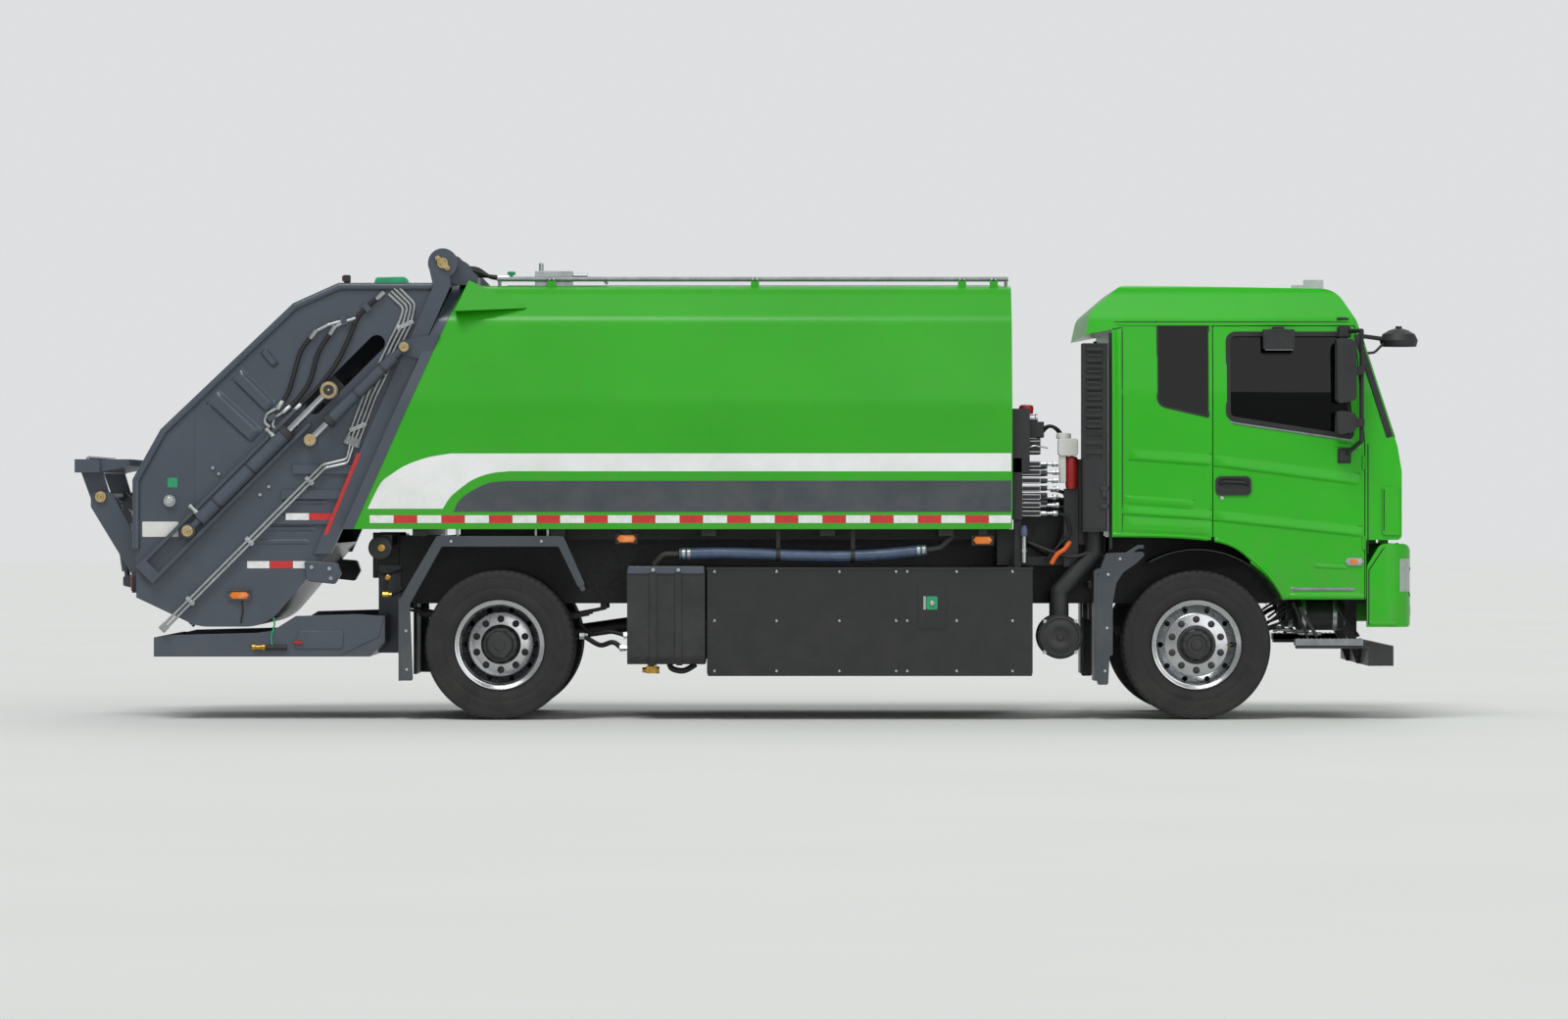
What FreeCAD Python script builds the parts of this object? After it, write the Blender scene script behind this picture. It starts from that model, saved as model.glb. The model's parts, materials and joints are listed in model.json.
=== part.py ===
# A two-axle rear-loading refuse truck: an electric cab-over chassis, a closed
# compaction body, a tailgate hopper with its packer, and a bin lift at the back.
# +X points to the front of the truck, +Y to its left side and +Z up.
# The origin is on the ground, midway along and across the truck. Millimetres.
import FreeCAD
import Part

import math
import os

V = FreeCAD.Vector

# Whole vehicle
OVERALL_LENGTH = 9100
FRONT_AXLE_X = 3040
WHEELBASE = 4700
REAR_AXLE_X = FRONT_AXLE_X - WHEELBASE
RUNNING_GAP = 6
PIN_GAP = 0.5
SEAT_GAP = 0.3
OVERRUN = 20
TINY = 0.000001

# Wheels
TYRE_RADIUS = 506
TYRE_WIDTH = 275
RIM_RADIUS = 292
RIM_LIP = 12
RIM_BEAD_DEPTH = 36
DISC_THICKNESS = 22
DISC_DISH = 95
HUB_RADIUS = 88
HUB_OUT = 62
AXLE_HOLE_RADIUS = 40
HAND_HOLE_RADIUS = 24
HAND_HOLE_PCR = 205
HAND_HOLE_COUNT = 8
SHOULDER_RADIUS = 40
FRONT_TRACK = 2040
REAR_TRACK = 1860
TWIN_SPACING = 310
KINGPIN_Y = 850
KINGPIN_RADIUS = 26
KNUCKLE_REACH = 72
KNUCKLE_WEB = 30

# Chassis frame
RAIL_OUT = 430
RAIL_WEB = 12
RAIL_FLANGE = 80
RAIL_BOTTOM = 776
RAIL_TOP = 1036
FRAME_REAR_X = -2450
FRAME_FRONT_X = 4200
CROSS_WIDTH = 90
CROSS_XS = (-2380, -1250, -400, 900, 2200, 3560)
NOSE_CROSS_X = 4110

# Axles and springs
BEAM_HALF_HEIGHT = 48
BEAM_HALF_WIDTH = 45
BEAM_DROP = 60
BEAM_KNEE_LOW = 645
BEAM_KNEE_HIGH = 602
AXLE_TUBE_RADIUS = 68
DIFF_RADIUS = 200
DIFF_HALF_WIDTH = 130
SPRING_Y = 430
SPRING_WIDTH = 76
SPRING_HALF_LENGTH = 700
SPRING_LEAF = 18
SPRING_LEAVES = 5
FRONT_SPRING_RISE = 150
REAR_SPRING_RISE = 80
PERCH_HEIGHT = 8
SHACKLE_THICKNESS = 40

# Drive motor and gearbox
MOTOR_X = 250
MOTOR_LENGTH = 620
MOTOR_RADIUS = 215
MOTOR_Z = 780
SHAFT_RADIUS = 50

# Boxes hung on the frame
BOX_OUT = 1240
BATTERY_REAR_X = -257
BATTERY_FRONT_X = 1927
BATTERY_BOTTOM = 297
BOX_TOP = 1030
BOX_EDGE = 18
TANK_REAR_X = -800
TANK_FRONT_X = -275
TANK_BOTTOM = 375
TANK_CORNER = 60
STRAP_WIDTH = 40
STRAP_THICKNESS = 8

# Refuse body
BODY_FRONT_X = 1795
BODY_FLOOR_Z = 1287
BODY_ROOF_Z = 2937
BODY_HALF_WIDTH = 1245
BODY_WALL = 40
BODY_WAIST_Z = 2150
BODY_SHOULDER_Z = 2700
BODY_SHOULDER_IN = 120
BODY_ROOF_IN = 300
BODY_CORNER = 160
SEAM_TOP_X = -1990
SEAM_ANGLE = 24
SEAM_SLOPE = math.tan(math.radians(SEAM_ANGLE))
REAR_FRAME_DEPTH = 75
REAR_FRAME_OUT = 1250
SUBFRAME_WIDTH = 80
BEARER_HEIGHT = 47
BEARER_WIDTH = 100
BEARER_OUT = 1150
BEARER_XS = (-2250, -1320, -300, 500, 1300)
ROOF_RAIL_Z = 2983
ROOF_RAIL_RADIUS = 16
ROOF_RAIL_Y = 850
ROOF_POST_RADIUS = 11
ROOF_RAIL_POSTS = 3

# Ejector plate
EJECTOR_X = 1200
EJECTOR_THICKNESS = 60
EJECTOR_BRACE = 420
EJECTOR_GAP = 12
SHOE_HEIGHT = 40
SHOE_WIDTH = 120
SHOE_Y = 600

# Mudguards
GUARD_IN = 640
GUARD_OUT = 1235
GUARD_SHEET = 30
REAR_GUARD_TOP = 1240
REAR_GUARD_REAR_X = -2340
REAR_GUARD_HEEL_X = -2080
REAR_GUARD_TOE_X = -1255
REAR_GUARD_FRONT_X = -1080
REAR_GUARD_REAR_Z = 800
REAR_GUARD_FRONT_Z = 880
FLAP_BOTTOM = 265
FLAP_THICKNESS = 24
FRONT_GUARD_IN = 900
FRONT_GUARD_REAR_X = 2345
FRONT_GUARD_TOP = 1180
FRONT_GUARD_TIP_X = 2680
FRONT_GUARD_SLOPE = 180

# Front under-run beam and steps
UNDERRUN_REAR_X = 4200
UNDERRUN_FRONT_X = 4370
UNDERRUN_BOTTOM = 363
UNDERRUN_TOP = 498
UNDERRUN_OUT = 1150
TOW_PIN_X = 4285
TOW_PIN_RADIUS = 22
STEP_REAR_X = 3715
STEP_IN = 1030
STEP_TOP = 540
STEP_THICKNESS = 60

# Drip tray under the hopper
TRAY_REAR_X = -4000
TRAY_FRONT_X = -2440
TRAY_BOTTOM = 425
TRAY_OUT = 1100
TRAY_SHEET = 12
TRAY_TOE = 100
TRAY_HIGH = 280
TRAY_LOW = 130
TRAY_SWEEP = 360
TRAY_HANGER = 70

# Air intake behind the cab
CANISTER_X = 2119
CANISTER_Z = 561
CANISTER_RADIUS = 150
CANISTER_LID_SHARE = 0.86
CANISTER_IN = 760
CANISTER_OUT = 1190
SNORKEL_REAR_X = 2270
SNORKEL_FRONT_X = 2440
SNORKEL_IN = 930
SNORKEL_OUT = 1225
SNORKEL_BOTTOM = 1270
SNORKEL_TOP = 2540
SNORKEL_SHEET = 10
LOUVRE_COUNT = 12
LOUVRE_SPAN_SHARE = 0.6
DUCT_RADIUS = 62

# Valve bank on the body's front wall
VALVE_DEPTH = 240
VALVE_BOTTOM = 1180
VALVE_TOP = 2100

# Cab
CAB_REAR_X = 2468
CAB_FRONT_X = 4418
CAB_FLOOR_Z = 1234
CAB_ROOF_Z = 2937
CAB_SKIRT_Z = 812
CAB_HALF_WIDTH = 1240
CAB_WALL = 60
CAB_FLOOR_THICKNESS = 56
ARCH_RADIUS = 660
SKIRT_REAR_X = 3400
SKIRT_FRONT_X = 4178
SKIRT_IN = 660
WELL_IN = 860
CAB_TILT_X = 4250
CAB_TILT_Z = 900
TILT_PIN_RADIUS = 25
TILT_ARM_RADIUS = 60
TILT_CORNER_SHARE = 0.9
DOOR_GAP = 6
GLASS = 8
GLASS_INSET = 24

# Cab side outline as shares of its length and height, from the rear wall's foot
CAB_SIDE_SHARES = (
    (0, 0, 0), (0, 0.822, 0), (-0.091, 0.802, 0), (-0.074, 0.893, 0.05),
    (0.034, 1, 0.06), (0.775, 0.985, 0.1), (0.846, 0.857, 0.12),
    (0.985, 0.36, 0.06), (1, 0.26, 0.05), (1, -0.012, 0.02),
)
# Cab section as shares of its half width and of its height, from the skirt up
CAB_SECTION_SHARES = ((1, 0, 0.01), (1, 0.66, 0.2), (0.965, 0.885, 0.08), (0.85, 1, 0.06))

# Doors, windows and cab fittings
DOOR_REAR_X = 3142
DOOR_TOP_Z = 2660
DOOR_FRONT_TOP_X = 4105
DOOR_FRONT_X = 4172
DOOR_BELT_Z = 1848
DOOR_HINGE_X = 4160
DOOR_HINGE_Y = 1244
HINGE_RADIUS = 10
HINGE_LENGTH = 90
HINGE_LOW_Z = 1150
HINGE_HIGH_Z = 1690
WINDOW_REAR_X = 3240
WINDOW_TOP_Z = 2612
WINDOW_REAR_SILL_Z = 2026
WINDOW_FRONT_SILL_Z = 1894
WINDOW_FRONT_TOP_X = 4040
WINDOW_FRONT_X = 4092
WINDOW_CORNER = 60
QUARTER_REAR_X = 2772
QUARTER_FRONT_X = 3118
QUARTER_TOP_Z = 2666
QUARTER_REAR_SILL_Z = 2120
QUARTER_SILL_Z = 2040
QUARTER_CORNER = 70
SCREEN_BOTTOM_Z = 1840
SCREEN_TOP_Z = 2660
SCREEN_HALF_WIDTH = 1120
SCREEN_TOP_HALF_WIDTH = 1050
SCREEN_REAR_X = 3990
GRILLE_BOTTOM_Z = 1290
GRILLE_TOP_Z = 1700
GRILLE_HALF_WIDTH = 860
GRILLE_DEPTH = 24
GRILLE_BARS = 5
BUMPER_REAR_X = 4184
BUMPER_FRONT_X = 4488
BUMPER_BOTTOM_Z = 627
BUMPER_TOP_Z = 1188
BUMPER_WALL = 60
BUMPER_BRACKET_Y = 700
BUMPER_BRACKET_WIDTH = 60
LAMP_IN = 800
LAMP_OUT = 1120
LAMP_BOTTOM_Z = 850
LAMP_TOP_Z = 1010
SEAT_X = 3300
SEAT_Y = 560
SEAT_WIDTH = 500
SEAT_LENGTH = 480
SEAT_PEDESTAL_HEIGHT = 260
SEAT_CUSHION_HEIGHT = 140
SEAT_BACK_HEIGHT = 700
SEAT_BACK_THICKNESS = 130
DASH_REAR_X = 3990
DASH_TOP_Z = 1810
DASH_BOTTOM_Z = 1500
STEERING_X = 3800
STEERING_Z = 1930
STEERING_RADIUS = 225
STEERING_RIM = 16
SPOKE_SHARE = 0.7
STEERING_TILT = 35
BEACON_X = 3810
BEACON_LENGTH = 130
BEACON_HEIGHT = 50
BEACON_HALF_WIDTH = 500

# Mirrors
MIRROR_OUT = 1475
MIRROR_IN = 1290
MIRROR_REAR_X = 3970
MIRROR_FRONT_X = 4095
MIRROR_LOW_Z = 2130
MIRROR_HIGH_Z = 2574
WIDE_LOW_Z = 1920
WIDE_HIGH_Z = 2085
MIRROR_CORNER = 40
MIRROR_POST_X = 4135
MIRROR_POST_Y = 1385
MIRROR_TUBE = 15
MIRROR_FOOT_X = 4030
MIRROR_FOOT_LOW_Z = 1780
MIRROR_FOOT_HIGH_Z = 2620
MIRROR_FOOT_SIZE = 70
KERB_REAR_X = 3480
KERB_FRONT_X = 3690
KERB_LOW_Z = 2500
KERB_HIGH_Z = 2630
KERB_DEPTH = 90
FRONT_MIRROR_X = 4420
FRONT_MIRROR_Z = 2560
FRONT_MIRROR_Y = 980
FRONT_MIRROR_FOOT_Y = 1115
FRONT_MIRROR_LEVELS_SHARES = ((-0.35, 0.93), (0.05, 1), (0.55, 0.84), (0.86, 0.5), (1, 0.2))
FRONT_MIRROR_HALF_HEIGHT = 85
FRONT_MIRROR_ARM_Z = 2600

# Tailgate and hopper
TAIL_OUT = 1108
TAIL_PLATE = 15
TAIL_HINGE_X = -2046
TAIL_HINGE_Z = 3082
TAIL_REAR_X = -4118
TAIL_TOP_Z = 2925
TAIL_BOTTOM_Z = 627
TAIL_HINGE_PIN = 35
TAIL_LUG_RADIUS = 100
POST_WIDTH = 105
POST_OUT = 1155
POST_IN = 1060
TROUGH_FRONT_X = -3240
TROUGH_REAR_X = -3700
TROUGH_RADIUS = 300
SILL_Z = 1180
HOPPER_SHEET = 12
LIP_Z = 1155
COVER_SHEET = 10
COVER_FOOT_X = -3470
EDGE_TUBE_RADIUS = 26
RIB_WIDTH = 60
RIB_DEPTH = 24
RIB_RISES = (1350, 1520, 1690)
RIB_REACH = 420
# The trough's sides move in by more than its floor, for the same inset
INSET_SIDE_SHARE = 1.25
# Tailgate side outline as shares of its length and height, from its lowest rear corner
TAIL_SIDE_SHARES = (
    (0, 0.086, 0), (0, 0.43, 0.05), (0.087, 0.574, 0.08), (0.505, 0.942, 0.08),
    (0.645, 1, 0.05), (1, 1, 0),
)

# Packer, sliding at 45 degrees in the side plates
GUIDE_ANGLE = 45
CARRIAGE_PIN_X = -2812
CARRIAGE_PIN_Z = 2224
CARRIAGE_PIN_RADIUS = 36
CARRIAGE_EYE_RADIUS = 60
SLOT_HALF_WIDTH = 56
PACKER_DOWN = 150
PACKER_UP = 450
GUIDE_FOOT_X = -4060
GUIDE_HEAD_X = -2990
GUIDE_HALF_HEIGHT = 80
GUIDE_OUT = 1165
SLIDE_PIN_X = -3762
SLIDE_PIN_Z = 1274
SLIDE_PIN_RADIUS = 30
SLIDE_BARREL_RADIUS = 50
SLIDE_BARREL_LENGTH = 960
SLIDE_ROD_RADIUS = 26
SLIDE_Y = 1172
SLIDE_ROD_LENGTH = 885
CARRIAGE_OUT = 1050
CARRIAGE_CHEEK = 50
CARRIAGE_SHOE = 90
BLADE_HINGE_ALONG = 490
BLADE_HINGE_IN = 163
BLADE_HALF_WIDTH = 980
BLADE_HUB_RADIUS = 62
BLADE_PIN_RADIUS = 30
BLADE_LENGTH = 735
BLADE_THICKNESS = 90
BLADE_TIP = 24
CARRIAGE_PLATE = 76
CARRIAGE_FOOT = -400
CARRIAGE_HEAD = 250
CARRIAGE_STANDOFF = 38
RAM_Y = 520
RAM_BARREL_RADIUS = 42
RAM_ROD_RADIUS = 24
RAM_EYE_RADIUS = 40
RAM_EYE_WIDTH = 50
RAM_LUG_ALONG = 690
RAM_LUG_OUT = 145
RAM_HORN_BACK = 205
RAM_HORN_DOWN = 73
RAM_BARREL_LENGTH = 560
RAM_ROD_LENGTH = 370
RAM_PIN_RADIUS = 20
RAM_CHEEK = 20
NECK_SHARE = 2.2
BARREL_FOOT = 12

# Tailgate lift cylinders
LIFT_TOP_X = -2303
LIFT_TOP_Z = 2515
LIFT_FOOT_X = -2937
LIFT_FOOT_Z = 1888
LIFT_Y = 1205
LIFT_BARREL_RADIUS = 42
LIFT_ROD_RADIUS = 25
LIFT_EYE_RADIUS = 42
LIFT_EYE_WIDTH = 52
LIFT_BARREL_LENGTH = 731
LIFT_ROD_LENGTH = 770
LIFT_PIN_RADIUS = 24

# Bin lift
BIN_PIVOT_X = -4382
BIN_PIVOT_Z = 1505
BIN_SHAFT_RADIUS = 34
BIN_ARM_Y = 760
BIN_ARM_THICKNESS = 24
BIN_BRACKET_Y = 840
COMB_Z = 1715
COMB_HALF_WIDTH = 960
COMB_HEIGHT = 90
COMB_BODY_LENGTH = 170
COMB_TOOTH_LENGTH = 200
COMB_TOOTH_WIDTH = 46
COMB_TEETH = 16
BIN_RAM_FOOT_X = -4224
BIN_RAM_FOOT_Z = 930
BIN_LUG_X = -4295
BIN_LUG_Z = 1430
BIN_RAM_Y = 560
BIN_RAM_RADIUS = 34
BIN_ROD_RADIUS = 17
BIN_EYE_RADIUS = 32
BIN_EYE_WIDTH = 40
BIN_BARREL_LENGTH = 400
BIN_ROD_LENGTH = 310


def box(x0, x1, y0, y1, z0, z1):
    return Part.makeBox(x1 - x0, y1 - y0, z1 - z0, V(x0, y0, z0))


def rod(start, end, radius):
    along = end.sub(start)
    return Part.makeCylinder(radius, along.Length, start, along)


def cross_rod(x, z, y0, y1, radius):
    """A round bar across the truck."""
    return Part.makeCylinder(radius, y1 - y0, V(x, y0, z), V(0, 1, 0))


def closed_wire(corners, place):
    """Straight runs through the corners (u, v, radius), rounded where a radius is given."""
    spots = [place(corner[0], corner[1]) for corner in corners]
    ends = []
    for index, corner in enumerate(corners):
        here = spots[index]
        radius = corner[2] if len(corner) > 2 else 0
        if not radius:
            ends.append((here, None, here))
            continue
        back = spots[index - 1].sub(here)
        ahead = spots[(index + 1) % len(spots)].sub(here)
        half = back.getAngle(ahead) / 2
        back.normalize()
        ahead.normalize()
        reach = radius / math.tan(half)
        middle = back.add(ahead).normalize() * (radius / math.sin(half) - radius)
        ends.append((here + back * reach, here + middle, here + ahead * reach))
    edges = []
    for index, (start, middle, stop) in enumerate(ends):
        if middle:
            edges.append(Part.Arc(start, middle, stop).toShape())
        following = ends[(index + 1) % len(ends)][0]
        if not stop.isEqual(following, TINY):
            edges.append(Part.LineSegment(stop, following).toShape())
    return Part.Wire(edges)


def side_plate(corners, y0, y1):
    """An outline in the side view, carried across from y0 to y1."""
    face = Part.Face(closed_wire(corners, lambda u, v: V(u, y0, v)))
    return face.extrude(V(0, y1 - y0, 0))


def section_bar(corners, x0, x1):
    """An outline in the front view (y, z), carried along from x0 to x1."""
    face = Part.Face(closed_wire(corners, lambda u, v: V(x0, u, v)))
    return face.extrude(V(x1 - x0, 0, 0))


def mirrored(shape):
    return shape.mirror(V(0, 0, 0), V(0, 1, 0))


def pair(shape):
    return [shape, mirrored(shape)]


def joined(shapes):
    """One solid from touching or overlapping pieces."""
    whole = shapes[0]
    if len(shapes) > 1:
        whole = shapes[0].fuse(shapes[1:]).removeSplitter()
    return whole


def halves(corners):
    """A symmetric section from its left half, listed from the foot up."""
    return [(u, v, r) for u, v, r in corners] + [(-u, v, r) for u, v, r in reversed(corners)]


def save(node, shapes):
    solids = [solid for shape in shapes for solid in shape.Solids]
    for solid in solids:
        if not solid.isValid() or solid.Volume <= 0:
            print("check", node, solid.isValid(), solid.Volume)
    whole = solids[0] if len(solids) == 1 else Part.makeCompound(solids)
    whole.exportStep(os.path.join("parts", node + ".step"))
    print(node, len(solids), round(sum(s.Volume for s in solids) / 1e9, 4))


def tyre_ring(y_middle):
    """A tyre as a plain ring, turned about its axle from a section with bevelled shoulders."""
    half = TYRE_WIDTH / 2
    flat = half - SHOULDER_RADIUS / 2
    section = [
        (-half, RIM_RADIUS), (-half, TYRE_RADIUS - SHOULDER_RADIUS), (-flat, TYRE_RADIUS),
        (flat, TYRE_RADIUS), (half, TYRE_RADIUS - SHOULDER_RADIUS), (half, RIM_RADIUS),
    ]
    face = Part.Face(closed_wire(section, lambda u, v: V(0, y_middle + u, v)))
    return face.revolve(V(0, y_middle, 0), V(0, 1, 0), 360)


def rim_shell(y_middle, outward):
    """A disc wheel: its barrel, dished disc, hand holes and hub, outward being -1 or 1."""
    half = TYRE_WIDTH / 2 - RIM_LIP
    wall = RIM_LIP
    dish = DISC_DISH * outward
    barrel_out = RIM_RADIUS - SEAT_GAP
    section = [
        (-half, barrel_out - wall), (-half, barrel_out), (half, barrel_out), (half, barrel_out - wall),
        (half - wall, barrel_out - wall), (half - 2 * wall, barrel_out - 3 * wall),
        (2 * wall - half, barrel_out - 3 * wall), (wall - half, barrel_out - wall),
    ]
    floor = barrel_out - 3 * wall
    barrel = Part.Face(closed_wire(section, lambda u, v: V(0, y_middle + u, v)))
    bore = Part.makeCylinder(floor - wall, TYRE_WIDTH, V(0, y_middle - TYRE_WIDTH / 2, 0), V(0, 1, 0))
    ring = barrel.revolve(V(0, y_middle, 0), V(0, 1, 0), 360)
    sleeve = Part.makeCylinder(floor, 2 * half - 4 * wall, V(0, y_middle - half + 2 * wall, 0), V(0, 1, 0))
    ring = ring.fuse(sleeve.cut(bore))
    seat = y_middle + dish
    disc_section = [
        (0, AXLE_HOLE_RADIUS), (0, HAND_HOLE_PCR - 2 * HAND_HOLE_RADIUS),
        (-dish / 2, floor - wall / 2), (-dish / 2 + DISC_THICKNESS * outward, floor - wall / 2),
        (DISC_THICKNESS * outward, HAND_HOLE_PCR - HAND_HOLE_RADIUS),
        (DISC_THICKNESS * outward, AXLE_HOLE_RADIUS),
    ]
    disc = Part.Face(closed_wire(disc_section, lambda u, v: V(0, seat + u, v)))
    disc = disc.revolve(V(0, seat, 0), V(0, 1, 0), 360)
    for index in range(HAND_HOLE_COUNT):
        turn = 2 * math.pi * index / HAND_HOLE_COUNT
        x = (HAND_HOLE_PCR + HAND_HOLE_RADIUS) * math.cos(turn)
        z = (HAND_HOLE_PCR + HAND_HOLE_RADIUS) * math.sin(turn)
        disc = disc.cut(cross_rod(x, z, y_middle - TYRE_WIDTH, y_middle + TYRE_WIDTH, HAND_HOLE_RADIUS))
    return ring.fuse(disc).removeSplitter()


def hub_cap(y_inner, outward):
    """The hub drum that fills a wheel's centre, from y_inner outwards."""
    start = V(0, y_inner, 0)
    return Part.makeCylinder(HUB_RADIUS, HUB_OUT, start, V(0, outward, 0))


def front_wheel(side):
    """Tyre and rim of a front wheel; side is -1 on the right and 1 on the left."""
    middle = side * FRONT_TRACK / 2
    place = V(FRONT_AXLE_X, 0, TYRE_RADIUS)
    rim = rim_shell(middle, side)
    cap_start = middle + side * (DISC_DISH + DISC_THICKNESS)
    rim = rim.fuse(hub_cap(cap_start, side)).removeSplitter()
    return tyre_ring(middle).translate(place), rim.translate(place)


def rear_wheels(side):
    """Twin tyres and the twin rims that share a hub."""
    middle = side * REAR_TRACK / 2
    outer = middle + side * TWIN_SPACING / 2
    inner = middle - side * TWIN_SPACING / 2
    place = V(REAR_AXLE_X, 0, TYRE_RADIUS)
    outer_rim = rim_shell(outer, -side)
    inner_rim = rim_shell(inner, side)
    outer_face = outer - side * (DISC_DISH + DISC_THICKNESS)
    inner_face = inner + side * (DISC_DISH + DISC_THICKNESS)
    drum_from, drum_to = sorted((inner_face - side * OVERRUN, outer_face + side * (2 * HUB_OUT)))
    drum = Part.makeCylinder(HUB_RADIUS, drum_to - drum_from, V(0, drum_from, 0), V(0, 1, 0))
    bore_depth = HUB_OUT
    bore_start = drum_from if side > 0 else drum_to - bore_depth
    drum = drum.cut(Part.makeCylinder(AXLE_HOLE_RADIUS, bore_depth, V(0, bore_start, 0), V(0, 1, 0)))
    rims = outer_rim.fuse([inner_rim, drum]).removeSplitter()
    tyres = [tyre_ring(outer).translate(place), tyre_ring(inner).translate(place)]
    return tyres, rims.translate(place)


def knuckle(side):
    """A steered knuckle: the kingpin between its two bosses, and the spindle into the hub."""
    y_king = side * KINGPIN_Y
    boss_reach = BEAM_HALF_HEIGHT + RUNNING_GAP / 2
    boss_height = BEAM_HALF_HEIGHT
    z = TYRE_RADIUS
    pin_foot = z - boss_reach - boss_height
    pin = Part.makeCylinder(KINGPIN_RADIUS, 2 * (boss_reach + boss_height),
                            V(FRONT_AXLE_X, y_king, pin_foot))
    boss_radius = KINGPIN_RADIUS * 2
    low = Part.makeCylinder(boss_radius, boss_height, V(FRONT_AXLE_X, y_king, pin_foot))
    high = Part.makeCylinder(boss_radius, boss_height, V(FRONT_AXLE_X, y_king, z + boss_reach))
    web_in, web_out = sorted((side * (KINGPIN_Y + KNUCKLE_REACH),
                              side * (KINGPIN_Y + KNUCKLE_REACH + KNUCKLE_WEB)))
    web = box(FRONT_AXLE_X - BEAM_HALF_WIDTH, FRONT_AXLE_X + BEAM_HALF_WIDTH, web_in, web_out,
              pin_foot, z + boss_reach + boss_height)
    foot_in, foot_out = sorted((y_king, side * (KINGPIN_Y + KNUCKLE_REACH + KNUCKLE_WEB)))
    bridge_low = box(FRONT_AXLE_X - BEAM_HALF_WIDTH, FRONT_AXLE_X + BEAM_HALF_WIDTH, foot_in, foot_out,
                     pin_foot, pin_foot + boss_height)
    bridge_high = box(FRONT_AXLE_X - BEAM_HALF_WIDTH, FRONT_AXLE_X + BEAM_HALF_WIDTH, foot_in, foot_out,
                      z + boss_reach, z + boss_reach + boss_height)
    disc_in = side * FRONT_TRACK / 2 + side * (DISC_DISH + DISC_THICKNESS) - side * SEAT_GAP
    spindle_radius = AXLE_HOLE_RADIUS - PIN_GAP
    spindle = rod(V(FRONT_AXLE_X, side * (KINGPIN_Y + KNUCKLE_REACH + KNUCKLE_WEB - RIM_LIP), z),
                  V(FRONT_AXLE_X, disc_in, z), spindle_radius)
    return joined([pin, low, high, bridge_low, bridge_high, web, spindle])


def frame_rails():
    """Two channel rails, tied by cross members."""
    rail_in = RAIL_OUT - RAIL_FLANGE
    channel = [
        (RAIL_OUT, RAIL_BOTTOM), (RAIL_OUT, RAIL_TOP), (rail_in, RAIL_TOP), (rail_in, RAIL_TOP - RAIL_WEB),
        (RAIL_OUT - RAIL_WEB, RAIL_TOP - RAIL_WEB), (RAIL_OUT - RAIL_WEB, RAIL_BOTTOM + RAIL_WEB),
        (rail_in, RAIL_BOTTOM + RAIL_WEB), (rail_in, RAIL_BOTTOM),
    ]
    rail = section_bar(channel, FRAME_REAR_X, FRAME_FRONT_X)
    ties = []
    for x in CROSS_XS + (NOSE_CROSS_X,):
        ties.append(box(x, x + CROSS_WIDTH, RAIL_WEB - RAIL_OUT, RAIL_OUT - RAIL_WEB,
                        RAIL_BOTTOM + RAIL_WEB, RAIL_TOP - RAIL_WEB))
    ears = []
    for y in (RAIL_OUT, ):
        ear = side_plate([(FRAME_FRONT_X - TILT_ARM_RADIUS, RAIL_TOP),
                          (FRAME_FRONT_X - TILT_ARM_RADIUS, RAIL_BOTTOM),
                          (CAB_TILT_X + TILT_ARM_RADIUS, RAIL_BOTTOM, TILT_ARM_RADIUS / 2),
                          (CAB_TILT_X + TILT_ARM_RADIUS, CAB_TILT_Z + TILT_ARM_RADIUS, TILT_ARM_RADIUS / 2),
                          (FRAME_FRONT_X, RAIL_TOP)], y - RAIL_WEB, y)
        pin = cross_rod(CAB_TILT_X, CAB_TILT_Z, y - RAIL_WEB, y + 2 * TILT_ARM_RADIUS, TILT_PIN_RADIUS)
        ears.append(ear.fuse(pin))
    pieces = [rail, mirrored(rail)] + ties + ears + [mirrored(ear) for ear in ears]
    return joined(pieces)


def subframe():
    """Two sills on the rails and the cross bearers that carry the body floor."""
    sill_in = RAIL_OUT - SUBFRAME_WIDTH
    bearer_foot = BODY_FLOOR_Z - BEARER_HEIGHT
    sill = box(FRAME_REAR_X, BODY_FRONT_X, sill_in, RAIL_OUT, RAIL_TOP, bearer_foot)
    bearers = [box(x, x + BEARER_WIDTH, -BEARER_OUT, BEARER_OUT, bearer_foot,
                   BODY_FLOOR_Z) for x in BEARER_XS]
    return joined(pair(sill) + bearers)


def drive_motor():
    """The motor and its gearbox as one mass between the rails, with the shaft to the rear axle."""
    mass = rod(V(MOTOR_X, 0, MOTOR_Z), V(MOTOR_X + MOTOR_LENGTH, 0, MOTOR_Z), MOTOR_RADIUS)
    reach = RAIL_OUT - RAIL_WEB
    ear_width = CROSS_WIDTH
    foot = box(MOTOR_X + ear_width, MOTOR_X + 2 * ear_width, -reach, reach, RAIL_BOTTOM + RAIL_WEB,
               RAIL_BOTTOM + RAIL_WEB + ear_width)
    start = V(MOTOR_X + OVERRUN, 0, MOTOR_Z)
    diff = V(REAR_AXLE_X, 0, TYRE_RADIUS)
    way = start.sub(diff)
    way.normalize()
    shaft = rod(start, diff + way * (DIFF_RADIUS + SEAT_GAP), SHAFT_RADIUS)
    return joined([mass, foot, shaft])


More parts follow.
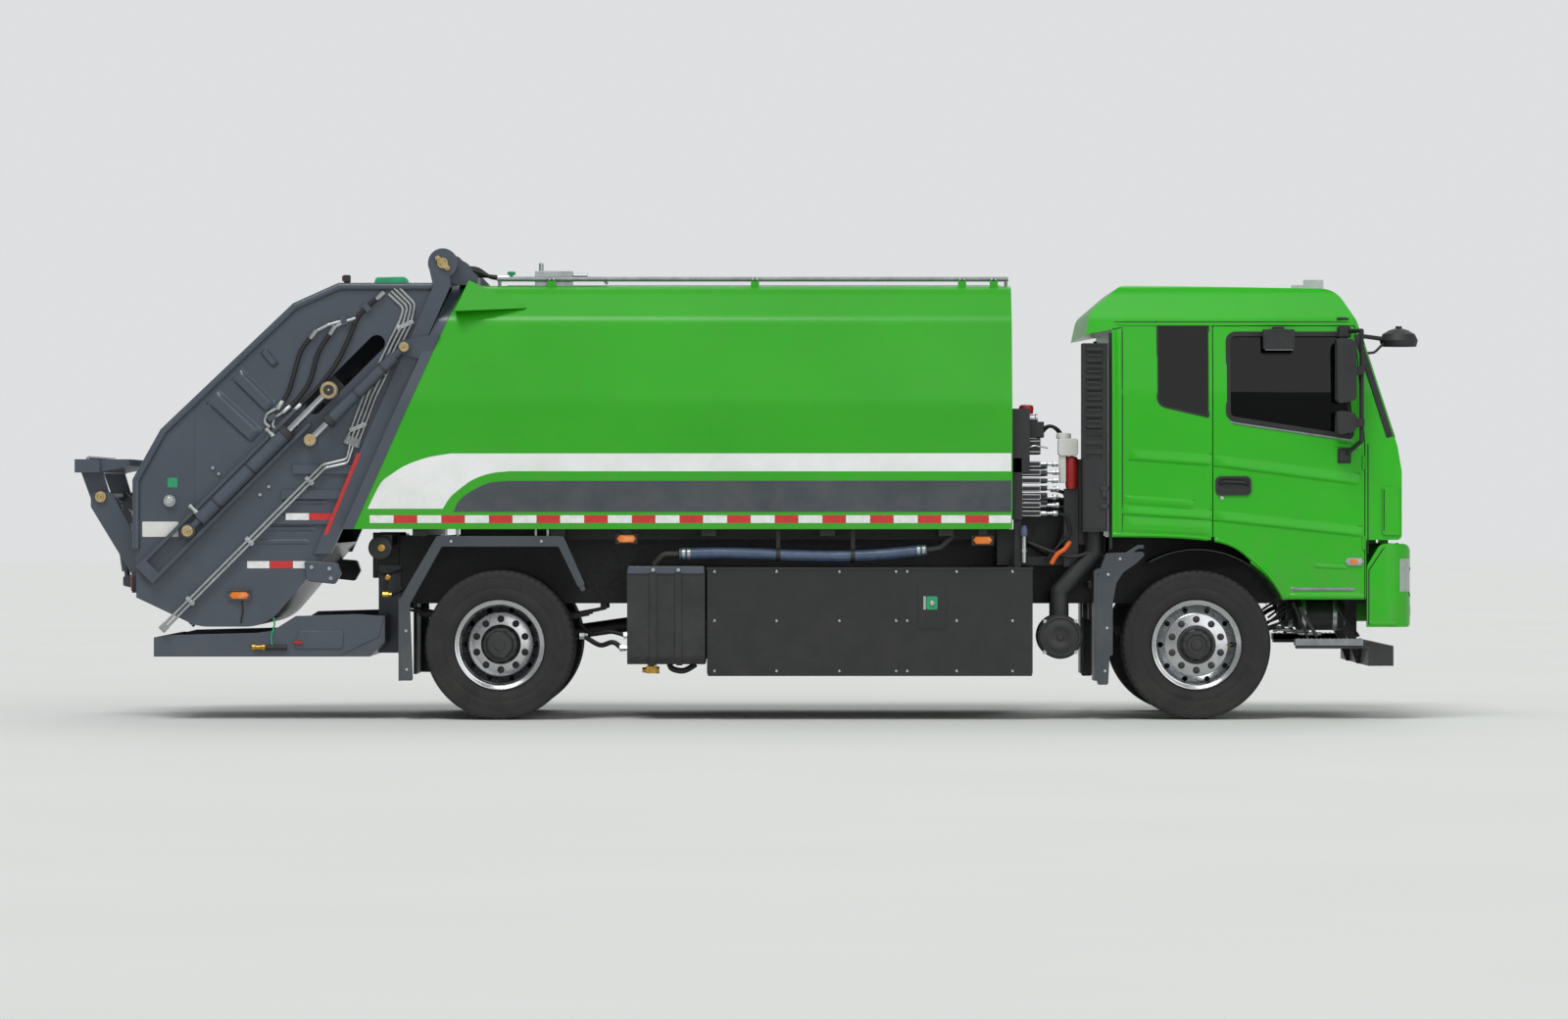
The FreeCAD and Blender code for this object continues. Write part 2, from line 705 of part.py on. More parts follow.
def front_axle():
    """A dropped beam between the kingpins, with its bored ends and spring seats."""
    z = TYRE_RADIUS
    low = z - BEAM_DROP - 2 * BEAM_HALF_HEIGHT
    eye_out = KINGPIN_Y + BEAM_HALF_WIDTH
    outline = [
        (-eye_out, z - BEAM_HALF_HEIGHT), (KNUCKLE_REACH - KINGPIN_Y, z - BEAM_HALF_HEIGHT),
        (-BEAM_KNEE_LOW, low, BEAM_DROP), (BEAM_KNEE_LOW, low, BEAM_DROP),
        (KINGPIN_Y - KNUCKLE_REACH, z - BEAM_HALF_HEIGHT),
        (eye_out, z - BEAM_HALF_HEIGHT), (eye_out, z + BEAM_HALF_HEIGHT),
        (KINGPIN_Y - BEAM_HALF_WIDTH, z + BEAM_HALF_HEIGHT, 0),
        (BEAM_KNEE_HIGH, z - BEAM_DROP, BEAM_DROP), (-BEAM_KNEE_HIGH, z - BEAM_DROP, BEAM_DROP),
        (BEAM_HALF_WIDTH - KINGPIN_Y, z + BEAM_HALF_HEIGHT, 0), (-eye_out, z + BEAM_HALF_HEIGHT),
    ]
    beam = section_bar(outline, FRONT_AXLE_X - BEAM_HALF_WIDTH, FRONT_AXLE_X + BEAM_HALF_WIDTH)
    for y in (-KINGPIN_Y, KINGPIN_Y):
        beam = beam.cut(Part.makeCylinder(KINGPIN_RADIUS + PIN_GAP, 2 * TYRE_RADIUS, V(FRONT_AXLE_X, y, 0)))
    return beam


def spring_pack(axle_x, foot_z, rise_full):
    """One leaf spring: curved leaves of falling length, a perch on the axle, shackles to the rail."""
    leaves = []
    top = foot_z + SPRING_LEAF * SPRING_LEAVES
    for index in range(SPRING_LEAVES):
        share = 1 - index / (SPRING_LEAVES + 1)
        half = SPRING_HALF_LENGTH * share
        z = top - SPRING_LEAF * (index + 1)
        rise = rise_full * share * share
        lower = Part.Arc(V(axle_x - half, 0, z + rise), V(axle_x, 0, z),
                         V(axle_x + half, 0, z + rise)).toShape()
        upper = Part.Arc(V(axle_x + half, 0, z + rise + SPRING_LEAF), V(axle_x, 0, z + SPRING_LEAF),
                         V(axle_x - half, 0, z + rise + SPRING_LEAF)).toShape()
        ends = [Part.LineSegment(V(axle_x + half, 0, z + rise),
                                 V(axle_x + half, 0, z + rise + SPRING_LEAF)).toShape(),
                Part.LineSegment(V(axle_x - half, 0, z + rise + SPRING_LEAF),
                                 V(axle_x - half, 0, z + rise)).toShape()]
        face = Part.Face(Part.Wire([lower, ends[0], upper, ends[1]]))
        leaf = face.extrude(V(0, SPRING_WIDTH, 0))
        leaves.append(leaf.translate(V(0, SPRING_Y - SPRING_WIDTH / 2, 0)))
    low = SPRING_Y - SPRING_WIDTH / 2
    high = SPRING_Y + SPRING_WIDTH / 2
    eye_z = top - SPRING_LEAF + rise_full
    shackles = []
    for end in (-1, 1):
        x = axle_x + end * (SPRING_HALF_LENGTH - SHACKLE_THICKNESS / 2)
        shackles.append(box(x - SHACKLE_THICKNESS / 2, x + SHACKLE_THICKNESS / 2, low, high, eye_z,
                            RAIL_BOTTOM))
    clamp = box(axle_x - BEAM_HALF_WIDTH, axle_x + BEAM_HALF_WIDTH, low, high, foot_z, top + SPRING_LEAF)
    return joined(leaves + shackles + [clamp])


def rear_axle():
    """The axle tube with its differential, standing in the wheels' hubs."""
    inner_face = REAR_TRACK / 2 - TWIN_SPACING / 2 - TYRE_WIDTH / 2
    reach = inner_face - RUNNING_GAP
    tube = cross_rod(REAR_AXLE_X, TYRE_RADIUS, -reach, reach, AXLE_TUBE_RADIUS)
    bulb = Part.makeSphere(DIFF_RADIUS, V(REAR_AXLE_X, 0, TYRE_RADIUS))
    slab = box(REAR_AXLE_X - DIFF_RADIUS, REAR_AXLE_X + DIFF_RADIUS, -DIFF_HALF_WIDTH, DIFF_HALF_WIDTH,
               TYRE_RADIUS - DIFF_RADIUS, TYRE_RADIUS + DIFF_RADIUS)
    inner_disc = REAR_TRACK / 2 - TWIN_SPACING / 2 + DISC_DISH + DISC_THICKNESS
    half_shaft = inner_disc - OVERRUN + HUB_OUT - RUNNING_GAP
    shaft = cross_rod(REAR_AXLE_X, TYRE_RADIUS, -half_shaft, half_shaft, AXLE_HOLE_RADIUS - PIN_GAP)
    perches = [box(REAR_AXLE_X - BEAM_HALF_WIDTH, REAR_AXLE_X + BEAM_HALF_WIDTH, y - SPRING_WIDTH / 2,
                   y + SPRING_WIDTH / 2, TYRE_RADIUS, TYRE_RADIUS + AXLE_TUBE_RADIUS + PERCH_HEIGHT)
               for y in (-SPRING_Y, SPRING_Y)]
    return joined([tube, bulb.common(slab), shaft] + perches)


def hung_boxes():
    """The battery box of each side: a plain case with a raised rim and panel joints."""
    case = box(BATTERY_REAR_X, BATTERY_FRONT_X, RAIL_OUT, BOX_OUT, BATTERY_BOTTOM, BOX_TOP)
    lid = box(BATTERY_REAR_X - BOX_EDGE / 2, BATTERY_FRONT_X + BOX_EDGE / 2, RAIL_OUT,
              BOX_OUT + BOX_EDGE / 3,
              BOX_TOP - BOX_EDGE, BOX_TOP)
    joint_x = (BATTERY_REAR_X + BATTERY_FRONT_X) / 2
    groove = box(joint_x, joint_x + BOX_EDGE / 2, BOX_OUT - BOX_EDGE / 2, BOX_OUT + BOX_EDGE,
                 BATTERY_BOTTOM + BOX_EDGE, BOX_TOP - 2 * BOX_EDGE)
    return pair(joined([case, lid]).cut(groove))


def hydraulic_tank():
    """The oil tank on straps behind the battery box, one each side."""
    section = [
        (RAIL_OUT, TANK_BOTTOM, 0), (BOX_OUT, TANK_BOTTOM, TANK_CORNER), (BOX_OUT, BOX_TOP, TANK_CORNER),
        (RAIL_OUT, BOX_TOP, 0),
    ]
    tank = section_bar(section, TANK_REAR_X, TANK_FRONT_X)
    outer = [
        (RAIL_OUT, TANK_BOTTOM - STRAP_THICKNESS, 0),
        (BOX_OUT + STRAP_THICKNESS, TANK_BOTTOM - STRAP_THICKNESS, TANK_CORNER),
        (BOX_OUT + STRAP_THICKNESS, BOX_TOP + STRAP_THICKNESS, TANK_CORNER),
        (RAIL_OUT, BOX_TOP + STRAP_THICKNESS, 0),
    ]
    third = (TANK_FRONT_X - TANK_REAR_X) / 3
    straps = [section_bar(outer, TANK_REAR_X + third * n - STRAP_WIDTH / 2,
                          TANK_REAR_X + third * n + STRAP_WIDTH / 2)
              for n in (1, 2)]
    return pair(joined([tank] + straps))


def folded_sheet(points, y0, y1, thickness):
    """A folded sheet whose outer face follows points (x, z), given with its inner points by mitring."""
    inner = []
    count = len(points)
    for index, (x, z) in enumerate(points):
        here = V(x, 0, z)
        normals = []
        for other in ((index - 1, index), (index, index + 1)):
            if other[0] >= 0 and other[1] < count:
                run = V(points[other[1]][0] - points[other[0]][0], 0,
                        points[other[1]][1] - points[other[0]][1])
                run.normalize()
                normals.append(V(run.z, 0, -run.x))
        if len(normals) == 2:
            miter = normals[0].add(normals[1])
            miter.normalize()
            reach = thickness / miter.dot(normals[0])
            spot = here.add(miter * reach)
        else:
            spot = here.add(normals[0] * thickness)
        inner.append((spot.x, spot.z))
    return side_plate(list(points) + inner[::-1], y0, y1)


def mudguards():
    """Folded arches over the rear wheels and quarter guards behind the front ones, with their flaps."""
    rear_points = [
        (REAR_GUARD_REAR_X, REAR_GUARD_REAR_Z), (REAR_GUARD_HEEL_X, REAR_GUARD_TOP),
        (REAR_GUARD_TOE_X, REAR_GUARD_TOP), (REAR_GUARD_FRONT_X, REAR_GUARD_FRONT_Z),
    ]
    rear = folded_sheet(rear_points, GUARD_IN, GUARD_OUT, GUARD_SHEET)
    flap = box(REAR_GUARD_REAR_X, REAR_GUARD_REAR_X + FLAP_THICKNESS, GUARD_IN, GUARD_OUT,
               FLAP_BOTTOM, REAR_GUARD_REAR_Z + FLAP_THICKNESS)
    front_points = [
        (FRONT_GUARD_REAR_X, FLAP_BOTTOM), (FRONT_GUARD_REAR_X, FRONT_GUARD_TOP - FRONT_GUARD_SLOPE),
        (FRONT_GUARD_TIP_X - 2 * OVERRUN, FRONT_GUARD_TOP), (FRONT_GUARD_TIP_X, FRONT_GUARD_TOP),
    ]
    front = folded_sheet(front_points, FRONT_GUARD_IN, GUARD_OUT, FLAP_THICKNESS)
    stay = cross_rod(FRONT_GUARD_REAR_X, (RAIL_BOTTOM + RAIL_TOP) / 2, RAIL_OUT, FRONT_GUARD_IN + OVERRUN,
                     FLAP_THICKNESS)
    return pair(joined([rear, flap])) + pair(joined([front, stay]))


def underrun_beam():
    """The low front beam on its two brackets, with the cab's bottom steps behind its ends."""
    beam = box(UNDERRUN_REAR_X, UNDERRUN_FRONT_X, -UNDERRUN_OUT, UNDERRUN_OUT, UNDERRUN_BOTTOM,
               UNDERRUN_TOP)
    tow_pin = Part.makeCylinder(TOW_PIN_RADIUS, 2 * UNDERRUN_TOP, V(TOW_PIN_X, 0, 0))
    beam = beam.cut(tow_pin)
    bracket_rear = UNDERRUN_REAR_X - CROSS_WIDTH
    bracket = side_plate([
        (bracket_rear, RAIL_TOP), (bracket_rear - CROSS_WIDTH, RAIL_BOTTOM),
        (UNDERRUN_REAR_X - OVERRUN, UNDERRUN_BOTTOM), (UNDERRUN_REAR_X + OVERRUN, UNDERRUN_BOTTOM),
        (UNDERRUN_REAR_X + OVERRUN, UNDERRUN_TOP), (UNDERRUN_REAR_X - OVERRUN, UNDERRUN_TOP + OVERRUN),
        (UNDERRUN_REAR_X - OVERRUN, RAIL_TOP)], RAIL_OUT, RAIL_OUT + RAIL_WEB)
    step = box(STEP_REAR_X, UNDERRUN_REAR_X + OVERRUN, STEP_IN, UNDERRUN_OUT, STEP_TOP - STEP_THICKNESS,
               UNDERRUN_TOP)
    tread = box(STEP_REAR_X, UNDERRUN_REAR_X - OVERRUN, STEP_IN, UNDERRUN_OUT, STEP_TOP - STEP_THICKNESS,
                STEP_TOP)
    return joined([beam] + pair(bracket) + pair(step) + pair(tread))


def drip_tray():
    """The open tray that catches what runs out under the hopper."""
    outline = [
        (TRAY_REAR_X, TRAY_BOTTOM), (TRAY_FRONT_X - TRAY_TOE, TRAY_BOTTOM),
        (TRAY_FRONT_X, TRAY_BOTTOM + TRAY_TOE),
        (TRAY_FRONT_X, TRAY_BOTTOM + TRAY_HIGH), (TRAY_FRONT_X - TRAY_SWEEP, TRAY_BOTTOM + TRAY_LOW),
        (TRAY_REAR_X, TRAY_BOTTOM + TRAY_LOW),
    ]
    solid = side_plate(outline, -TRAY_OUT, TRAY_OUT)
    inside = [
        (TRAY_REAR_X + TRAY_SHEET, TRAY_BOTTOM + TRAY_SHEET),
        (TRAY_FRONT_X - TRAY_TOE, TRAY_BOTTOM + TRAY_SHEET),
        (TRAY_FRONT_X - TRAY_SHEET, TRAY_BOTTOM + TRAY_TOE + TRAY_SHEET),
        (TRAY_FRONT_X - TRAY_SHEET, TRAY_BOTTOM + TRAY_HIGH + OVERRUN),
        (TRAY_REAR_X + TRAY_SHEET, TRAY_BOTTOM + TRAY_HIGH + OVERRUN),
    ]
    tray = solid.cut(side_plate(inside, TRAY_SHEET - TRAY_OUT, TRAY_OUT - TRAY_SHEET))
    hanger_rear = TRAY_FRONT_X - SUBFRAME_WIDTH
    hanger = box(hanger_rear, TRAY_FRONT_X + TRAY_HANGER, RAIL_OUT, RAIL_OUT + TRAY_SHEET,
                 TRAY_BOTTOM + TRAY_SHEET, RAIL_TOP)
    return joined([tray] + pair(hanger))


def seam_x(z):
    """The slanted joint between body and tailgate, at a height."""
    return SEAM_TOP_X + (z - BODY_ROOF_Z) * SEAM_SLOPE


def body_section(inset):
    """The body's section: upright flanks, rounded shoulders and a flat roof, drawn in by inset."""
    half = BODY_HALF_WIDTH - inset
    shoulder = BODY_HALF_WIDTH - BODY_SHOULDER_IN - inset
    roof = BODY_HALF_WIDTH - BODY_ROOF_IN - inset / 2
    return halves([
        (half, BODY_FLOOR_Z + inset, 0), (half, BODY_WAIST_Z, BODY_CORNER * 2),
        (shoulder, BODY_SHOULDER_Z, BODY_CORNER), (roof, BODY_ROOF_Z - inset, BODY_CORNER),
    ])


def body_prism(inset, front_x):
    """The body's section carried back past the slanted seam, then cut along it."""
    rear_x = seam_x(BODY_FLOOR_Z) - OVERRUN
    prism = section_bar(body_section(inset), rear_x, front_x)
    return prism


def behind_seam(offset):
    """Everything behind the slanted seam plane, moved forward by offset."""
    low = BODY_FLOOR_Z - OVERRUN * 10
    high = BODY_ROOF_Z + OVERRUN * 10
    far = seam_x(low) - BODY_HALF_WIDTH
    return side_plate([(seam_x(low) + offset, low), (seam_x(high) + offset, high), (far, high), (far, low)],
                      -2 * BODY_HALF_WIDTH, 2 * BODY_HALF_WIDTH)


def body_shell():
    """The closed compaction body: one wall all round, open at its slanted rear end."""
    start = RUNNING_GAP + REAR_FRAME_DEPTH
    outer = body_prism(0, BODY_FRONT_X).cut(behind_seam(start))
    inner = body_prism(BODY_WALL, BODY_FRONT_X - BODY_WALL)
    return outer.cut(inner)


def body_rear_frame():
    """The slanted frame round the rear opening, with the hinge ears and the lift cylinders' brackets."""
    outer_section = [(y / BODY_HALF_WIDTH * REAR_FRAME_OUT, z, r) for y, z, r in body_section(0)]
    ring = section_bar(outer_section, seam_x(BODY_FLOOR_Z) - OVERRUN, SEAM_TOP_X + 2 * REAR_FRAME_OUT)
    ring = ring.cut(behind_seam(RUNNING_GAP)).common(behind_seam(RUNNING_GAP + REAR_FRAME_DEPTH))
    ring = ring.cut(body_prism(BODY_WALL, BODY_FRONT_X))
    ear_in = POST_IN - RUNNING_GAP - 2 * RIB_DEPTH
    ear_out = POST_IN - RUNNING_GAP
    foot_x = SEAM_TOP_X + RUNNING_GAP + OVERRUN
    saddle_in = BODY_HALF_WIDTH - BODY_ROOF_IN - 2 * BODY_CORNER
    saddle_z = BODY_ROOF_Z
    saddle = box(foot_x + OVERRUN, foot_x + 2 * REAR_FRAME_DEPTH, saddle_in, ear_out, saddle_z,
                 saddle_z + RIB_WIDTH)
    ear = side_plate([
        (foot_x + OVERRUN, saddle_z),
        (TAIL_HINGE_X - TAIL_LUG_RADIUS / 2, TAIL_HINGE_Z - TAIL_LUG_RADIUS / 2, TAIL_HINGE_PIN),
        (TAIL_HINGE_X - TAIL_LUG_RADIUS / 2, TAIL_HINGE_Z + TAIL_LUG_RADIUS / 2, TAIL_HINGE_PIN),
        (TAIL_HINGE_X + TAIL_LUG_RADIUS, TAIL_HINGE_Z + TAIL_LUG_RADIUS / 2, TAIL_HINGE_PIN),
        (foot_x + 2 * REAR_FRAME_DEPTH, saddle_z + RIB_WIDTH), (foot_x + 2 * REAR_FRAME_DEPTH, saddle_z)],
        ear_in, ear_out)
    pin = cross_rod(TAIL_HINGE_X, TAIL_HINGE_Z, ear_in, POST_OUT + RUNNING_GAP, TAIL_HINGE_PIN)
    bracket_in = POST_OUT + RUNNING_GAP
    arm_z = LIFT_TOP_Z
    bracket = side_plate([
        (seam_x(arm_z - 2 * LIFT_EYE_RADIUS) + RUNNING_GAP + OVERRUN, arm_z - 2 * LIFT_EYE_RADIUS),
        (seam_x(arm_z + 2 * LIFT_EYE_RADIUS) + RUNNING_GAP + OVERRUN, arm_z + 2 * LIFT_EYE_RADIUS),
        (LIFT_TOP_X - LIFT_EYE_RADIUS, arm_z + LIFT_EYE_RADIUS, LIFT_EYE_RADIUS / 2),
        (LIFT_TOP_X - LIFT_EYE_RADIUS, arm_z - LIFT_EYE_RADIUS, LIFT_EYE_RADIUS / 2)],
        bracket_in, bracket_in + TAIL_PLATE)
    pad = side_plate([
        (seam_x(arm_z - 2 * LIFT_EYE_RADIUS) + RUNNING_GAP + SEAT_GAP, arm_z - 2 * LIFT_EYE_RADIUS),
        (seam_x(arm_z + 2 * LIFT_EYE_RADIUS) + RUNNING_GAP + SEAT_GAP, arm_z + 2 * LIFT_EYE_RADIUS),
        (seam_x(arm_z + 2 * LIFT_EYE_RADIUS) + REAR_FRAME_DEPTH, arm_z + 2 * LIFT_EYE_RADIUS),
        (seam_x(arm_z - 2 * LIFT_EYE_RADIUS) + REAR_FRAME_DEPTH, arm_z - 2 * LIFT_EYE_RADIUS)],
        bracket_in - 3 * TAIL_PLATE, bracket_in + TAIL_PLATE)
    lift_pin = cross_rod(LIFT_TOP_X, LIFT_TOP_Z, bracket_in, LIFT_Y + LIFT_EYE_WIDTH / 2 + RUNNING_GAP / 2,
                         LIFT_PIN_RADIUS)
    right = [saddle, ear, pin, bracket, pad, lift_pin]
    return joined([ring] + right + [mirrored(piece) for piece in right])


def roof_rails():
    """A tube rail on posts along each roof edge."""
    start_x = SEAM_TOP_X + 4 * REAR_FRAME_DEPTH
    stop_x = BODY_FRONT_X - ROOF_RAIL_RADIUS
    rail = rod(V(start_x, ROOF_RAIL_Y, ROOF_RAIL_Z), V(stop_x, ROOF_RAIL_Y, ROOF_RAIL_Z), ROOF_RAIL_RADIUS)
    posts = []
    for index in range(ROOF_RAIL_POSTS):
        run = stop_x - start_x - 2 * ROOF_RAIL_RADIUS
        x = start_x + ROOF_RAIL_RADIUS + run * index / (ROOF_RAIL_POSTS - 1)
        posts.append(Part.makeCylinder(ROOF_POST_RADIUS, ROOF_RAIL_Z - BODY_ROOF_Z - SEAT_GAP,
                                       V(x, ROOF_RAIL_Y, BODY_ROOF_Z + SEAT_GAP)))
    return pair(joined([rail] + posts))


def ejector_plate():
    """The plate that pushes the load out, on two shoes, with a raked face and side braces."""
    gap = BODY_WALL + EJECTOR_GAP
    foot = BODY_FLOOR_Z + BODY_WALL + SEAT_GAP + SHOE_HEIGHT
    section = body_section(gap)
    face = section_bar([(y, max(z, foot), r) for y, z, r in section], EJECTOR_X - EJECTOR_THICKNESS,
                       EJECTOR_X)
    brace = side_plate([
        (EJECTOR_X, foot), (EJECTOR_X + EJECTOR_BRACE, foot), (EJECTOR_X, BODY_WAIST_Z)],
        SHOE_Y - SHOE_WIDTH / 4, SHOE_Y)
    shoe = box(EJECTOR_X - EJECTOR_THICKNESS, EJECTOR_X + EJECTOR_BRACE, SHOE_Y - SHOE_WIDTH / 2,
               SHOE_Y + SHOE_WIDTH / 2, foot - SHOE_HEIGHT, foot)
    return joined([face] + pair(brace) + pair(shoe))


def air_intake():
    """The louvred snorkel behind the cab, its duct and the filter canister, carried on the right rail."""
    canister = cross_rod(CANISTER_X, CANISTER_Z, -CANISTER_OUT, -CANISTER_IN, CANISTER_RADIUS)
    lid = cross_rod(CANISTER_X, CANISTER_Z, -CANISTER_OUT - SNORKEL_SHEET, -CANISTER_OUT,
                    CANISTER_RADIUS * CANISTER_LID_SHARE)
    box_mid_x = (SNORKEL_REAR_X + SNORKEL_FRONT_X) / 2
    box_mid_y = -(SNORKEL_IN + SNORKEL_OUT) / 2
    neck_z = CANISTER_Z + 2 * CANISTER_RADIUS
    elbow_z = SNORKEL_BOTTOM - CANISTER_RADIUS
    duct_y = box_mid_y
    path = [
        V(CANISTER_X, duct_y, CANISTER_Z + CANISTER_RADIUS / 2), V(CANISTER_X, duct_y, neck_z),
        V(box_mid_x, duct_y, elbow_z), V(box_mid_x, duct_y, SNORKEL_BOTTOM + OVERRUN),
    ]
    runs = [rod(a, b, DUCT_RADIUS) for a, b in zip(path, path[1:])]
    knees = [Part.makeSphere(DUCT_RADIUS, spot) for spot in path[1:-1]]
    tower = box(SNORKEL_REAR_X, SNORKEL_FRONT_X, -SNORKEL_OUT, -SNORKEL_IN, SNORKEL_BOTTOM, SNORKEL_TOP)
    pitch = (SNORKEL_TOP - SNORKEL_BOTTOM) * LOUVRE_SPAN_SHARE / LOUVRE_COUNT
    slots = []
    for index in range(LOUVRE_COUNT):
        z = SNORKEL_TOP - pitch * (index + 1)
        slots.append(box(SNORKEL_REAR_X + 2 * SNORKEL_SHEET, SNORKEL_FRONT_X - 4 * SNORKEL_SHEET,
                         -SNORKEL_OUT - OVERRUN, -SNORKEL_OUT + SNORKEL_SHEET, z - pitch / 4,
                         z + pitch / 4))
    tower = tower.cut(slots[0].fuse(slots[1:]))
    stay = box(CANISTER_X - CROSS_WIDTH / 2, CANISTER_X + CROSS_WIDTH / 2, -CANISTER_IN - OVERRUN,
               -RAIL_OUT,
               CANISTER_Z + CROSS_WIDTH / 2, RAIL_BOTTOM + CROSS_WIDTH)
    return joined([canister, lid, tower, stay] + runs + knees)


def valve_bank():
    """The hydraulic valve stack on the body's front wall, with its spools in rows."""
    x0 = BODY_FRONT_X
    plate = box(x0, x0 + SNORKEL_SHEET, -BEARER_OUT, -RAIL_OUT, VALVE_BOTTOM + VALVE_DEPTH, VALVE_TOP)
    block = box(x0, x0 + VALVE_DEPTH / 2, -BEARER_OUT, -SHOE_Y, BODY_WAIST_Z - 2 * VALVE_DEPTH, VALVE_TOP)
    spools = []
    pitch = VALVE_DEPTH / 5
    for index in range(6):
        z = VALVE_BOTTOM + VALVE_DEPTH + pitch * (index + 1)
        spools.append(rod(V(x0, -BEARER_OUT + pitch, z), V(x0 + VALVE_DEPTH, -BEARER_OUT + pitch, z),
                          pitch / 3))
        spools.append(rod(V(x0, -SHOE_Y - pitch, z), V(x0 + VALVE_DEPTH, -SHOE_Y - pitch, z), pitch / 3))
    return joined([plate, block] + spools)


def cab_block(inset, low_z):
    """The cab's outer form drawn in by inset: its side outline crossed with its section."""
    length = CAB_FRONT_X - CAB_REAR_X
    height = CAB_ROOF_Z - CAB_FLOOR_Z
    outline = [(CAB_REAR_X + u * length, CAB_FLOOR_Z + v * height, r * height) for u, v,
               r in CAB_SIDE_SHARES]
    low_front = outline[-1][1]
    outline += [(SKIRT_FRONT_X, low_front, 0), (SKIRT_FRONT_X, CAB_SKIRT_Z, 0),
                (SKIRT_REAR_X, CAB_SKIRT_Z, 0), (SKIRT_REAR_X, CAB_FLOOR_Z, 0)]
    span = CAB_ROOF_Z - CAB_SKIRT_Z
    section = halves([(u * CAB_HALF_WIDTH, CAB_SKIRT_Z + v * span, r * span) for u, v,
                      r in CAB_SECTION_SHARES])
    side_wire = closed_wire(outline, lambda u, v: V(u, -2 * CAB_HALF_WIDTH, v))
    front_wire = closed_wire(section, lambda u, v: V(CAB_REAR_X - CAB_HALF_WIDTH, u, v))
    if inset:
        side_wire = side_wire.makeOffset2D(-inset)
        front_wire = front_wire.makeOffset2D(-inset)
    flank = Part.Face(side_wire).extrude(V(0, 4 * CAB_HALF_WIDTH, 0))
    length_bar = Part.Face(front_wire).extrude(V(length + 2 * CAB_HALF_WIDTH, 0, 0))
    block = flank.common(length_bar)
    if low_z > CAB_SKIRT_Z:
        block = block.cut(box(CAB_REAR_X - CAB_HALF_WIDTH, CAB_FRONT_X + CAB_HALF_WIDTH,
                              -2 * CAB_HALF_WIDTH,
                              2 * CAB_HALF_WIDTH, CAB_SKIRT_Z - CAB_HALF_WIDTH, low_z))
    return block


def wheel_arch(radius):
    return cross_rod(FRONT_AXLE_X, TYRE_RADIUS, -2 * CAB_HALF_WIDTH, 2 * CAB_HALF_WIDTH, radius)


def door_outline(gap):
    """The door's side outline, drawn in by gap."""
    return [
        (DOOR_REAR_X + gap, CAB_SKIRT_Z + gap - OVERRUN), (DOOR_REAR_X + gap, DOOR_TOP_Z - gap, GLASS),
        (DOOR_FRONT_TOP_X - gap, DOOR_TOP_Z - gap, GLASS), (DOOR_FRONT_X - gap, DOOR_BELT_Z, OVERRUN),
        (DOOR_FRONT_X - gap, CAB_SKIRT_Z + gap - OVERRUN),
    ]


def window_outline():
    return [
        (WINDOW_REAR_X, WINDOW_REAR_SILL_Z, WINDOW_CORNER), (WINDOW_REAR_X, WINDOW_TOP_Z, WINDOW_CORNER),
        (WINDOW_FRONT_TOP_X, WINDOW_TOP_Z, WINDOW_CORNER / 2),
        (WINDOW_FRONT_X, WINDOW_FRONT_SILL_Z, WINDOW_CORNER / 2),
    ]


def quarter_outline():
    return [
        (QUARTER_REAR_X, QUARTER_REAR_SILL_Z, QUARTER_CORNER), (QUARTER_REAR_X, QUARTER_TOP_Z, GLASS),
        (QUARTER_FRONT_X, QUARTER_TOP_Z, GLASS), (QUARTER_FRONT_X, QUARTER_SILL_Z, GLASS),
    ]


def screen_outline():
    """The windscreen in the front view."""
    return [
        (-SCREEN_HALF_WIDTH, SCREEN_BOTTOM_Z, WINDOW_CORNER),
        (SCREEN_HALF_WIDTH, SCREEN_BOTTOM_Z, WINDOW_CORNER),
        (SCREEN_TOP_HALF_WIDTH, SCREEN_TOP_Z, WINDOW_CORNER),
        (-SCREEN_TOP_HALF_WIDTH, SCREEN_TOP_Z, WINDOW_CORNER),
    ]


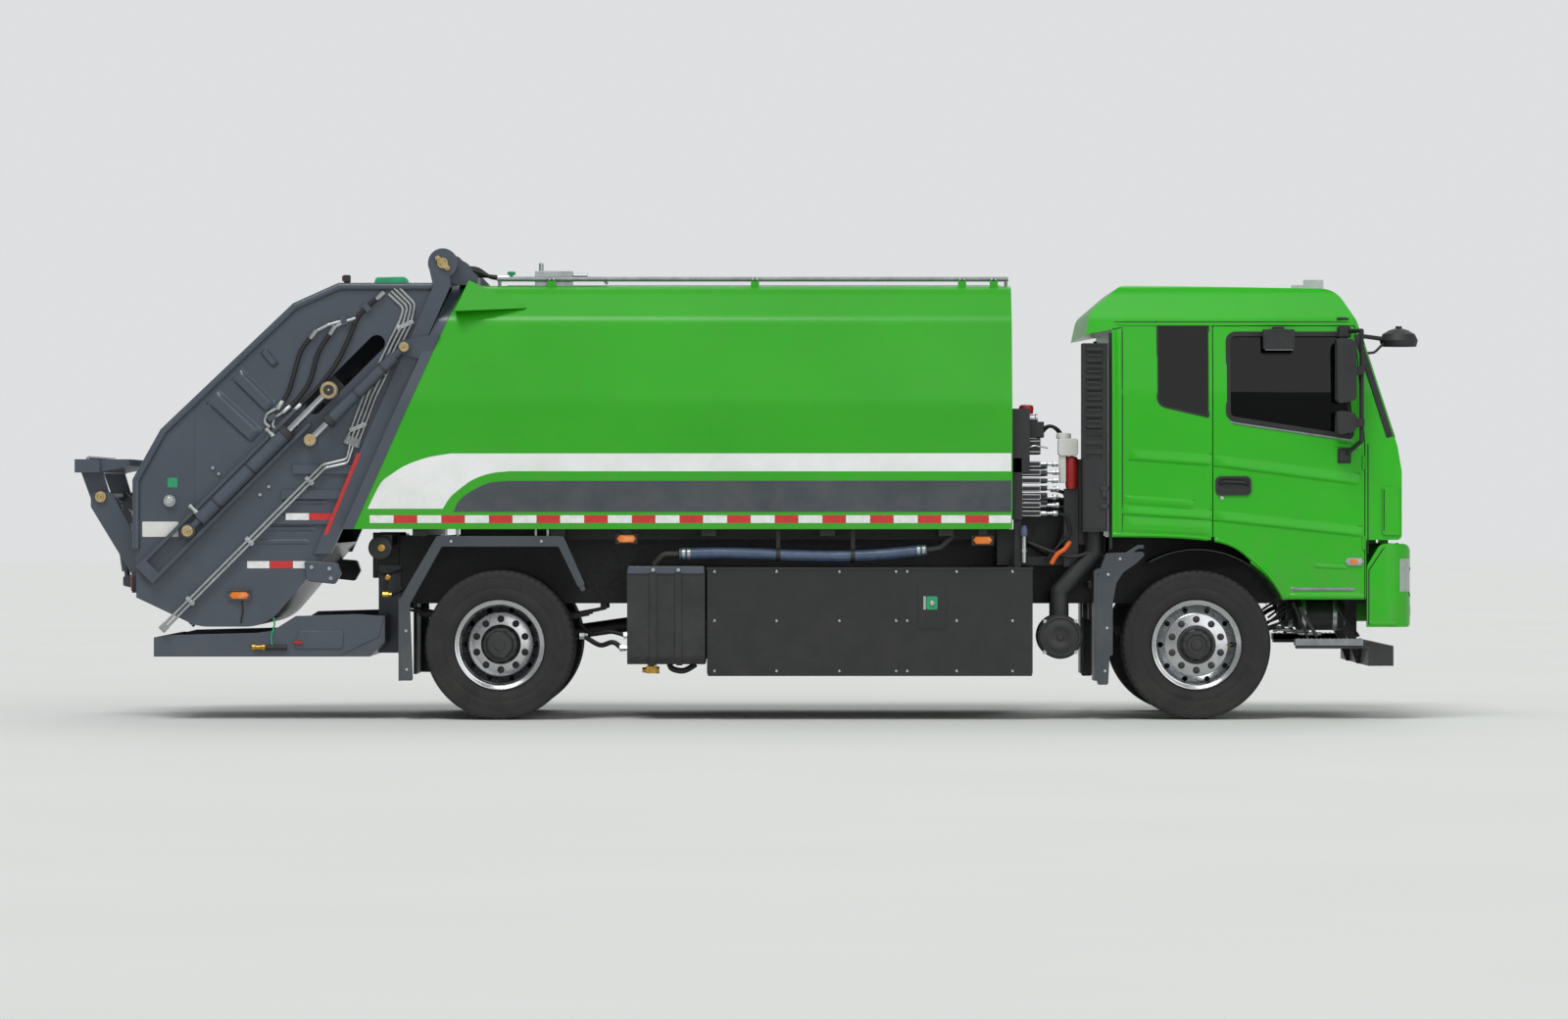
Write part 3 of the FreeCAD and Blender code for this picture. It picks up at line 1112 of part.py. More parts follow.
def cab_shell():
    """The hollow cab with its floor, step wells, window openings and doorways."""
    block = cab_block(0, CAB_SKIRT_Z)
    room = cab_block(CAB_WALL, CAB_FLOOR_Z + CAB_FLOOR_THICKNESS)
    shell = block.cut(room).cut(wheel_arch(ARCH_RADIUS))
    shell = shell.cut(box(SKIRT_REAR_X - OVERRUN, SKIRT_FRONT_X + OVERRUN, -SKIRT_IN, SKIRT_IN,
                          CAB_SKIRT_Z - OVERRUN, CAB_FLOOR_Z))
    well_out = CAB_HALF_WIDTH + OVERRUN
    arch_front = FRONT_AXLE_X + ARCH_RADIUS + CAB_WALL / 2
    wells = box(arch_front, SKIRT_FRONT_X - CAB_WALL, WELL_IN, well_out, CAB_SKIRT_Z + CAB_WALL / 2,
                CAB_FLOOR_Z + CAB_FLOOR_THICKNESS + OVERRUN)
    shell = shell.cut(wells).cut(mirrored(wells))
    doorway_in = CAB_HALF_WIDTH * CAB_SECTION_SHARES[2][0] - 2 * CAB_WALL
    doorway = side_plate(door_outline(0), doorway_in, CAB_HALF_WIDTH + OVERRUN)
    sill_keep = box(CAB_REAR_X, CAB_FRONT_X, 0, CAB_HALF_WIDTH - CAB_WALL - RUNNING_GAP, 0,
                    CAB_FLOOR_Z + CAB_FLOOR_THICKNESS)
    doorway = doorway.cut(sill_keep)
    shell = shell.cut(doorway).cut(mirrored(doorway))
    quarter = side_plate(quarter_outline(), doorway_in, CAB_HALF_WIDTH + OVERRUN)
    shell = shell.cut(quarter).cut(mirrored(quarter))
    shell = shell.cut(section_bar(screen_outline(), SCREEN_REAR_X, CAB_FRONT_X + OVERRUN))
    recess = box(CAB_FRONT_X - GRILLE_DEPTH, CAB_FRONT_X + OVERRUN, -GRILLE_HALF_WIDTH, GRILLE_HALF_WIDTH,
                 GRILLE_BOTTOM_Z, GRILLE_TOP_Z)
    shell = shell.cut(recess)
    arm_in = RAIL_OUT + RAIL_WEB + RUNNING_GAP
    arm_out = arm_in + TILT_ARM_RADIUS / 2
    arm = side_plate([
        (CAB_TILT_X - TILT_ARM_RADIUS, CAB_FLOOR_Z + OVERRUN),
        (CAB_TILT_X - TILT_ARM_RADIUS, CAB_TILT_Z - TILT_ARM_RADIUS, TILT_ARM_RADIUS * TILT_CORNER_SHARE),
        (CAB_TILT_X + TILT_ARM_RADIUS, CAB_TILT_Z - TILT_ARM_RADIUS, TILT_ARM_RADIUS * TILT_CORNER_SHARE),
        (CAB_TILT_X + TILT_ARM_RADIUS, CAB_FLOOR_Z + OVERRUN)], arm_in, arm_out)
    arm = arm.cut(cross_rod(CAB_TILT_X, CAB_TILT_Z, 0, CAB_HALF_WIDTH, TILT_PIN_RADIUS + PIN_GAP))
    shell = joined([shell] + pair(arm))
    pedestals = []
    floor_z = CAB_FLOOR_Z + CAB_FLOOR_THICKNESS
    for y in (-SEAT_Y, SEAT_Y):
        pedestals.append(box(SEAT_X - SEAT_LENGTH / 3, SEAT_X + SEAT_LENGTH / 3, y - SEAT_WIDTH / 3,
                             y + SEAT_WIDTH / 3,
                             floor_z - OVERRUN, floor_z + SEAT_PEDESTAL_HEIGHT))
    return joined([shell] + pedestals)


def door(side_sign):
    """A hollow-fronted door cut from the cab's own skin, with its window opening and hinges."""
    skin = cab_block(0, CAB_SKIRT_Z).cut(cab_block(CAB_WALL, CAB_SKIRT_Z))
    inner_cut = box(CAB_REAR_X, CAB_FRONT_X, -CAB_HALF_WIDTH + CAB_WALL, CAB_HALF_WIDTH - CAB_WALL,
                    CAB_SKIRT_Z - OVERRUN, CAB_FLOOR_Z + CAB_FLOOR_THICKNESS)
    outline = side_plate(door_outline(DOOR_GAP), 0, CAB_HALF_WIDTH + OVERRUN)
    panel = skin.common(outline).cut(inner_cut).cut(wheel_arch(ARCH_RADIUS))
    wall_in = CAB_HALF_WIDTH * CAB_SECTION_SHARES[2][0] - 2 * CAB_WALL
    panel = panel.common(box(CAB_REAR_X, CAB_FRONT_X, wall_in, CAB_HALF_WIDTH + OVERRUN, 0,
                             DOOR_TOP_Z - DOOR_GAP))
    panel = panel.cut(side_plate(window_outline(), wall_in - OVERRUN, CAB_HALF_WIDTH + OVERRUN))
    hinges = [Part.makeCylinder(HINGE_RADIUS, HINGE_LENGTH, V(DOOR_HINGE_X, DOOR_HINGE_Y, z))
              for z in (HINGE_LOW_Z, HINGE_HIGH_Z)]
    panel = joined([panel] + hinges)
    return panel if side_sign > 0 else mirrored(panel)


def door_glass(side_sign):
    layer = cab_block(GLASS_INSET, CAB_SKIRT_Z).cut(cab_block(GLASS_INSET + GLASS, CAB_SKIRT_Z))
    wall_in = CAB_HALF_WIDTH * CAB_SECTION_SHARES[2][0] - 2 * CAB_WALL
    pane = layer.common(side_plate(window_outline(), wall_in, CAB_HALF_WIDTH))
    return pane if side_sign > 0 else mirrored(pane)


def cab_glass():
    """The windscreen and the two fixed quarter windows."""
    layer = cab_block(GLASS_INSET, CAB_SKIRT_Z).cut(cab_block(GLASS_INSET + GLASS, CAB_SKIRT_Z))
    wall_in = CAB_HALF_WIDTH * CAB_SECTION_SHARES[2][0] - 2 * CAB_WALL
    quarter = layer.common(side_plate(quarter_outline(), wall_in, CAB_HALF_WIDTH))
    screen = layer.common(section_bar(screen_outline(), SCREEN_REAR_X, CAB_FRONT_X))
    return [screen] + pair(quarter)


def front_grille():
    """A dark grille in the front panel's recess, with bars across it."""
    back = box(CAB_FRONT_X - GRILLE_DEPTH, CAB_FRONT_X - GRILLE_DEPTH / 2, -GRILLE_HALF_WIDTH,
               GRILLE_HALF_WIDTH,
               GRILLE_BOTTOM_Z, GRILLE_TOP_Z)
    pitch = (GRILLE_TOP_Z - GRILLE_BOTTOM_Z) / GRILLE_BARS
    bars = [box(CAB_FRONT_X - GRILLE_DEPTH, CAB_FRONT_X + GRILLE_DEPTH / 2, -GRILLE_HALF_WIDTH,
                GRILLE_HALF_WIDTH,
                GRILLE_BOTTOM_Z + pitch * n + pitch / 3, GRILLE_BOTTOM_Z + pitch * n + 2 * pitch / 3)
            for n in range(GRILLE_BARS)]
    return joined([back] + bars)


def bumper():
    """The painted bumper: a deep shell that wraps round the cab's front corners."""
    corner = BUMPER_WALL / 2
    outline = [
        (BUMPER_REAR_X, BUMPER_BOTTOM_Z), (BUMPER_REAR_X, BUMPER_TOP_Z - 5 * corner, 2 * corner),
        (BUMPER_REAR_X + 3 * corner, BUMPER_TOP_Z, 2 * corner), (BUMPER_FRONT_X, BUMPER_TOP_Z, 2 * corner),
        (BUMPER_FRONT_X, BUMPER_BOTTOM_Z, corner),
    ]
    shell = side_plate(outline, -CAB_HALF_WIDTH, CAB_HALF_WIDTH)
    plan = [
        (BUMPER_REAR_X - OVERRUN, -CAB_HALF_WIDTH), (BUMPER_FRONT_X, -CAB_HALF_WIDTH, 3 * BUMPER_WALL),
        (BUMPER_FRONT_X, CAB_HALF_WIDTH, 3 * BUMPER_WALL), (BUMPER_REAR_X - OVERRUN, CAB_HALF_WIDTH),
    ]
    plan_face = Part.Face(closed_wire(plan, lambda u, v: V(u, v, BUMPER_BOTTOM_Z - OVERRUN)))
    shell = shell.common(plan_face.extrude(V(0, 0, 2 * BUMPER_TOP_Z)))
    room = box(BUMPER_REAR_X - OVERRUN, BUMPER_FRONT_X - BUMPER_WALL, BUMPER_WALL - CAB_HALF_WIDTH,
               CAB_HALF_WIDTH - BUMPER_WALL, BUMPER_BOTTOM_Z - OVERRUN, BUMPER_TOP_Z - BUMPER_WALL)
    shell = shell.cut(room)
    lamp_hole = box(BUMPER_FRONT_X - BUMPER_WALL - OVERRUN, BUMPER_FRONT_X + OVERRUN, LAMP_IN, LAMP_OUT,
                    LAMP_BOTTOM_Z, LAMP_TOP_Z)
    shell = shell.cut(lamp_hole).cut(mirrored(lamp_hole))
    arm_in = RAIL_OUT + RAIL_WEB
    slot = box(BUMPER_REAR_X - OVERRUN, CAB_TILT_X + TILT_ARM_RADIUS + RUNNING_GAP, arm_in,
               arm_in + 2 * RUNNING_GAP + TILT_ARM_RADIUS / 2, BUMPER_BOTTOM_Z, CAB_FLOOR_Z)
    shell = shell.cut(slot).cut(mirrored(slot))
    cab_foot = CAB_FLOOR_Z + CAB_SIDE_SHARES[-1][1] * (CAB_ROOF_Z - CAB_FLOOR_Z)
    bracket = box(BUMPER_REAR_X + 2 * BUMPER_WALL, BUMPER_FRONT_X - 2 * BUMPER_WALL, BUMPER_BRACKET_Y,
                  BUMPER_BRACKET_Y + BUMPER_BRACKET_WIDTH, BUMPER_TOP_Z - BUMPER_WALL / 2, cab_foot)
    return joined([shell] + pair(bracket))


def lamps():
    """The two headlamps in the bumper and the marker lamps on the roof edge."""
    lamp = box(BUMPER_FRONT_X - BUMPER_WALL, BUMPER_FRONT_X - GLASS, LAMP_IN, LAMP_OUT, LAMP_BOTTOM_Z,
               LAMP_TOP_Z)
    beacon = box(BEACON_X, BEACON_X + BEACON_LENGTH, BEACON_HALF_WIDTH,
                 BEACON_HALF_WIDTH + 2 * BEACON_HEIGHT,
                 CAB_ROOF_Z - CAB_WALL / 2, CAB_ROOF_Z + BEACON_HEIGHT)
    beacon = beacon.cut(cab_block(0, CAB_FLOOR_Z))
    return pair(lamp) + pair(beacon)


def seats():
    """Two seats, cushion and raked back in one, on the cab's pedestals."""
    base = CAB_FLOOR_Z + CAB_FLOOR_THICKNESS + SEAT_PEDESTAL_HEIGHT
    corner = SEAT_CUSHION_HEIGHT / 3
    half = SEAT_LENGTH / 2
    back = SEAT_BACK_THICKNESS
    outline = [
        (SEAT_X - half - back / 2, base, corner), (SEAT_X + half, base, corner),
        (SEAT_X + half, base + SEAT_CUSHION_HEIGHT, corner),
        (SEAT_X - half + back, base + SEAT_CUSHION_HEIGHT, corner),
        (SEAT_X - half, base + SEAT_BACK_HEIGHT, corner),
        (SEAT_X - half - back, base + SEAT_BACK_HEIGHT, corner),
    ]
    return pair(side_plate(outline, SEAT_Y - SEAT_WIDTH / 2, SEAT_Y + SEAT_WIDTH / 2))


def dashboard():
    """The dashboard across the cab, with the column and the steering wheel on the left."""
    front = CAB_FRONT_X - 2 * CAB_WALL
    inner = CAB_HALF_WIDTH - CAB_WALL - 2 * RUNNING_GAP
    corner = CAB_WALL / 2
    body = side_plate([
        (DASH_REAR_X, DASH_BOTTOM_Z, corner), (DASH_REAR_X, DASH_TOP_Z, 2 * corner),
        (front, DASH_TOP_Z - CAB_WALL, corner), (front + CAB_WALL, DASH_BOTTOM_Z)], -inner + 2 * CAB_WALL,
        inner - 2 * CAB_WALL)
    tilt = math.radians(STEERING_TILT)
    axis = V(math.sin(tilt) * -1, 0, math.cos(tilt))
    centre = V(STEERING_X, SEAT_Y, STEERING_Z)
    rim = Part.makeTorus(STEERING_RADIUS, STEERING_RIM, centre, axis)
    hub = Part.makeCylinder(STEERING_RADIUS / 4, STEERING_RIM * 2, centre - axis * STEERING_RIM, axis)
    spokes = [rod(centre, centre + V(0, s * STEERING_RADIUS, 0), STEERING_RIM * SPOKE_SHARE) for s in (-1,
                                                                                                       1)]
    column = rod(centre, V(DASH_REAR_X + CAB_WALL, SEAT_Y, DASH_BOTTOM_Z + CAB_WALL), 2 * STEERING_RIM)
    return joined([body, rim, hub, column] + spokes)


def mirror_set(kerb):
    """A long and a wide-angle mirror on one bent tube from two feet; kerb adds the door mirror."""
    def housing(low, high):
        plan = [
            (MIRROR_REAR_X, low, MIRROR_CORNER / 2), (MIRROR_REAR_X, high, MIRROR_CORNER / 2),
            (MIRROR_FRONT_X, high - MIRROR_CORNER / 2, MIRROR_CORNER),
            (MIRROR_FRONT_X, low + MIRROR_CORNER / 2, MIRROR_CORNER),
        ]
        return side_plate(plan, MIRROR_IN, MIRROR_OUT)

    post_low = V(MIRROR_POST_X, MIRROR_POST_Y, WIDE_LOW_Z - MIRROR_CORNER)
    post_high = V(MIRROR_POST_X, MIRROR_POST_Y, MIRROR_FOOT_HIGH_Z)
    skin_high = CAB_HALF_WIDTH * CAB_SECTION_SHARES[2][0]
    foot_low = V(MIRROR_FOOT_X, CAB_HALF_WIDTH, MIRROR_FOOT_LOW_Z)
    foot_high = V(MIRROR_FOOT_X, skin_high, MIRROR_FOOT_HIGH_Z)
    tubes = [rod(post_low, post_high, MIRROR_TUBE), rod(post_low, foot_low, MIRROR_TUBE),
             rod(post_high, foot_high, MIRROR_TUBE)]
    knees = [Part.makeSphere(MIRROR_TUBE, post_low), Part.makeSphere(MIRROR_TUBE, post_high)]
    clamps = []
    for z in ((MIRROR_LOW_Z + MIRROR_HIGH_Z) / 2, (WIDE_LOW_Z + WIDE_HIGH_Z) / 2):
        clamps.append(box(MIRROR_FRONT_X - MIRROR_CORNER, MIRROR_POST_X + MIRROR_TUBE,
                          MIRROR_POST_Y - MIRROR_CORNER / 2,
                          MIRROR_POST_Y + MIRROR_CORNER / 2, z - MIRROR_CORNER / 2, z + MIRROR_CORNER / 2))
    feet = [box(foot.x - MIRROR_FOOT_SIZE / 2, foot.x + MIRROR_FOOT_SIZE / 2, foot.y - CAB_WALL / 2,
                CAB_HALF_WIDTH + MIRROR_TUBE * 2, foot.z - MIRROR_FOOT_SIZE / 2,
                foot.z + MIRROR_FOOT_SIZE / 2)
            for foot in (foot_low, foot_high)]
    whole = joined([housing(MIRROR_LOW_Z, MIRROR_HIGH_Z),
                    housing(WIDE_LOW_Z, WIDE_HIGH_Z)] + tubes + knees + clamps + feet)
    pieces = [whole]
    if kerb:
        head = box(KERB_REAR_X, KERB_FRONT_X, CAB_HALF_WIDTH, CAB_HALF_WIDTH + KERB_DEPTH, KERB_LOW_Z,
                   KERB_HIGH_Z)
        inner = skin_high - CAB_WALL / 2
        neck = box((KERB_REAR_X + KERB_FRONT_X) / 2 - MIRROR_CORNER,
                   (KERB_REAR_X + KERB_FRONT_X) / 2 + MIRROR_CORNER,
                   inner, CAB_HALF_WIDTH + MIRROR_CORNER, WINDOW_TOP_Z + GLASS,
                   DOOR_TOP_Z - DOOR_GAP - GLASS)
        pieces.append(head.fuse(neck).removeSplitter())
    trimmed = cab_block(0, CAB_FLOOR_Z)
    return [piece.cut(trimmed) for piece in pieces]


def front_mirror():
    """The round mirror on its arm ahead of the right screen pillar."""
    tip_x = OVERALL_LENGTH / 2
    half_length = tip_x - FRONT_MIRROR_X
    middle = V(tip_x - half_length, -FRONT_MIRROR_Y, FRONT_MIRROR_Z)
    rungs = [(rise * FRONT_MIRROR_HALF_HEIGHT, share * half_length)
             for rise, share in FRONT_MIRROR_LEVELS_SHARES]
    section = [(0, rungs[0][0])] + [(radius, rise) for rise, radius in rungs] + [(0, rungs[-1][0])]
    face = Part.Face(closed_wire(section, lambda u, v: middle + V(u, 0, v)))
    bowl = face.revolve(middle, V(0, 0, 1), 360)
    start = V(DOOR_FRONT_TOP_X - MIRROR_TUBE, -FRONT_MIRROR_FOOT_Y, FRONT_MIRROR_ARM_Z)
    arm = rod(start, middle, MIRROR_TUBE)
    return joined([bowl, arm]).cut(cab_block(0, CAB_FLOOR_Z))


def on_guide(along, out):
    """A spot in the side view, measured from the carriage pin along the slide and square to it."""
    turn = math.radians(GUIDE_ANGLE)
    x = CARRIAGE_PIN_X + along * math.cos(turn) - out * math.sin(turn)
    z = CARRIAGE_PIN_Z + along * math.sin(turn) + out * math.cos(turn)
    return x, z


def guide_strip(start, stop, half, y0, y1):
    """A straight bar along the slide line."""
    corners = [on_guide(start, -half), on_guide(stop, -half), on_guide(stop, half), on_guide(start, half)]
    return side_plate(corners, y0, y1)


def tail_outline(inset):
    """The tailgate's side outline from its lowest rear corner over the top and back under the trough."""
    length = SEAM_TOP_X - TAIL_REAR_X
    height = TAIL_TOP_Z - TAIL_BOTTOM_Z
    rear = [(TAIL_REAR_X + u * length, TAIL_BOTTOM_Z + v * height, r * height) for u, v,
            r in TAIL_SIDE_SHARES[:-1]]
    floor = TAIL_BOTTOM_Z + inset
    side = inset * INSET_SIDE_SHARE
    trough = [
        (seam_x(SILL_Z), SILL_Z + side, 0), (TROUGH_FRONT_X - side, floor, TROUGH_RADIUS - inset),
        (TROUGH_REAR_X, floor, TROUGH_RADIUS - inset),
    ]
    return rear, [(seam_x(TAIL_TOP_Z), TAIL_TOP_Z, 0)], trough


def hopper_skin():
    """The side plates, the trough and the top cover, cut from one folded form."""
    rear, top, trough = tail_outline(0)
    form = side_plate(rear + top + trough, -TAIL_OUT, TAIL_OUT)
    inner_trough = tail_outline(HOPPER_SHEET)[2]
    foot = rear[0]
    cover = [(x, z - COVER_SHEET, r) for x, z, r in rear[3:]]
    slope = (rear[3][1] - rear[2][1]) / (rear[3][0] - rear[2][0])
    cover_foot_z = rear[3][1] - (rear[3][0] - COVER_FOOT_X) * slope
    inside = [
        (foot[0] + HOPPER_SHEET, foot[1] + HOPPER_SHEET / 2, 0), (foot[0] + HOPPER_SHEET, LIP_Z, 0),
        (foot[0] - OVERRUN, LIP_Z, 0), (foot[0] - OVERRUN, cover_foot_z + OVERRUN, 0),
        (COVER_FOOT_X, cover_foot_z + OVERRUN, 0), (COVER_FOOT_X, cover_foot_z - COVER_SHEET * 2, 0),
    ]
    inside += [(x, z - COVER_SHEET / 2, r) for x, z, r in cover]
    beyond = seam_x(TAIL_TOP_Z) + REAR_FRAME_OUT
    inside += [(beyond, TAIL_TOP_Z - COVER_SHEET, 0), (beyond, SILL_Z + HOPPER_SHEET, 0)]
    inside += [(inner_trough[0][0], SILL_Z + HOPPER_SHEET, 0)] + inner_trough[1:]
    return form.cut(side_plate(inside, TAIL_PLATE - TAIL_OUT, TAIL_OUT - TAIL_PLATE))


def hopper_side():
    """What one side plate carries: post, hinge lug, edge tubes, ribs, lift boss, the slide's foot pin."""
    rear, top = tail_outline(0)[:2]
    wide = POST_WIDTH / math.cos(math.radians(SEAM_ANGLE))
    head_z = TAIL_HINGE_Z
    post = side_plate([
        (seam_x(SILL_Z - RIB_WIDTH), SILL_Z - RIB_WIDTH), (seam_x(TAIL_TOP_Z), TAIL_TOP_Z),
        (TAIL_HINGE_X + TAIL_LUG_RADIUS / 2, head_z), (TAIL_HINGE_X - TAIL_LUG_RADIUS, head_z),
        (seam_x(TAIL_TOP_Z) - wide, TAIL_TOP_Z), (seam_x(SILL_Z - RIB_WIDTH) - wide, SILL_Z - RIB_WIDTH)],
        POST_IN, POST_OUT)
    lug = cross_rod(TAIL_HINGE_X, TAIL_HINGE_Z, POST_IN, POST_OUT, TAIL_LUG_RADIUS)
    post = post.fuse(lug).cut(cross_rod(TAIL_HINGE_X, TAIL_HINGE_Z, 0, 2 * POST_OUT,
                                        TAIL_HINGE_PIN + PIN_GAP))
    tube_y = TAIL_OUT
    tubes = []
    corners = [V(x, tube_y, z) for x, z, r in rear[1:]] + [V(top[0][0] - wide, tube_y, TAIL_TOP_Z)]
    corners[0] = V(TAIL_REAR_X, tube_y, LIP_Z)
    corners.insert(1, V(TAIL_REAR_X, tube_y, rear[1][1]))
    for start, stop in zip(corners, corners[1:]):
        tubes.append(rod(start, stop, EDGE_TUBE_RADIUS))
        tubes.append(Part.makeSphere(EDGE_TUBE_RADIUS, stop))
    ribs = []
    for z in RIB_RISES:
        front = seam_x(z) - wide + OVERRUN
        reach = on_guide(0, -GUIDE_HALF_HEIGHT)[0] - (CARRIAGE_PIN_Z - z)
        ribs.append(box(max(reach + OVERRUN, front - RIB_REACH), front, TAIL_OUT - TAIL_PLATE / 2,
                        TAIL_OUT + RIB_DEPTH, z - RIB_WIDTH / 2, z + RIB_WIDTH / 2))
    boss = cross_rod(LIFT_FOOT_X, LIFT_FOOT_Z, TAIL_OUT - TAIL_PLATE, LIFT_Y - LIFT_EYE_WIDTH / 2 - PIN_GAP,
                     LIFT_EYE_RADIUS)
    return joined([post, boss] + tubes + ribs)


def hopper_shell():
    """The open-ended hopper with everything welded to it, slotted for the packer's pins."""
    skin = hopper_skin()
    low = on_guide(-PACKER_DOWN, 0)
    high = on_guide(PACKER_UP, 0)
    slot = guide_strip(-PACKER_DOWN, PACKER_UP, SLOT_HALF_WIDTH, 0, 2 * TAIL_OUT)
    ends = [cross_rod(spot[0], spot[1], 0, 2 * TAIL_OUT, SLOT_HALF_WIDTH) for spot in (low, high)]
    slot = joined([slot] + ends)
    side = hopper_side().cut(slot)
    skin = skin.cut(slot).cut(mirrored(slot))
    lip = cross_rod(TAIL_REAR_X + EDGE_TUBE_RADIUS, LIP_Z, -TAIL_OUT, TAIL_OUT, EDGE_TUBE_RADIUS)
    bracket = side_plate([
        (TAIL_REAR_X + HOPPER_SHEET, BIN_RAM_FOOT_Z - RIB_WIDTH), (TAIL_REAR_X + HOPPER_SHEET, LIP_Z),
        (BIN_PIVOT_X + 2 * BIN_SHAFT_RADIUS, BIN_PIVOT_Z + BIN_SHAFT_RADIUS, BIN_SHAFT_RADIUS),
        (BIN_PIVOT_X - 2 * BIN_SHAFT_RADIUS, BIN_PIVOT_Z + BIN_SHAFT_RADIUS, BIN_SHAFT_RADIUS),
        (BIN_PIVOT_X - 2 * BIN_SHAFT_RADIUS, BIN_PIVOT_Z - 2 * BIN_SHAFT_RADIUS, BIN_SHAFT_RADIUS)],
        BIN_BRACKET_Y, BIN_BRACKET_Y + BIN_ARM_THICKNESS)
    bracket = bracket.cut(cross_rod(BIN_PIVOT_X, BIN_PIVOT_Z, 0, TAIL_OUT, BIN_SHAFT_RADIUS + PIN_GAP))
    cheeks = []
    for y in (BIN_RAM_Y - BIN_EYE_WIDTH / 2 - PIN_GAP * 2 - BIN_ARM_THICKNESS,
              BIN_RAM_Y + BIN_EYE_WIDTH / 2 + PIN_GAP * 2):
        cheeks.append(side_plate([
            (TAIL_REAR_X + HOPPER_SHEET, BIN_RAM_FOOT_Z - 2 * BIN_EYE_RADIUS),
            (TAIL_REAR_X + HOPPER_SHEET, BIN_RAM_FOOT_Z + 2 * BIN_EYE_RADIUS),
            (BIN_RAM_FOOT_X - BIN_EYE_RADIUS, BIN_RAM_FOOT_Z + BIN_EYE_RADIUS, BIN_EYE_RADIUS / 2),
            (BIN_RAM_FOOT_X - BIN_EYE_RADIUS, BIN_RAM_FOOT_Z - BIN_EYE_RADIUS, BIN_EYE_RADIUS / 2)],
            y, y + BIN_ARM_THICKNESS))
    foot_pin = cross_rod(BIN_RAM_FOOT_X, BIN_RAM_FOOT_Z, BIN_RAM_Y - BIN_EYE_WIDTH,
                         BIN_RAM_Y + BIN_EYE_WIDTH,
                         BIN_EYE_RADIUS / 2)
    fittings = [side, bracket, foot_pin] + cheeks
    return joined([skin, lip] + fittings + [mirrored(piece) for piece in fittings])


def guide_beams():
    """Two bars each side that box in the slide cylinder, closed at the foot."""
    start = (GUIDE_FOOT_X - CARRIAGE_PIN_X) / math.cos(math.radians(GUIDE_ANGLE))
    stop = (GUIDE_HEAD_X - CARRIAGE_PIN_X) / math.cos(math.radians(GUIDE_ANGLE))
    beam = guide_strip(start, stop, GUIDE_HALF_HEIGHT, TAIL_OUT, GUIDE_OUT)
    channel = guide_strip(start + GUIDE_HALF_HEIGHT, stop + OVERRUN, SLOT_HALF_WIDTH, TAIL_OUT, GUIDE_OUT)
    pin = cross_rod(SLIDE_PIN_X, SLIDE_PIN_Z, TAIL_OUT, SLIDE_Y + RAM_EYE_WIDTH, SLIDE_PIN_RADIUS)
    return pair(beam.cut(channel)) + pair(pin)


def tube_with_eye(foot, head, length, radius, bore, y_middle, eye_radius, eye_width, pin_radius):
    """A cylinder barrel from its foot eye towards head, bored from its open end."""
    start = V(foot[0], y_middle, foot[1])
    way = V(head[0] - foot[0], 0, head[1] - foot[1])
    way.normalize()
    eye = cross_rod(foot[0], foot[1], y_middle - eye_width / 2, y_middle + eye_width / 2, eye_radius)
    heel = NECK_SHARE * eye_radius
    neck = rod(start + way * (eye_radius / 2), start + way * (heel + PIN_GAP), eye_width / 2 - PIN_GAP)
    tube = rod(start + way * heel, start + way * length, radius)
    hollow = rod(start + way * (heel + BARREL_FOOT), start + way * (length + OVERRUN), bore)
    whole = eye.fuse([neck, tube]).cut(hollow).removeSplitter()
    return whole.cut(cross_rod(foot[0], foot[1], y_middle - radius * 2, y_middle + radius * 2, pin_radius))


def rod_with_eye(head, foot, length, radius, y_middle, eye_radius, eye_width, pin_radius):
    """A piston rod from its own eye back into the barrel; with no pin radius the eye holds its pin."""
    start = V(head[0], y_middle, head[1])
    way = V(foot[0] - head[0], 0, foot[1] - head[1])
    way.normalize()
    eye = cross_rod(head[0], head[1], y_middle - eye_width / 2, y_middle + eye_width / 2, eye_radius)
    stem = rod(start + way * (eye_radius / 2), start + way * length, radius)
    whole = eye.fuse(stem).removeSplitter()
    if pin_radius:
        whole = whole.cut(cross_rod(head[0], head[1], y_middle - eye_width, y_middle + eye_width,
                                    pin_radius))
    return whole


def slide_barrels():
    foot = (SLIDE_PIN_X, SLIDE_PIN_Z)
    head = (CARRIAGE_PIN_X, CARRIAGE_PIN_Z)
    return pair(tube_with_eye(foot, head, SLIDE_BARREL_LENGTH, SLIDE_BARREL_RADIUS,
                              SLIDE_ROD_RADIUS + PIN_GAP,
                              SLIDE_Y, SLIDE_BARREL_RADIUS, RAM_EYE_WIDTH, SLIDE_PIN_RADIUS + SEAT_GAP))


def slide_rods():
    foot = (SLIDE_PIN_X, SLIDE_PIN_Z)
    head = (CARRIAGE_PIN_X, CARRIAGE_PIN_Z)
    return pair(rod_with_eye(head, foot, SLIDE_ROD_LENGTH, SLIDE_ROD_RADIUS, SLIDE_Y, CARRIAGE_EYE_RADIUS,
                             RAM_EYE_WIDTH, CARRIAGE_PIN_RADIUS + SEAT_GAP))


def hinge_spot():
    return on_guide(-BLADE_HINGE_ALONG, -BLADE_HINGE_IN)


def ram_lug_spot():
    return on_guide(RAM_LUG_ALONG - BLADE_HINGE_ALONG, RAM_LUG_OUT - BLADE_HINGE_IN)


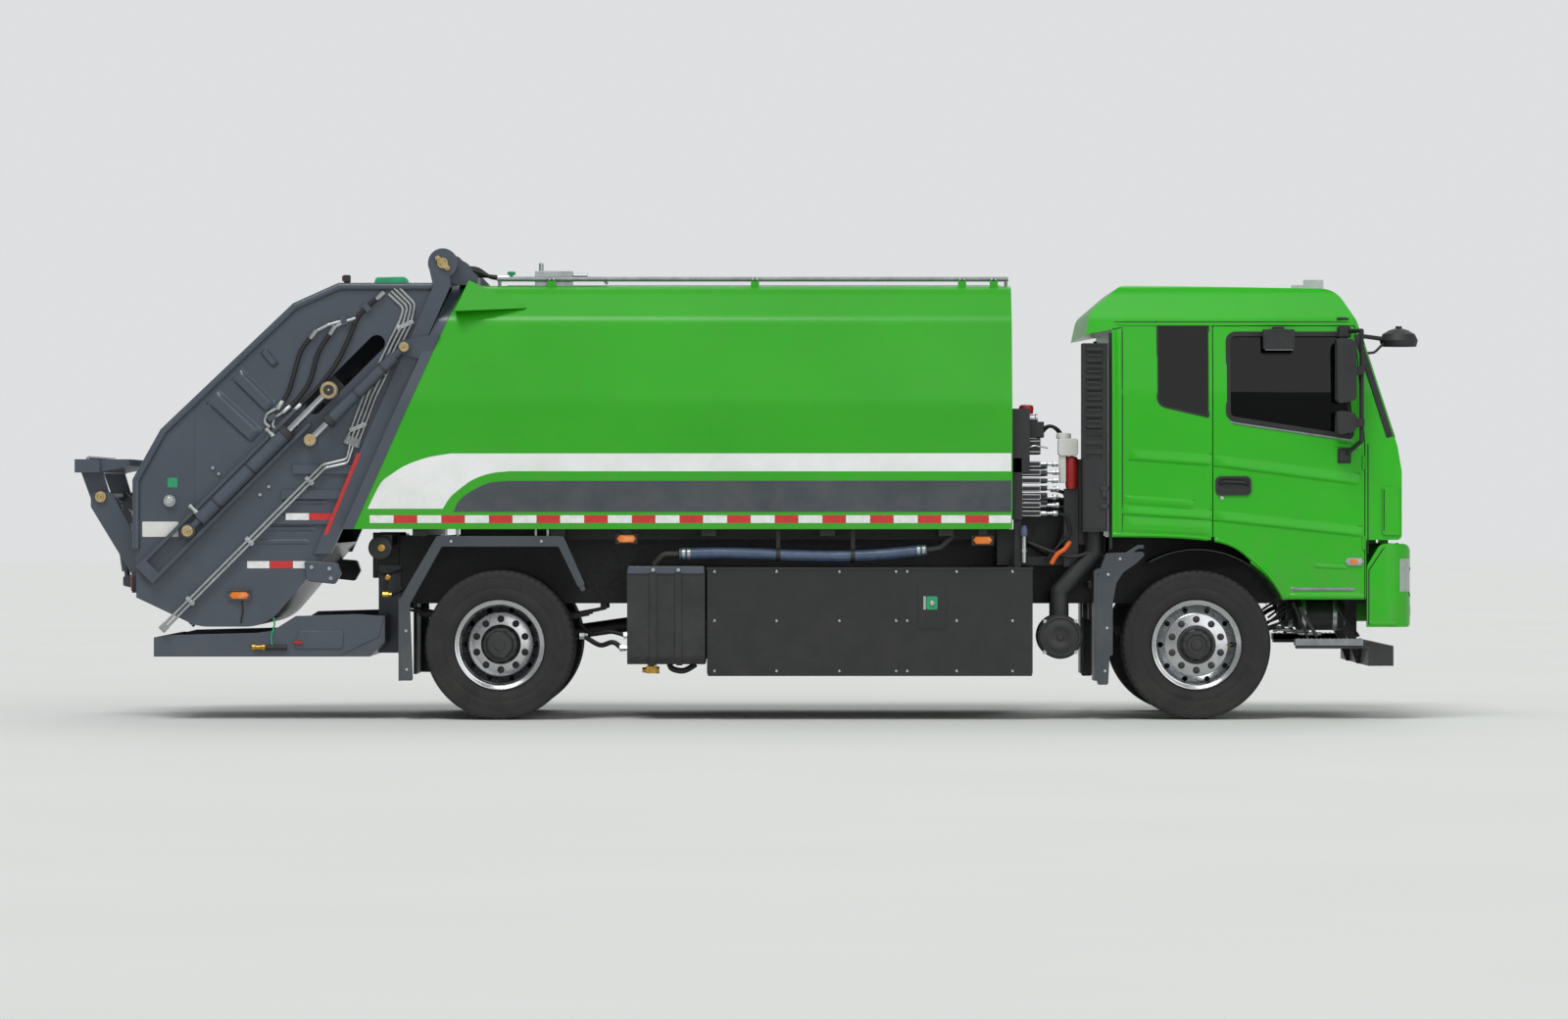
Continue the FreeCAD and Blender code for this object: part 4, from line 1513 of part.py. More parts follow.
def packer_carriage():
    """The sliding carriage: a cross plate, side shoes on pins, ears for the blade and lugs for its rams."""
    top = CARRIAGE_STANDOFF - BLADE_HINGE_IN
    plate_corners = [
        on_guide(CARRIAGE_FOOT, top - CARRIAGE_PLATE), on_guide(CARRIAGE_HEAD, top - CARRIAGE_PLATE),
        on_guide(CARRIAGE_HEAD, top), on_guide(CARRIAGE_FOOT, top)]
    plate = side_plate(plate_corners, -CARRIAGE_OUT, CARRIAGE_OUT)
    shoe_half = SLOT_HALF_WIDTH
    shoe = side_plate([
        on_guide(-CARRIAGE_SHOE, top - CARRIAGE_PLATE / 2),
        on_guide(CARRIAGE_SHOE, top - CARRIAGE_PLATE / 2),
        on_guide(CARRIAGE_SHOE, shoe_half), on_guide(-CARRIAGE_SHOE, shoe_half)],
        CARRIAGE_OUT - CARRIAGE_CHEEK, CARRIAGE_OUT)
    pin = cross_rod(CARRIAGE_PIN_X, CARRIAGE_PIN_Z, CARRIAGE_OUT - CARRIAGE_CHEEK, SLIDE_Y + RAM_EYE_WIDTH,
                    CARRIAGE_PIN_RADIUS)
    hinge_x, hinge_z = hinge_spot()
    ear_out = CARRIAGE_OUT
    ear = side_plate([
        on_guide(CARRIAGE_FOOT + OVERRUN, top), on_guide(CARRIAGE_FOOT + OVERRUN, top - CARRIAGE_PLATE),
        on_guide(-BLADE_HINGE_ALONG, -BLADE_HINGE_IN - BLADE_HUB_RADIUS),
        on_guide(-BLADE_HINGE_ALONG, BLADE_HUB_RADIUS - BLADE_HINGE_IN)], ear_out - CARRIAGE_CHEEK, ear_out)
    boss = cross_rod(hinge_x, hinge_z, ear_out - CARRIAGE_CHEEK, ear_out, BLADE_HUB_RADIUS)
    stub = cross_rod(hinge_x, hinge_z, BLADE_HALF_WIDTH - BLADE_HUB_RADIUS, ear_out, BLADE_PIN_RADIUS)
    lug_x, lug_z = ram_lug_spot()
    pieces = [shoe, pin, ear, boss, stub]
    lug_along = RAM_LUG_ALONG - BLADE_HINGE_ALONG
    lug_out = RAM_LUG_OUT - BLADE_HINGE_IN
    gap = RAM_EYE_WIDTH / 2 + PIN_GAP * 2
    for y in (RAM_Y - gap - RAM_CHEEK, RAM_Y + gap):
        pieces.append(side_plate([
            on_guide(lug_along - 2 * RAM_EYE_RADIUS, top - OVERRUN),
            on_guide(lug_along + RAM_EYE_RADIUS, top - OVERRUN),
            on_guide(lug_along + RAM_EYE_RADIUS, lug_out + RAM_EYE_RADIUS) + (RAM_EYE_RADIUS / 2,),
            on_guide(lug_along - RAM_EYE_RADIUS, lug_out + RAM_EYE_RADIUS) + (RAM_EYE_RADIUS / 2,)],
            y, y + RAM_CHEEK))
    lug_pin = cross_rod(lug_x, lug_z, RAM_Y - gap - RAM_CHEEK, RAM_Y + gap + RAM_CHEEK, RAM_PIN_RADIUS)
    pieces.append(lug_pin)
    return joined([plate] + pieces + [mirrored(piece) for piece in pieces])


def packer_blade():
    """The hinged blade: a tapered plate under a hub tube, with horns for the rams."""
    x, z = hinge_spot()
    half = BLADE_THICKNESS / 2
    plate = side_plate([
        (x - half, z), (x + half, z), (x + BLADE_TIP / 2, z - BLADE_LENGTH),
        (x - BLADE_TIP / 2, z - BLADE_LENGTH)],
        -BLADE_HALF_WIDTH, BLADE_HALF_WIDTH)
    wing = side_plate([
        (x - half, z - BLADE_HUB_RADIUS * 2), (x + half, z - BLADE_HUB_RADIUS * 2),
        (x + BLADE_TIP / 2, z - BLADE_LENGTH), (x - BLADE_TIP / 2, z - BLADE_LENGTH)],
        -CARRIAGE_OUT, CARRIAGE_OUT)
    hub = cross_rod(x, z, -BLADE_HALF_WIDTH, BLADE_HALF_WIDTH, BLADE_HUB_RADIUS)
    horn_x, horn_z = x - RAM_HORN_BACK, z - RAM_HORN_DOWN
    pieces = []
    gap = RAM_EYE_WIDTH / 2 + PIN_GAP
    for y in (RAM_Y - gap - RAM_CHEEK, RAM_Y + gap):
        horn = side_plate([
            (x, z + RAM_EYE_RADIUS), (horn_x, horn_z + RAM_EYE_RADIUS), (horn_x, horn_z - RAM_EYE_RADIUS),
            (x, z - RAM_HORN_BACK)], y, y + RAM_CHEEK)
        pieces += [horn, cross_rod(horn_x, horn_z, y, y + RAM_CHEEK, RAM_EYE_RADIUS)]
    whole = joined([plate, wing, hub] + pieces + [mirrored(piece) for piece in pieces])
    bore = cross_rod(x, z, BLADE_HALF_WIDTH - BLADE_HUB_RADIUS - RUNNING_GAP, BLADE_HALF_WIDTH,
                     BLADE_PIN_RADIUS + PIN_GAP)
    return whole.cut(bore).cut(mirrored(bore))


def blade_barrels():
    x, z = hinge_spot()
    horn = (x - RAM_HORN_BACK, z - RAM_HORN_DOWN)
    return pair(tube_with_eye(ram_lug_spot(), horn, RAM_BARREL_LENGTH, RAM_BARREL_RADIUS,
                              RAM_ROD_RADIUS + PIN_GAP,
                              RAM_Y, RAM_EYE_RADIUS, RAM_EYE_WIDTH, RAM_PIN_RADIUS + PIN_GAP))


def blade_rods():
    x, z = hinge_spot()
    horn = (x - RAM_HORN_BACK, z - RAM_HORN_DOWN)
    return pair(rod_with_eye(horn, ram_lug_spot(), RAM_ROD_LENGTH, RAM_ROD_RADIUS, RAM_Y, RAM_EYE_RADIUS,
                             RAM_EYE_WIDTH, 0))


def lift_barrels():
    foot = (LIFT_TOP_X, LIFT_TOP_Z)
    head = (LIFT_FOOT_X, LIFT_FOOT_Z)
    return pair(tube_with_eye(foot, head, LIFT_BARREL_LENGTH, LIFT_BARREL_RADIUS, LIFT_ROD_RADIUS + PIN_GAP,
                              LIFT_Y, LIFT_EYE_RADIUS, LIFT_EYE_WIDTH, LIFT_PIN_RADIUS + PIN_GAP))


def lift_rods():
    foot = (LIFT_TOP_X, LIFT_TOP_Z)
    head = (LIFT_FOOT_X, LIFT_FOOT_Z)
    return pair(rod_with_eye(head, foot, LIFT_ROD_LENGTH, LIFT_ROD_RADIUS, LIFT_Y, LIFT_EYE_RADIUS,
                             LIFT_EYE_WIDTH, 0))


def bin_lift_frame():
    """The swinging comb on its two arms and cross shaft, with the rams' lugs."""
    shaft = cross_rod(BIN_PIVOT_X, BIN_PIVOT_Z, -BIN_BRACKET_Y - BIN_ARM_THICKNESS - RUNNING_GAP,
                      BIN_BRACKET_Y + BIN_ARM_THICKNESS + RUNNING_GAP, BIN_SHAFT_RADIUS)
    tip_x = -OVERALL_LENGTH / 2
    low = COMB_Z - COMB_HEIGHT / 2
    body = box(tip_x, tip_x + COMB_BODY_LENGTH, -COMB_HALF_WIDTH, COMB_HALF_WIDTH, low, low + COMB_HEIGHT)
    pitch = 2 * COMB_HALF_WIDTH / COMB_TEETH
    teeth = []
    for index in range(COMB_TEETH):
        y = pitch * index + (pitch - COMB_TOOTH_WIDTH) / 2 - COMB_HALF_WIDTH
        teeth.append(side_plate([
            (tip_x + COMB_BODY_LENGTH - OVERRUN, low),
            (tip_x + COMB_BODY_LENGTH + COMB_TOOTH_LENGTH, low + COMB_HEIGHT / 2),
            (tip_x + COMB_BODY_LENGTH + COMB_TOOTH_LENGTH, low + COMB_HEIGHT),
            (tip_x + COMB_BODY_LENGTH - OVERRUN, low + COMB_HEIGHT)], y, y + COMB_TOOTH_WIDTH))
    arm = side_plate([
        (BIN_PIVOT_X - 2 * BIN_SHAFT_RADIUS, BIN_PIVOT_Z - BIN_SHAFT_RADIUS, BIN_SHAFT_RADIUS / 2),
        (BIN_PIVOT_X + 2 * BIN_SHAFT_RADIUS, BIN_PIVOT_Z - BIN_SHAFT_RADIUS, BIN_SHAFT_RADIUS / 2),
        (tip_x + COMB_BODY_LENGTH, low + OVERRUN), (tip_x + OVERRUN, low + OVERRUN)],
        BIN_ARM_Y, BIN_ARM_Y + BIN_ARM_THICKNESS)
    gap = BIN_EYE_WIDTH / 2 + PIN_GAP
    pieces = [arm]
    for y in (BIN_RAM_Y - gap - BIN_ARM_THICKNESS, BIN_RAM_Y + gap):
        pieces.append(side_plate([
            (BIN_PIVOT_X - BIN_SHAFT_RADIUS, BIN_PIVOT_Z),
            (BIN_PIVOT_X + BIN_SHAFT_RADIUS, BIN_PIVOT_Z + BIN_SHAFT_RADIUS),
            (BIN_LUG_X + BIN_EYE_RADIUS, BIN_LUG_Z + BIN_EYE_RADIUS, BIN_EYE_RADIUS / 2),
            (BIN_LUG_X, BIN_LUG_Z - BIN_EYE_RADIUS, BIN_EYE_RADIUS / 2)], y, y + BIN_ARM_THICKNESS))
    return joined([body, shaft] + teeth + pieces + [mirrored(piece) for piece in pieces])


def bin_barrels():
    return pair(tube_with_eye((BIN_RAM_FOOT_X, BIN_RAM_FOOT_Z), (BIN_LUG_X, BIN_LUG_Z), BIN_BARREL_LENGTH,
                              BIN_RAM_RADIUS, BIN_ROD_RADIUS + PIN_GAP, BIN_RAM_Y, BIN_EYE_RADIUS,
                              BIN_EYE_WIDTH,
                              BIN_EYE_RADIUS / 2 + PIN_GAP))


def bin_rods():
    return pair(rod_with_eye((BIN_LUG_X, BIN_LUG_Z), (BIN_RAM_FOOT_X, BIN_RAM_FOOT_Z), BIN_ROD_LENGTH,
                             BIN_ROD_RADIUS, BIN_RAM_Y, BIN_EYE_RADIUS, BIN_EYE_WIDTH, 0))


def build():
    os.makedirs("parts", exist_ok=True)
    save("frame_rails", [frame_rails()])
    save("subframe", [subframe()])
    save("drive_motor", [drive_motor()])
    save("front_axle", [front_axle()])
    save("rear_axle", [rear_axle()])
    front_spring = spring_pack(FRONT_AXLE_X, TYRE_RADIUS - BEAM_DROP, FRONT_SPRING_RISE)
    rear_spring = spring_pack(REAR_AXLE_X, TYRE_RADIUS + AXLE_TUBE_RADIUS + PERCH_HEIGHT, REAR_SPRING_RISE)
    save("leaf_springs", pair(front_spring) + pair(rear_spring))
    save("battery_boxes", hung_boxes())
    save("hydraulic_tanks", hydraulic_tank())
    save("mudguards", mudguards())
    save("underrun_beam", [underrun_beam()])
    save("drip_tray", [drip_tray()])
    save("air_intake", [air_intake()])
    save("valve_bank", [valve_bank()])
    save("body_shell", [body_shell()])
    save("body_rear_frame", [body_rear_frame()])
    save("roof_rails", roof_rails())
    save("ejector_plate", [ejector_plate()])
    for side, name in ((-1, "right"), (1, "left")):
        tyre, rim = front_wheel(side)
        save("tyre_front_" + name, [tyre])
        save("rim_front_" + name, [rim])
        tyres, rims = rear_wheels(side)
        save("tyres_rear_" + name, tyres)
        save("rims_rear_" + name, [rims])
        save("knuckle_" + name, [knuckle(side)])
        save("door_panel_" + name, [door(side)])
        save("door_glass_" + name, [door_glass(side)])
        mirrors = mirror_set(side < 0)
        save("mirror_" + name, mirrors if side > 0 else [mirrored(piece) for piece in mirrors])
    save("cab_shell", [cab_shell()])
    save("cab_glass", cab_glass())
    save("front_grille", [front_grille()])
    save("bumper", [bumper()])
    save("lamps", lamps())
    save("front_mirror", [front_mirror()])
    save("seats", seats())
    save("dashboard", [dashboard()])
    save("hopper_shell", [hopper_shell()])
    save("guide_beams", guide_beams())
    save("slide_barrels", slide_barrels())
    save("packer_carriage", [packer_carriage()])
    save("slide_rods", slide_rods())
    save("packer_blade", [packer_blade()])
    save("blade_barrels", blade_barrels())
    save("blade_rods", blade_rods())
    save("lift_barrels", lift_barrels())
    save("lift_rods", lift_rods())
    save("bin_lift_frame", [bin_lift_frame()])
    save("bin_barrels", bin_barrels())
    save("bin_rods", bin_rods())


build()
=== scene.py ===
# Refuse collection truck: finishes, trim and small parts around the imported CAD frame.
# Everything is in metres: +X to the front, +Y to the truck's left, +Z up.
import bpy
import json
import math
import numpy as np
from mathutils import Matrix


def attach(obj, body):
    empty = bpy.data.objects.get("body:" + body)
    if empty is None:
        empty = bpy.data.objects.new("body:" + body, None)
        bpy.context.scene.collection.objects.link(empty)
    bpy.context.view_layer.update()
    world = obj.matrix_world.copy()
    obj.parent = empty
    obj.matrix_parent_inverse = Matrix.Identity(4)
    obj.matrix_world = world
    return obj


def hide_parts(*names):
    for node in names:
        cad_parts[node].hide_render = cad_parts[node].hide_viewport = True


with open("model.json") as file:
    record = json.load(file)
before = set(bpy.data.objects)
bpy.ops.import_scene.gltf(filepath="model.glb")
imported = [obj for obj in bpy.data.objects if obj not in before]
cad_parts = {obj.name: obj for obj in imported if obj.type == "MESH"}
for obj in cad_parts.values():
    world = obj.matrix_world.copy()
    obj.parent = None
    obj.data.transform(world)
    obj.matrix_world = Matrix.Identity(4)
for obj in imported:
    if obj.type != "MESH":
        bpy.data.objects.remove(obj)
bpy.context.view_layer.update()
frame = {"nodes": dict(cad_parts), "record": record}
cadNodes = frame["nodes"]
print("frame loaded:", len(cadNodes), "nodes")


# mesh helpers: a part is (points, faces), points an (n, 3) array, faces a list of index tuples

def gridPart(points, closedU=False, closedV=False):
    # a surface P(u, v): points has shape (rows, columns, 3); quads join neighbours, and wrap where closed
    rows, columns = points.shape[:2]
    u = np.arange(rows if closedU else rows - 1)[:, None]
    v = np.arange(columns if closedV else columns - 1)[None, :]
    a = u * columns + v
    b = u * columns + (v + 1) % columns
    c = ((u + 1) % rows) * columns + (v + 1) % columns
    d = ((u + 1) % rows) * columns + v
    quads = np.stack([a, b, c, d], -1).reshape(-1, 4)
    return points.reshape(-1, 3), [tuple(q) for q in quads.tolist()]


def capped(rings):
    # tube through closed rings (along, around, 3) with a face over each end
    points, faces = gridPart(rings, closedV=True)
    count = rings.shape[1]
    last = (len(rings) - 1) * count
    return points, faces + [tuple(range(count))[::-1], tuple(range(last, last + count))]


def joinParts(parts):
    # one part from several, with each one's face numbers moved past the points before it
    points, faces, start = [], [], 0
    for partPoints, partFaces in parts:
        points.append(partPoints)
        faces.extend([tuple(i + start for i in face) for face in partFaces])
        start += len(partPoints)
    return np.concatenate(points), faces


def outward(part):
    # turns a closed part's faces round if its signed volume, the sum of a . (b x c) / 6, is negative
    points, faces = part
    volume = 0.0
    for size in sorted({len(face) for face in faces}):
        corners = points[np.array([face for face in faces if len(face) == size])]
        first = np.broadcast_to(corners[:, :1], corners[:, 2:].shape)
        volume += float(np.sum(first * np.cross(corners[:, 1:-1], corners[:, 2:])))
    return part if volume > 0 else (points, [face[::-1] for face in faces])


def asPart(part):
    # a list of parts joined into one, or the part as it is; the functions that take a part take a list too
    return joinParts(part) if isinstance(part, list) else part


def mirrorPart(part):
    # the same part on the truck's other side: y changes sign, and faces turn round to point outwards
    points, faces = asPart(part)
    return points * (1, -1, 1), [face[::-1] for face in faces]


def bothSides(part):
    part = asPart(part)
    return joinParts([part, mirrorPart(part)])


def copiesAt(part, places, turns=None):
    # copies of a part: p' = R p + t for each place t, R being the matching 3 x 3 turn
    points, faces = asPart(part)
    places = np.asarray(places, float)
    if turns is None:
        turns = np.broadcast_to(np.eye(3), (len(places), 3, 3))
    moved = np.einsum("kij,nj->kni", np.asarray(turns, float), points) + places[:, None, :]
    count = len(points)
    return moved.reshape(-1, 3), [tuple(i + k * count for i in face) for k in range(len(places))
        for face in faces]


def turnAbout(axis, angles):
    # rotation matrices about x, y or z for an array of angles: cosine and sine in the other two axes
    angles = np.atleast_1d(np.asarray(angles, float))
    first, second = {"x": (1, 2), "y": (2, 0), "z": (0, 1)}[axis]
    turns = np.zeros((len(angles), 3, 3)) + np.eye(3)
    turns[:, first, first] = turns[:, second, second] = np.cos(angles)
    turns[:, first, second] = -np.sin(angles)
    turns[:, second, first] = np.sin(angles)
    return turns


def roundedOutline(corners, steps=5):
    # closed 2-D outline from (x, y, radius) corners: each corner becomes an arc tangent to both sides
    corners = [(*c, 0) if len(c) == 2 else c for c in corners]
    outline = []
    for index, (x, y, radius) in enumerate(corners):
        here = np.array([x, y], float)
        back = np.array(corners[index - 1][:2], float) - here
        ahead = np.array(corners[(index + 1) % len(corners)][:2], float) - here
        if radius <= 0:
            outline.append(here[None])
            continue
        back /= np.linalg.norm(back)
        ahead /= np.linalg.norm(ahead)
        half = math.acos(max(-1, min(1, float(back @ ahead)))) / 2
        middle = (back + ahead) / np.linalg.norm(back + ahead)
        centre = here + middle * radius / math.sin(half)
        start, end = (here + way * radius / math.tan(half) - centre for way in (back, ahead))
        t = np.linspace(0, 1, steps + 1)[:, None]
        sweep = math.pi - 2 * half
        outline.append(centre + (np.sin((1 - t) * sweep) * start + np.sin(t * sweep) * end) / math.sin(sweep))
    return np.concatenate(outline)


def rectangle(x0, x1, y0, y1, radius=0.0):
    return [(x0, y0, radius), (x1, y0, radius), (x1, y1, radius), (x0, y1, radius)]


planes = {  # where an outline's first and second number go, and the axis that it is drawn out along
    "side": (0, 2, 1),
    "plan": (0, 1, 2),
    "front": (1, 2, 0),
}


def slabPart(outline, low, high, plane="side"):
    # an outline drawn out from low to high square to its plane, closed by a face at each end
    outline = np.asarray(outline, float)
    rings = np.zeros((2, len(outline), 3))
    first, second, along = planes[plane]
    rings[:, :, first], rings[:, :, second] = outline[:, 0], outline[:, 1]
    rings[0, :, along], rings[1, :, along] = low, high
    return outward(capped(rings))


def boxPart(x0, x1, y0, y1, z0, z1):
    return slabPart(rectangle(x0, x1, z0, z1), y0, y1)


def roundSlab(corners, low, high, plane="side", steps=4):
    # an outline with round corners, drawn out square to its plane
    return slabPart(roundedOutline(corners, steps), low, high, plane)


def roundBox(x0, x1, z0, z1, radius, low, high, plane="side", steps=3):
    return roundSlab(rectangle(x0, x1, z0, z1, radius), low, high, plane, steps)


def pathFrames(path, reference):
    # unit tangent, side and up vectors along a path: side = tangent x reference, up = side x tangent
    tangent = np.gradient(path, axis=0)
    tangent /= np.linalg.norm(tangent, axis=1, keepdims=True)
    side = np.cross(tangent, reference)
    side /= np.linalg.norm(side, axis=1, keepdims=True)
    return tangent, side, np.cross(side, tangent)


def tubePart(path, radius, sides=12, reference=(0, 1, 0)):
    # a round tube: circle(v) of the given radius carried along the path; radius may vary along it
    path = np.asarray(path, float)
    _, side, up = pathFrames(path, np.asarray(reference, float))
    v = np.arange(sides) * 2 * math.pi / sides
    radius = np.broadcast_to(np.asarray(radius, float), (len(path),))[:, None, None]
    ring = side[:, None, :] * np.cos(v)[None, :, None] + up[:, None, :] * np.sin(v)[None, :, None]
    return outward(capped(path[:, None, :] + ring * radius))


def bentPath(corners, radius, steps=6):
    # straight runs between 3-D corners, with an arc of the given radius at each inner corner
    corners = [np.asarray(c, float) for c in corners]
    path = [corners[0][None]]
    for before, here, after in zip(corners, corners[1:], corners[2:]):
        back, ahead = before - here, after - here
        reach = 0.48 * min(np.linalg.norm(back), np.linalg.norm(ahead))
        back, ahead = back / np.linalg.norm(back), ahead / np.linalg.norm(ahead)
        half = math.acos(max(-1, min(1, float(back @ ahead)))) / 2
        if half > 1.55:
            continue
        length = min(radius / math.tan(half), reach)
        t = np.linspace(0, 1, steps + 1)[:, None]
        path.append(here + (1 - t) ** 2 * back * length + t ** 2 * ahead * length)
    path.append(corners[-1][None])
    return np.concatenate(path)


def smoothPath(knots, steps=8):
    # Catmull-Rom curve through the knots: a cubic between neighbours, tangent to the line past each knot
    knots = np.asarray(knots, float)
    ends = np.concatenate([2 * knots[:1] - knots[1:2], knots, 2 * knots[-1:] - knots[-2:-1]])
    t = (np.arange(steps) / steps)[None, :, None]
    a, b, c, d = (ends[i:len(ends) - 3 + i, None, :] for i in range(4))
    curve = 2 * b + (c - a) * t + (2 * a - 5 * b + 4 * c - d) * t ** 2 + (3 * b - a - 3 * c + d) * t ** 3
    return np.concatenate([0.5 * curve.reshape(-1, 3), knots[-1:]])


def bentTube(corners, bend, radius, sides=10, steps=6):
    return tubePart(bentPath(corners, bend, steps), radius, sides)


def flowTube(knots, radius, sides=12, steps=6):
    return tubePart(smoothPath(knots, steps), radius, sides)


def lathePart(profile, sides=48, axis="y", centre=(0, 0, 0), closed=False):
    # (along, radius) pairs turned about an axis through centre: P(u, v) = centre + along + radius (cos v,
    # sin v); a profile that isn't closed gets a face over each end
    profile = np.asarray(profile, float)
    v = np.arange(sides) * 2 * math.pi / sides
    along, first, second = {"y": (1, 2, 0), "x": (0, 1, 2), "z": (2, 0, 1)}[axis]
    points = np.zeros((len(profile), sides, 3))
    points[:, :, along] = profile[:, 0][:, None]
    points[:, :, first] = profile[:, 1][:, None] * np.cos(v)
    points[:, :, second] = profile[:, 1][:, None] * np.sin(v)
    points = points + np.asarray(centre, float)
    return outward(gridPart(points, closedU=True, closedV=True) if closed else capped(points))


def hexPart(acrossFlats, height, axis="y"):
    # a nut on its bolt's end: six sides, a chamfered top and the thread's stub, standing on zero along the axis
    r = acrossFlats / math.sqrt(3)
    profile = [(0, r), (height * 0.85, r), (height, r * 0.84), (height, r * 0.45), (height * 1.5, r * 0.42)]
    return lathePart(profile, 6, axis)


def edgeNormals(outline):
    # unit normals of a closed 2-D outline, pointing away from its inside
    ahead, back = np.roll(outline, -1, axis=0), np.roll(outline, 1, axis=0)
    way = ahead - back
    way /= np.linalg.norm(way, axis=1, keepdims=True) + 1e-12
    area = np.sum(outline[:, 0] * ahead[:, 1] - outline[:, 1] * ahead[:, 0])
    return np.stack([way[:, 1], -way[:, 0]], -1) * (1 if area > 0 else -1)


def ringOn(corners, inner, outer, low, high, face, plane="side", steps=6):
    # ring of four corners along a closed outline: inner and outer are measured aside from the outline, low and
    # high from the panel's face
    outline = roundedOutline(corners, steps)
    keep = np.linalg.norm(outline - np.roll(outline, 1, axis=0), axis=1) > 1e-6
    outline = outline[keep]
    normal = edgeNormals(outline)
    first, second, along = planes[plane]
    points = np.zeros((len(outline), 4, 3))
    for index, (aside, out) in enumerate(((inner, low), (inner, high), (outer, high), (outer, low))):
        spot = outline + normal * aside
        points[:, index, first], points[:, index, second] = spot[:, 0], spot[:, 1]
        points[:, index, along] = face(spot[:, 0], spot[:, 1]) + out
    return outward(gridPart(points, closedU=True, closedV=True))


def flatAt(place):
    # a panel's face that is flat, for ringOn and ridgeAlong
    return lambda a, b: np.full(np.shape(a), place)


def ridgeAlong(knots, width, rise, face, ends=0.45, lower=0.2, upper=0.2):
    # strip raised from a panel along a side-view line: height = rise x end taper x raised-cosine shoulders
    path = np.asarray(knots, float)
    along = np.concatenate([[0], np.cumsum(np.linalg.norm(np.diff(path, axis=0), axis=1))])
    spots = np.unique(np.concatenate([along, np.linspace(0, along[-1], 24)]))
    path = np.stack([np.interp(spots, along, path[:, 0]), np.interp(spots, along, path[:, 1])], -1)
    way = np.gradient(path, axis=0)
    way /= np.linalg.norm(way, axis=1, keepdims=True)
    across = np.linspace(-0.5, 0.5, 15)
    taper = np.sin(np.clip(np.minimum(spots, spots[-1] - spots) / (width * ends), 0, 1) * math.pi / 2)
    sides = np.clip(np.minimum((0.5 + across) / lower, (0.5 - across) / upper), 0, 1)
    height = rise * np.outer(taper, 0.5 - 0.5 * np.cos(sides * math.pi))
    x = path[:, :1] - way[:, 1:] * across * width
    z = path[:, 1:] + way[:, :1] * across * width
    panel = face(x, z)
    top, low = np.stack([x, panel + height, z], -1), np.stack([x, panel - 0.004, z], -1)
    return slabFrom(top, low - top)


def slabFrom(sheet, shift):
    # closed slab between a sheet of points and its copy moved by shift
    far = sheet + np.asarray(shift, float)
    pair = np.stack([sheet, far], 2)
    rim = np.concatenate([pair[0], pair[1:, -1], pair[-1, -2::-1], pair[-2:0:-1, 0]])
    return joinParts([gridPart(sheet), gridPart(far[:, ::-1]), gridPart(rim, closedU=True)])


def newObject(name, data):
    # an object of the given mesh, light or camera in the scene
    made = bpy.data.objects.new(name, data)
    bpy.context.scene.collection.objects.link(made)
    return made


def addPiece(name, part, look, body="chassis", slot=None, smooth=35, bevel=0.0, clean=False):
    # puts a part, or a list of parts joined, into a mesh object at the origin, gives it its finish and hangs it
    #  on its CAD body; the slot argument is not used
    points, faces = asPart(part)
    mesh = bpy.data.meshes.new(name)
    mesh.from_pydata(np.asarray(points, float).tolist(), [], faces)
    mesh.validate()
    mesh.materials.append(finish[look])
    piece = newObject(name, mesh)
    if clean:
        tidyNormals(mesh)
    if smooth:
        mesh.polygons.foreach_set("use_smooth", np.ones(len(mesh.polygons), bool))
        mesh.set_sharp_from_angle(angle=math.radians(smooth))
    if bevel:
        edge = piece.modifiers.new("edges", "BEVEL")
        edge.width, edge.segments, edge.limit_method, edge.angle_limit = bevel, 2, "ANGLE", math.radians(40)
        edge.harden_normals = True
    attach(piece, body)
    return piece


def addPair(name, part, look, body="chassis", **settings):
    # one piece that holds a part and its mirror image
    return addPiece(name, bothSides(part), look, body, **settings)


def tidyNormals(mesh):
    # merges doubles and points every face outwards
    import bmesh
    work = bmesh.new()
    work.from_mesh(mesh)
    bmesh.ops.remove_doubles(work, verts=work.verts, dist=1e-6)
    bmesh.ops.recalc_face_normals(work, faces=work.faces)
    work.to_mesh(mesh)
    work.free()


# finishes

def linearColour(text):
    # sRGB hex to linear RGBA
    c = np.array([int(text[i:i + 2], 16) for i in (1, 3, 5)]) / 255
    return (*np.where(c <= 0.04045, c / 12.92, ((c + 0.055) / 1.055) ** 2.4).tolist(), 1.0)


def addNode(owner, kind, values=None, links=None, **settings):
    # one node of a material or world, with its settings, its unlinked values, and its links by socket
    node = owner.node_tree.nodes.new(kind)
    for key, value in settings.items():
        setattr(node, key, value)
    for key, value in (values or {}).items():
        node.inputs[key].default_value = value
    for key, socket in (links or {}).items():
        owner.node_tree.links.new(socket, node.inputs[key])
    return node


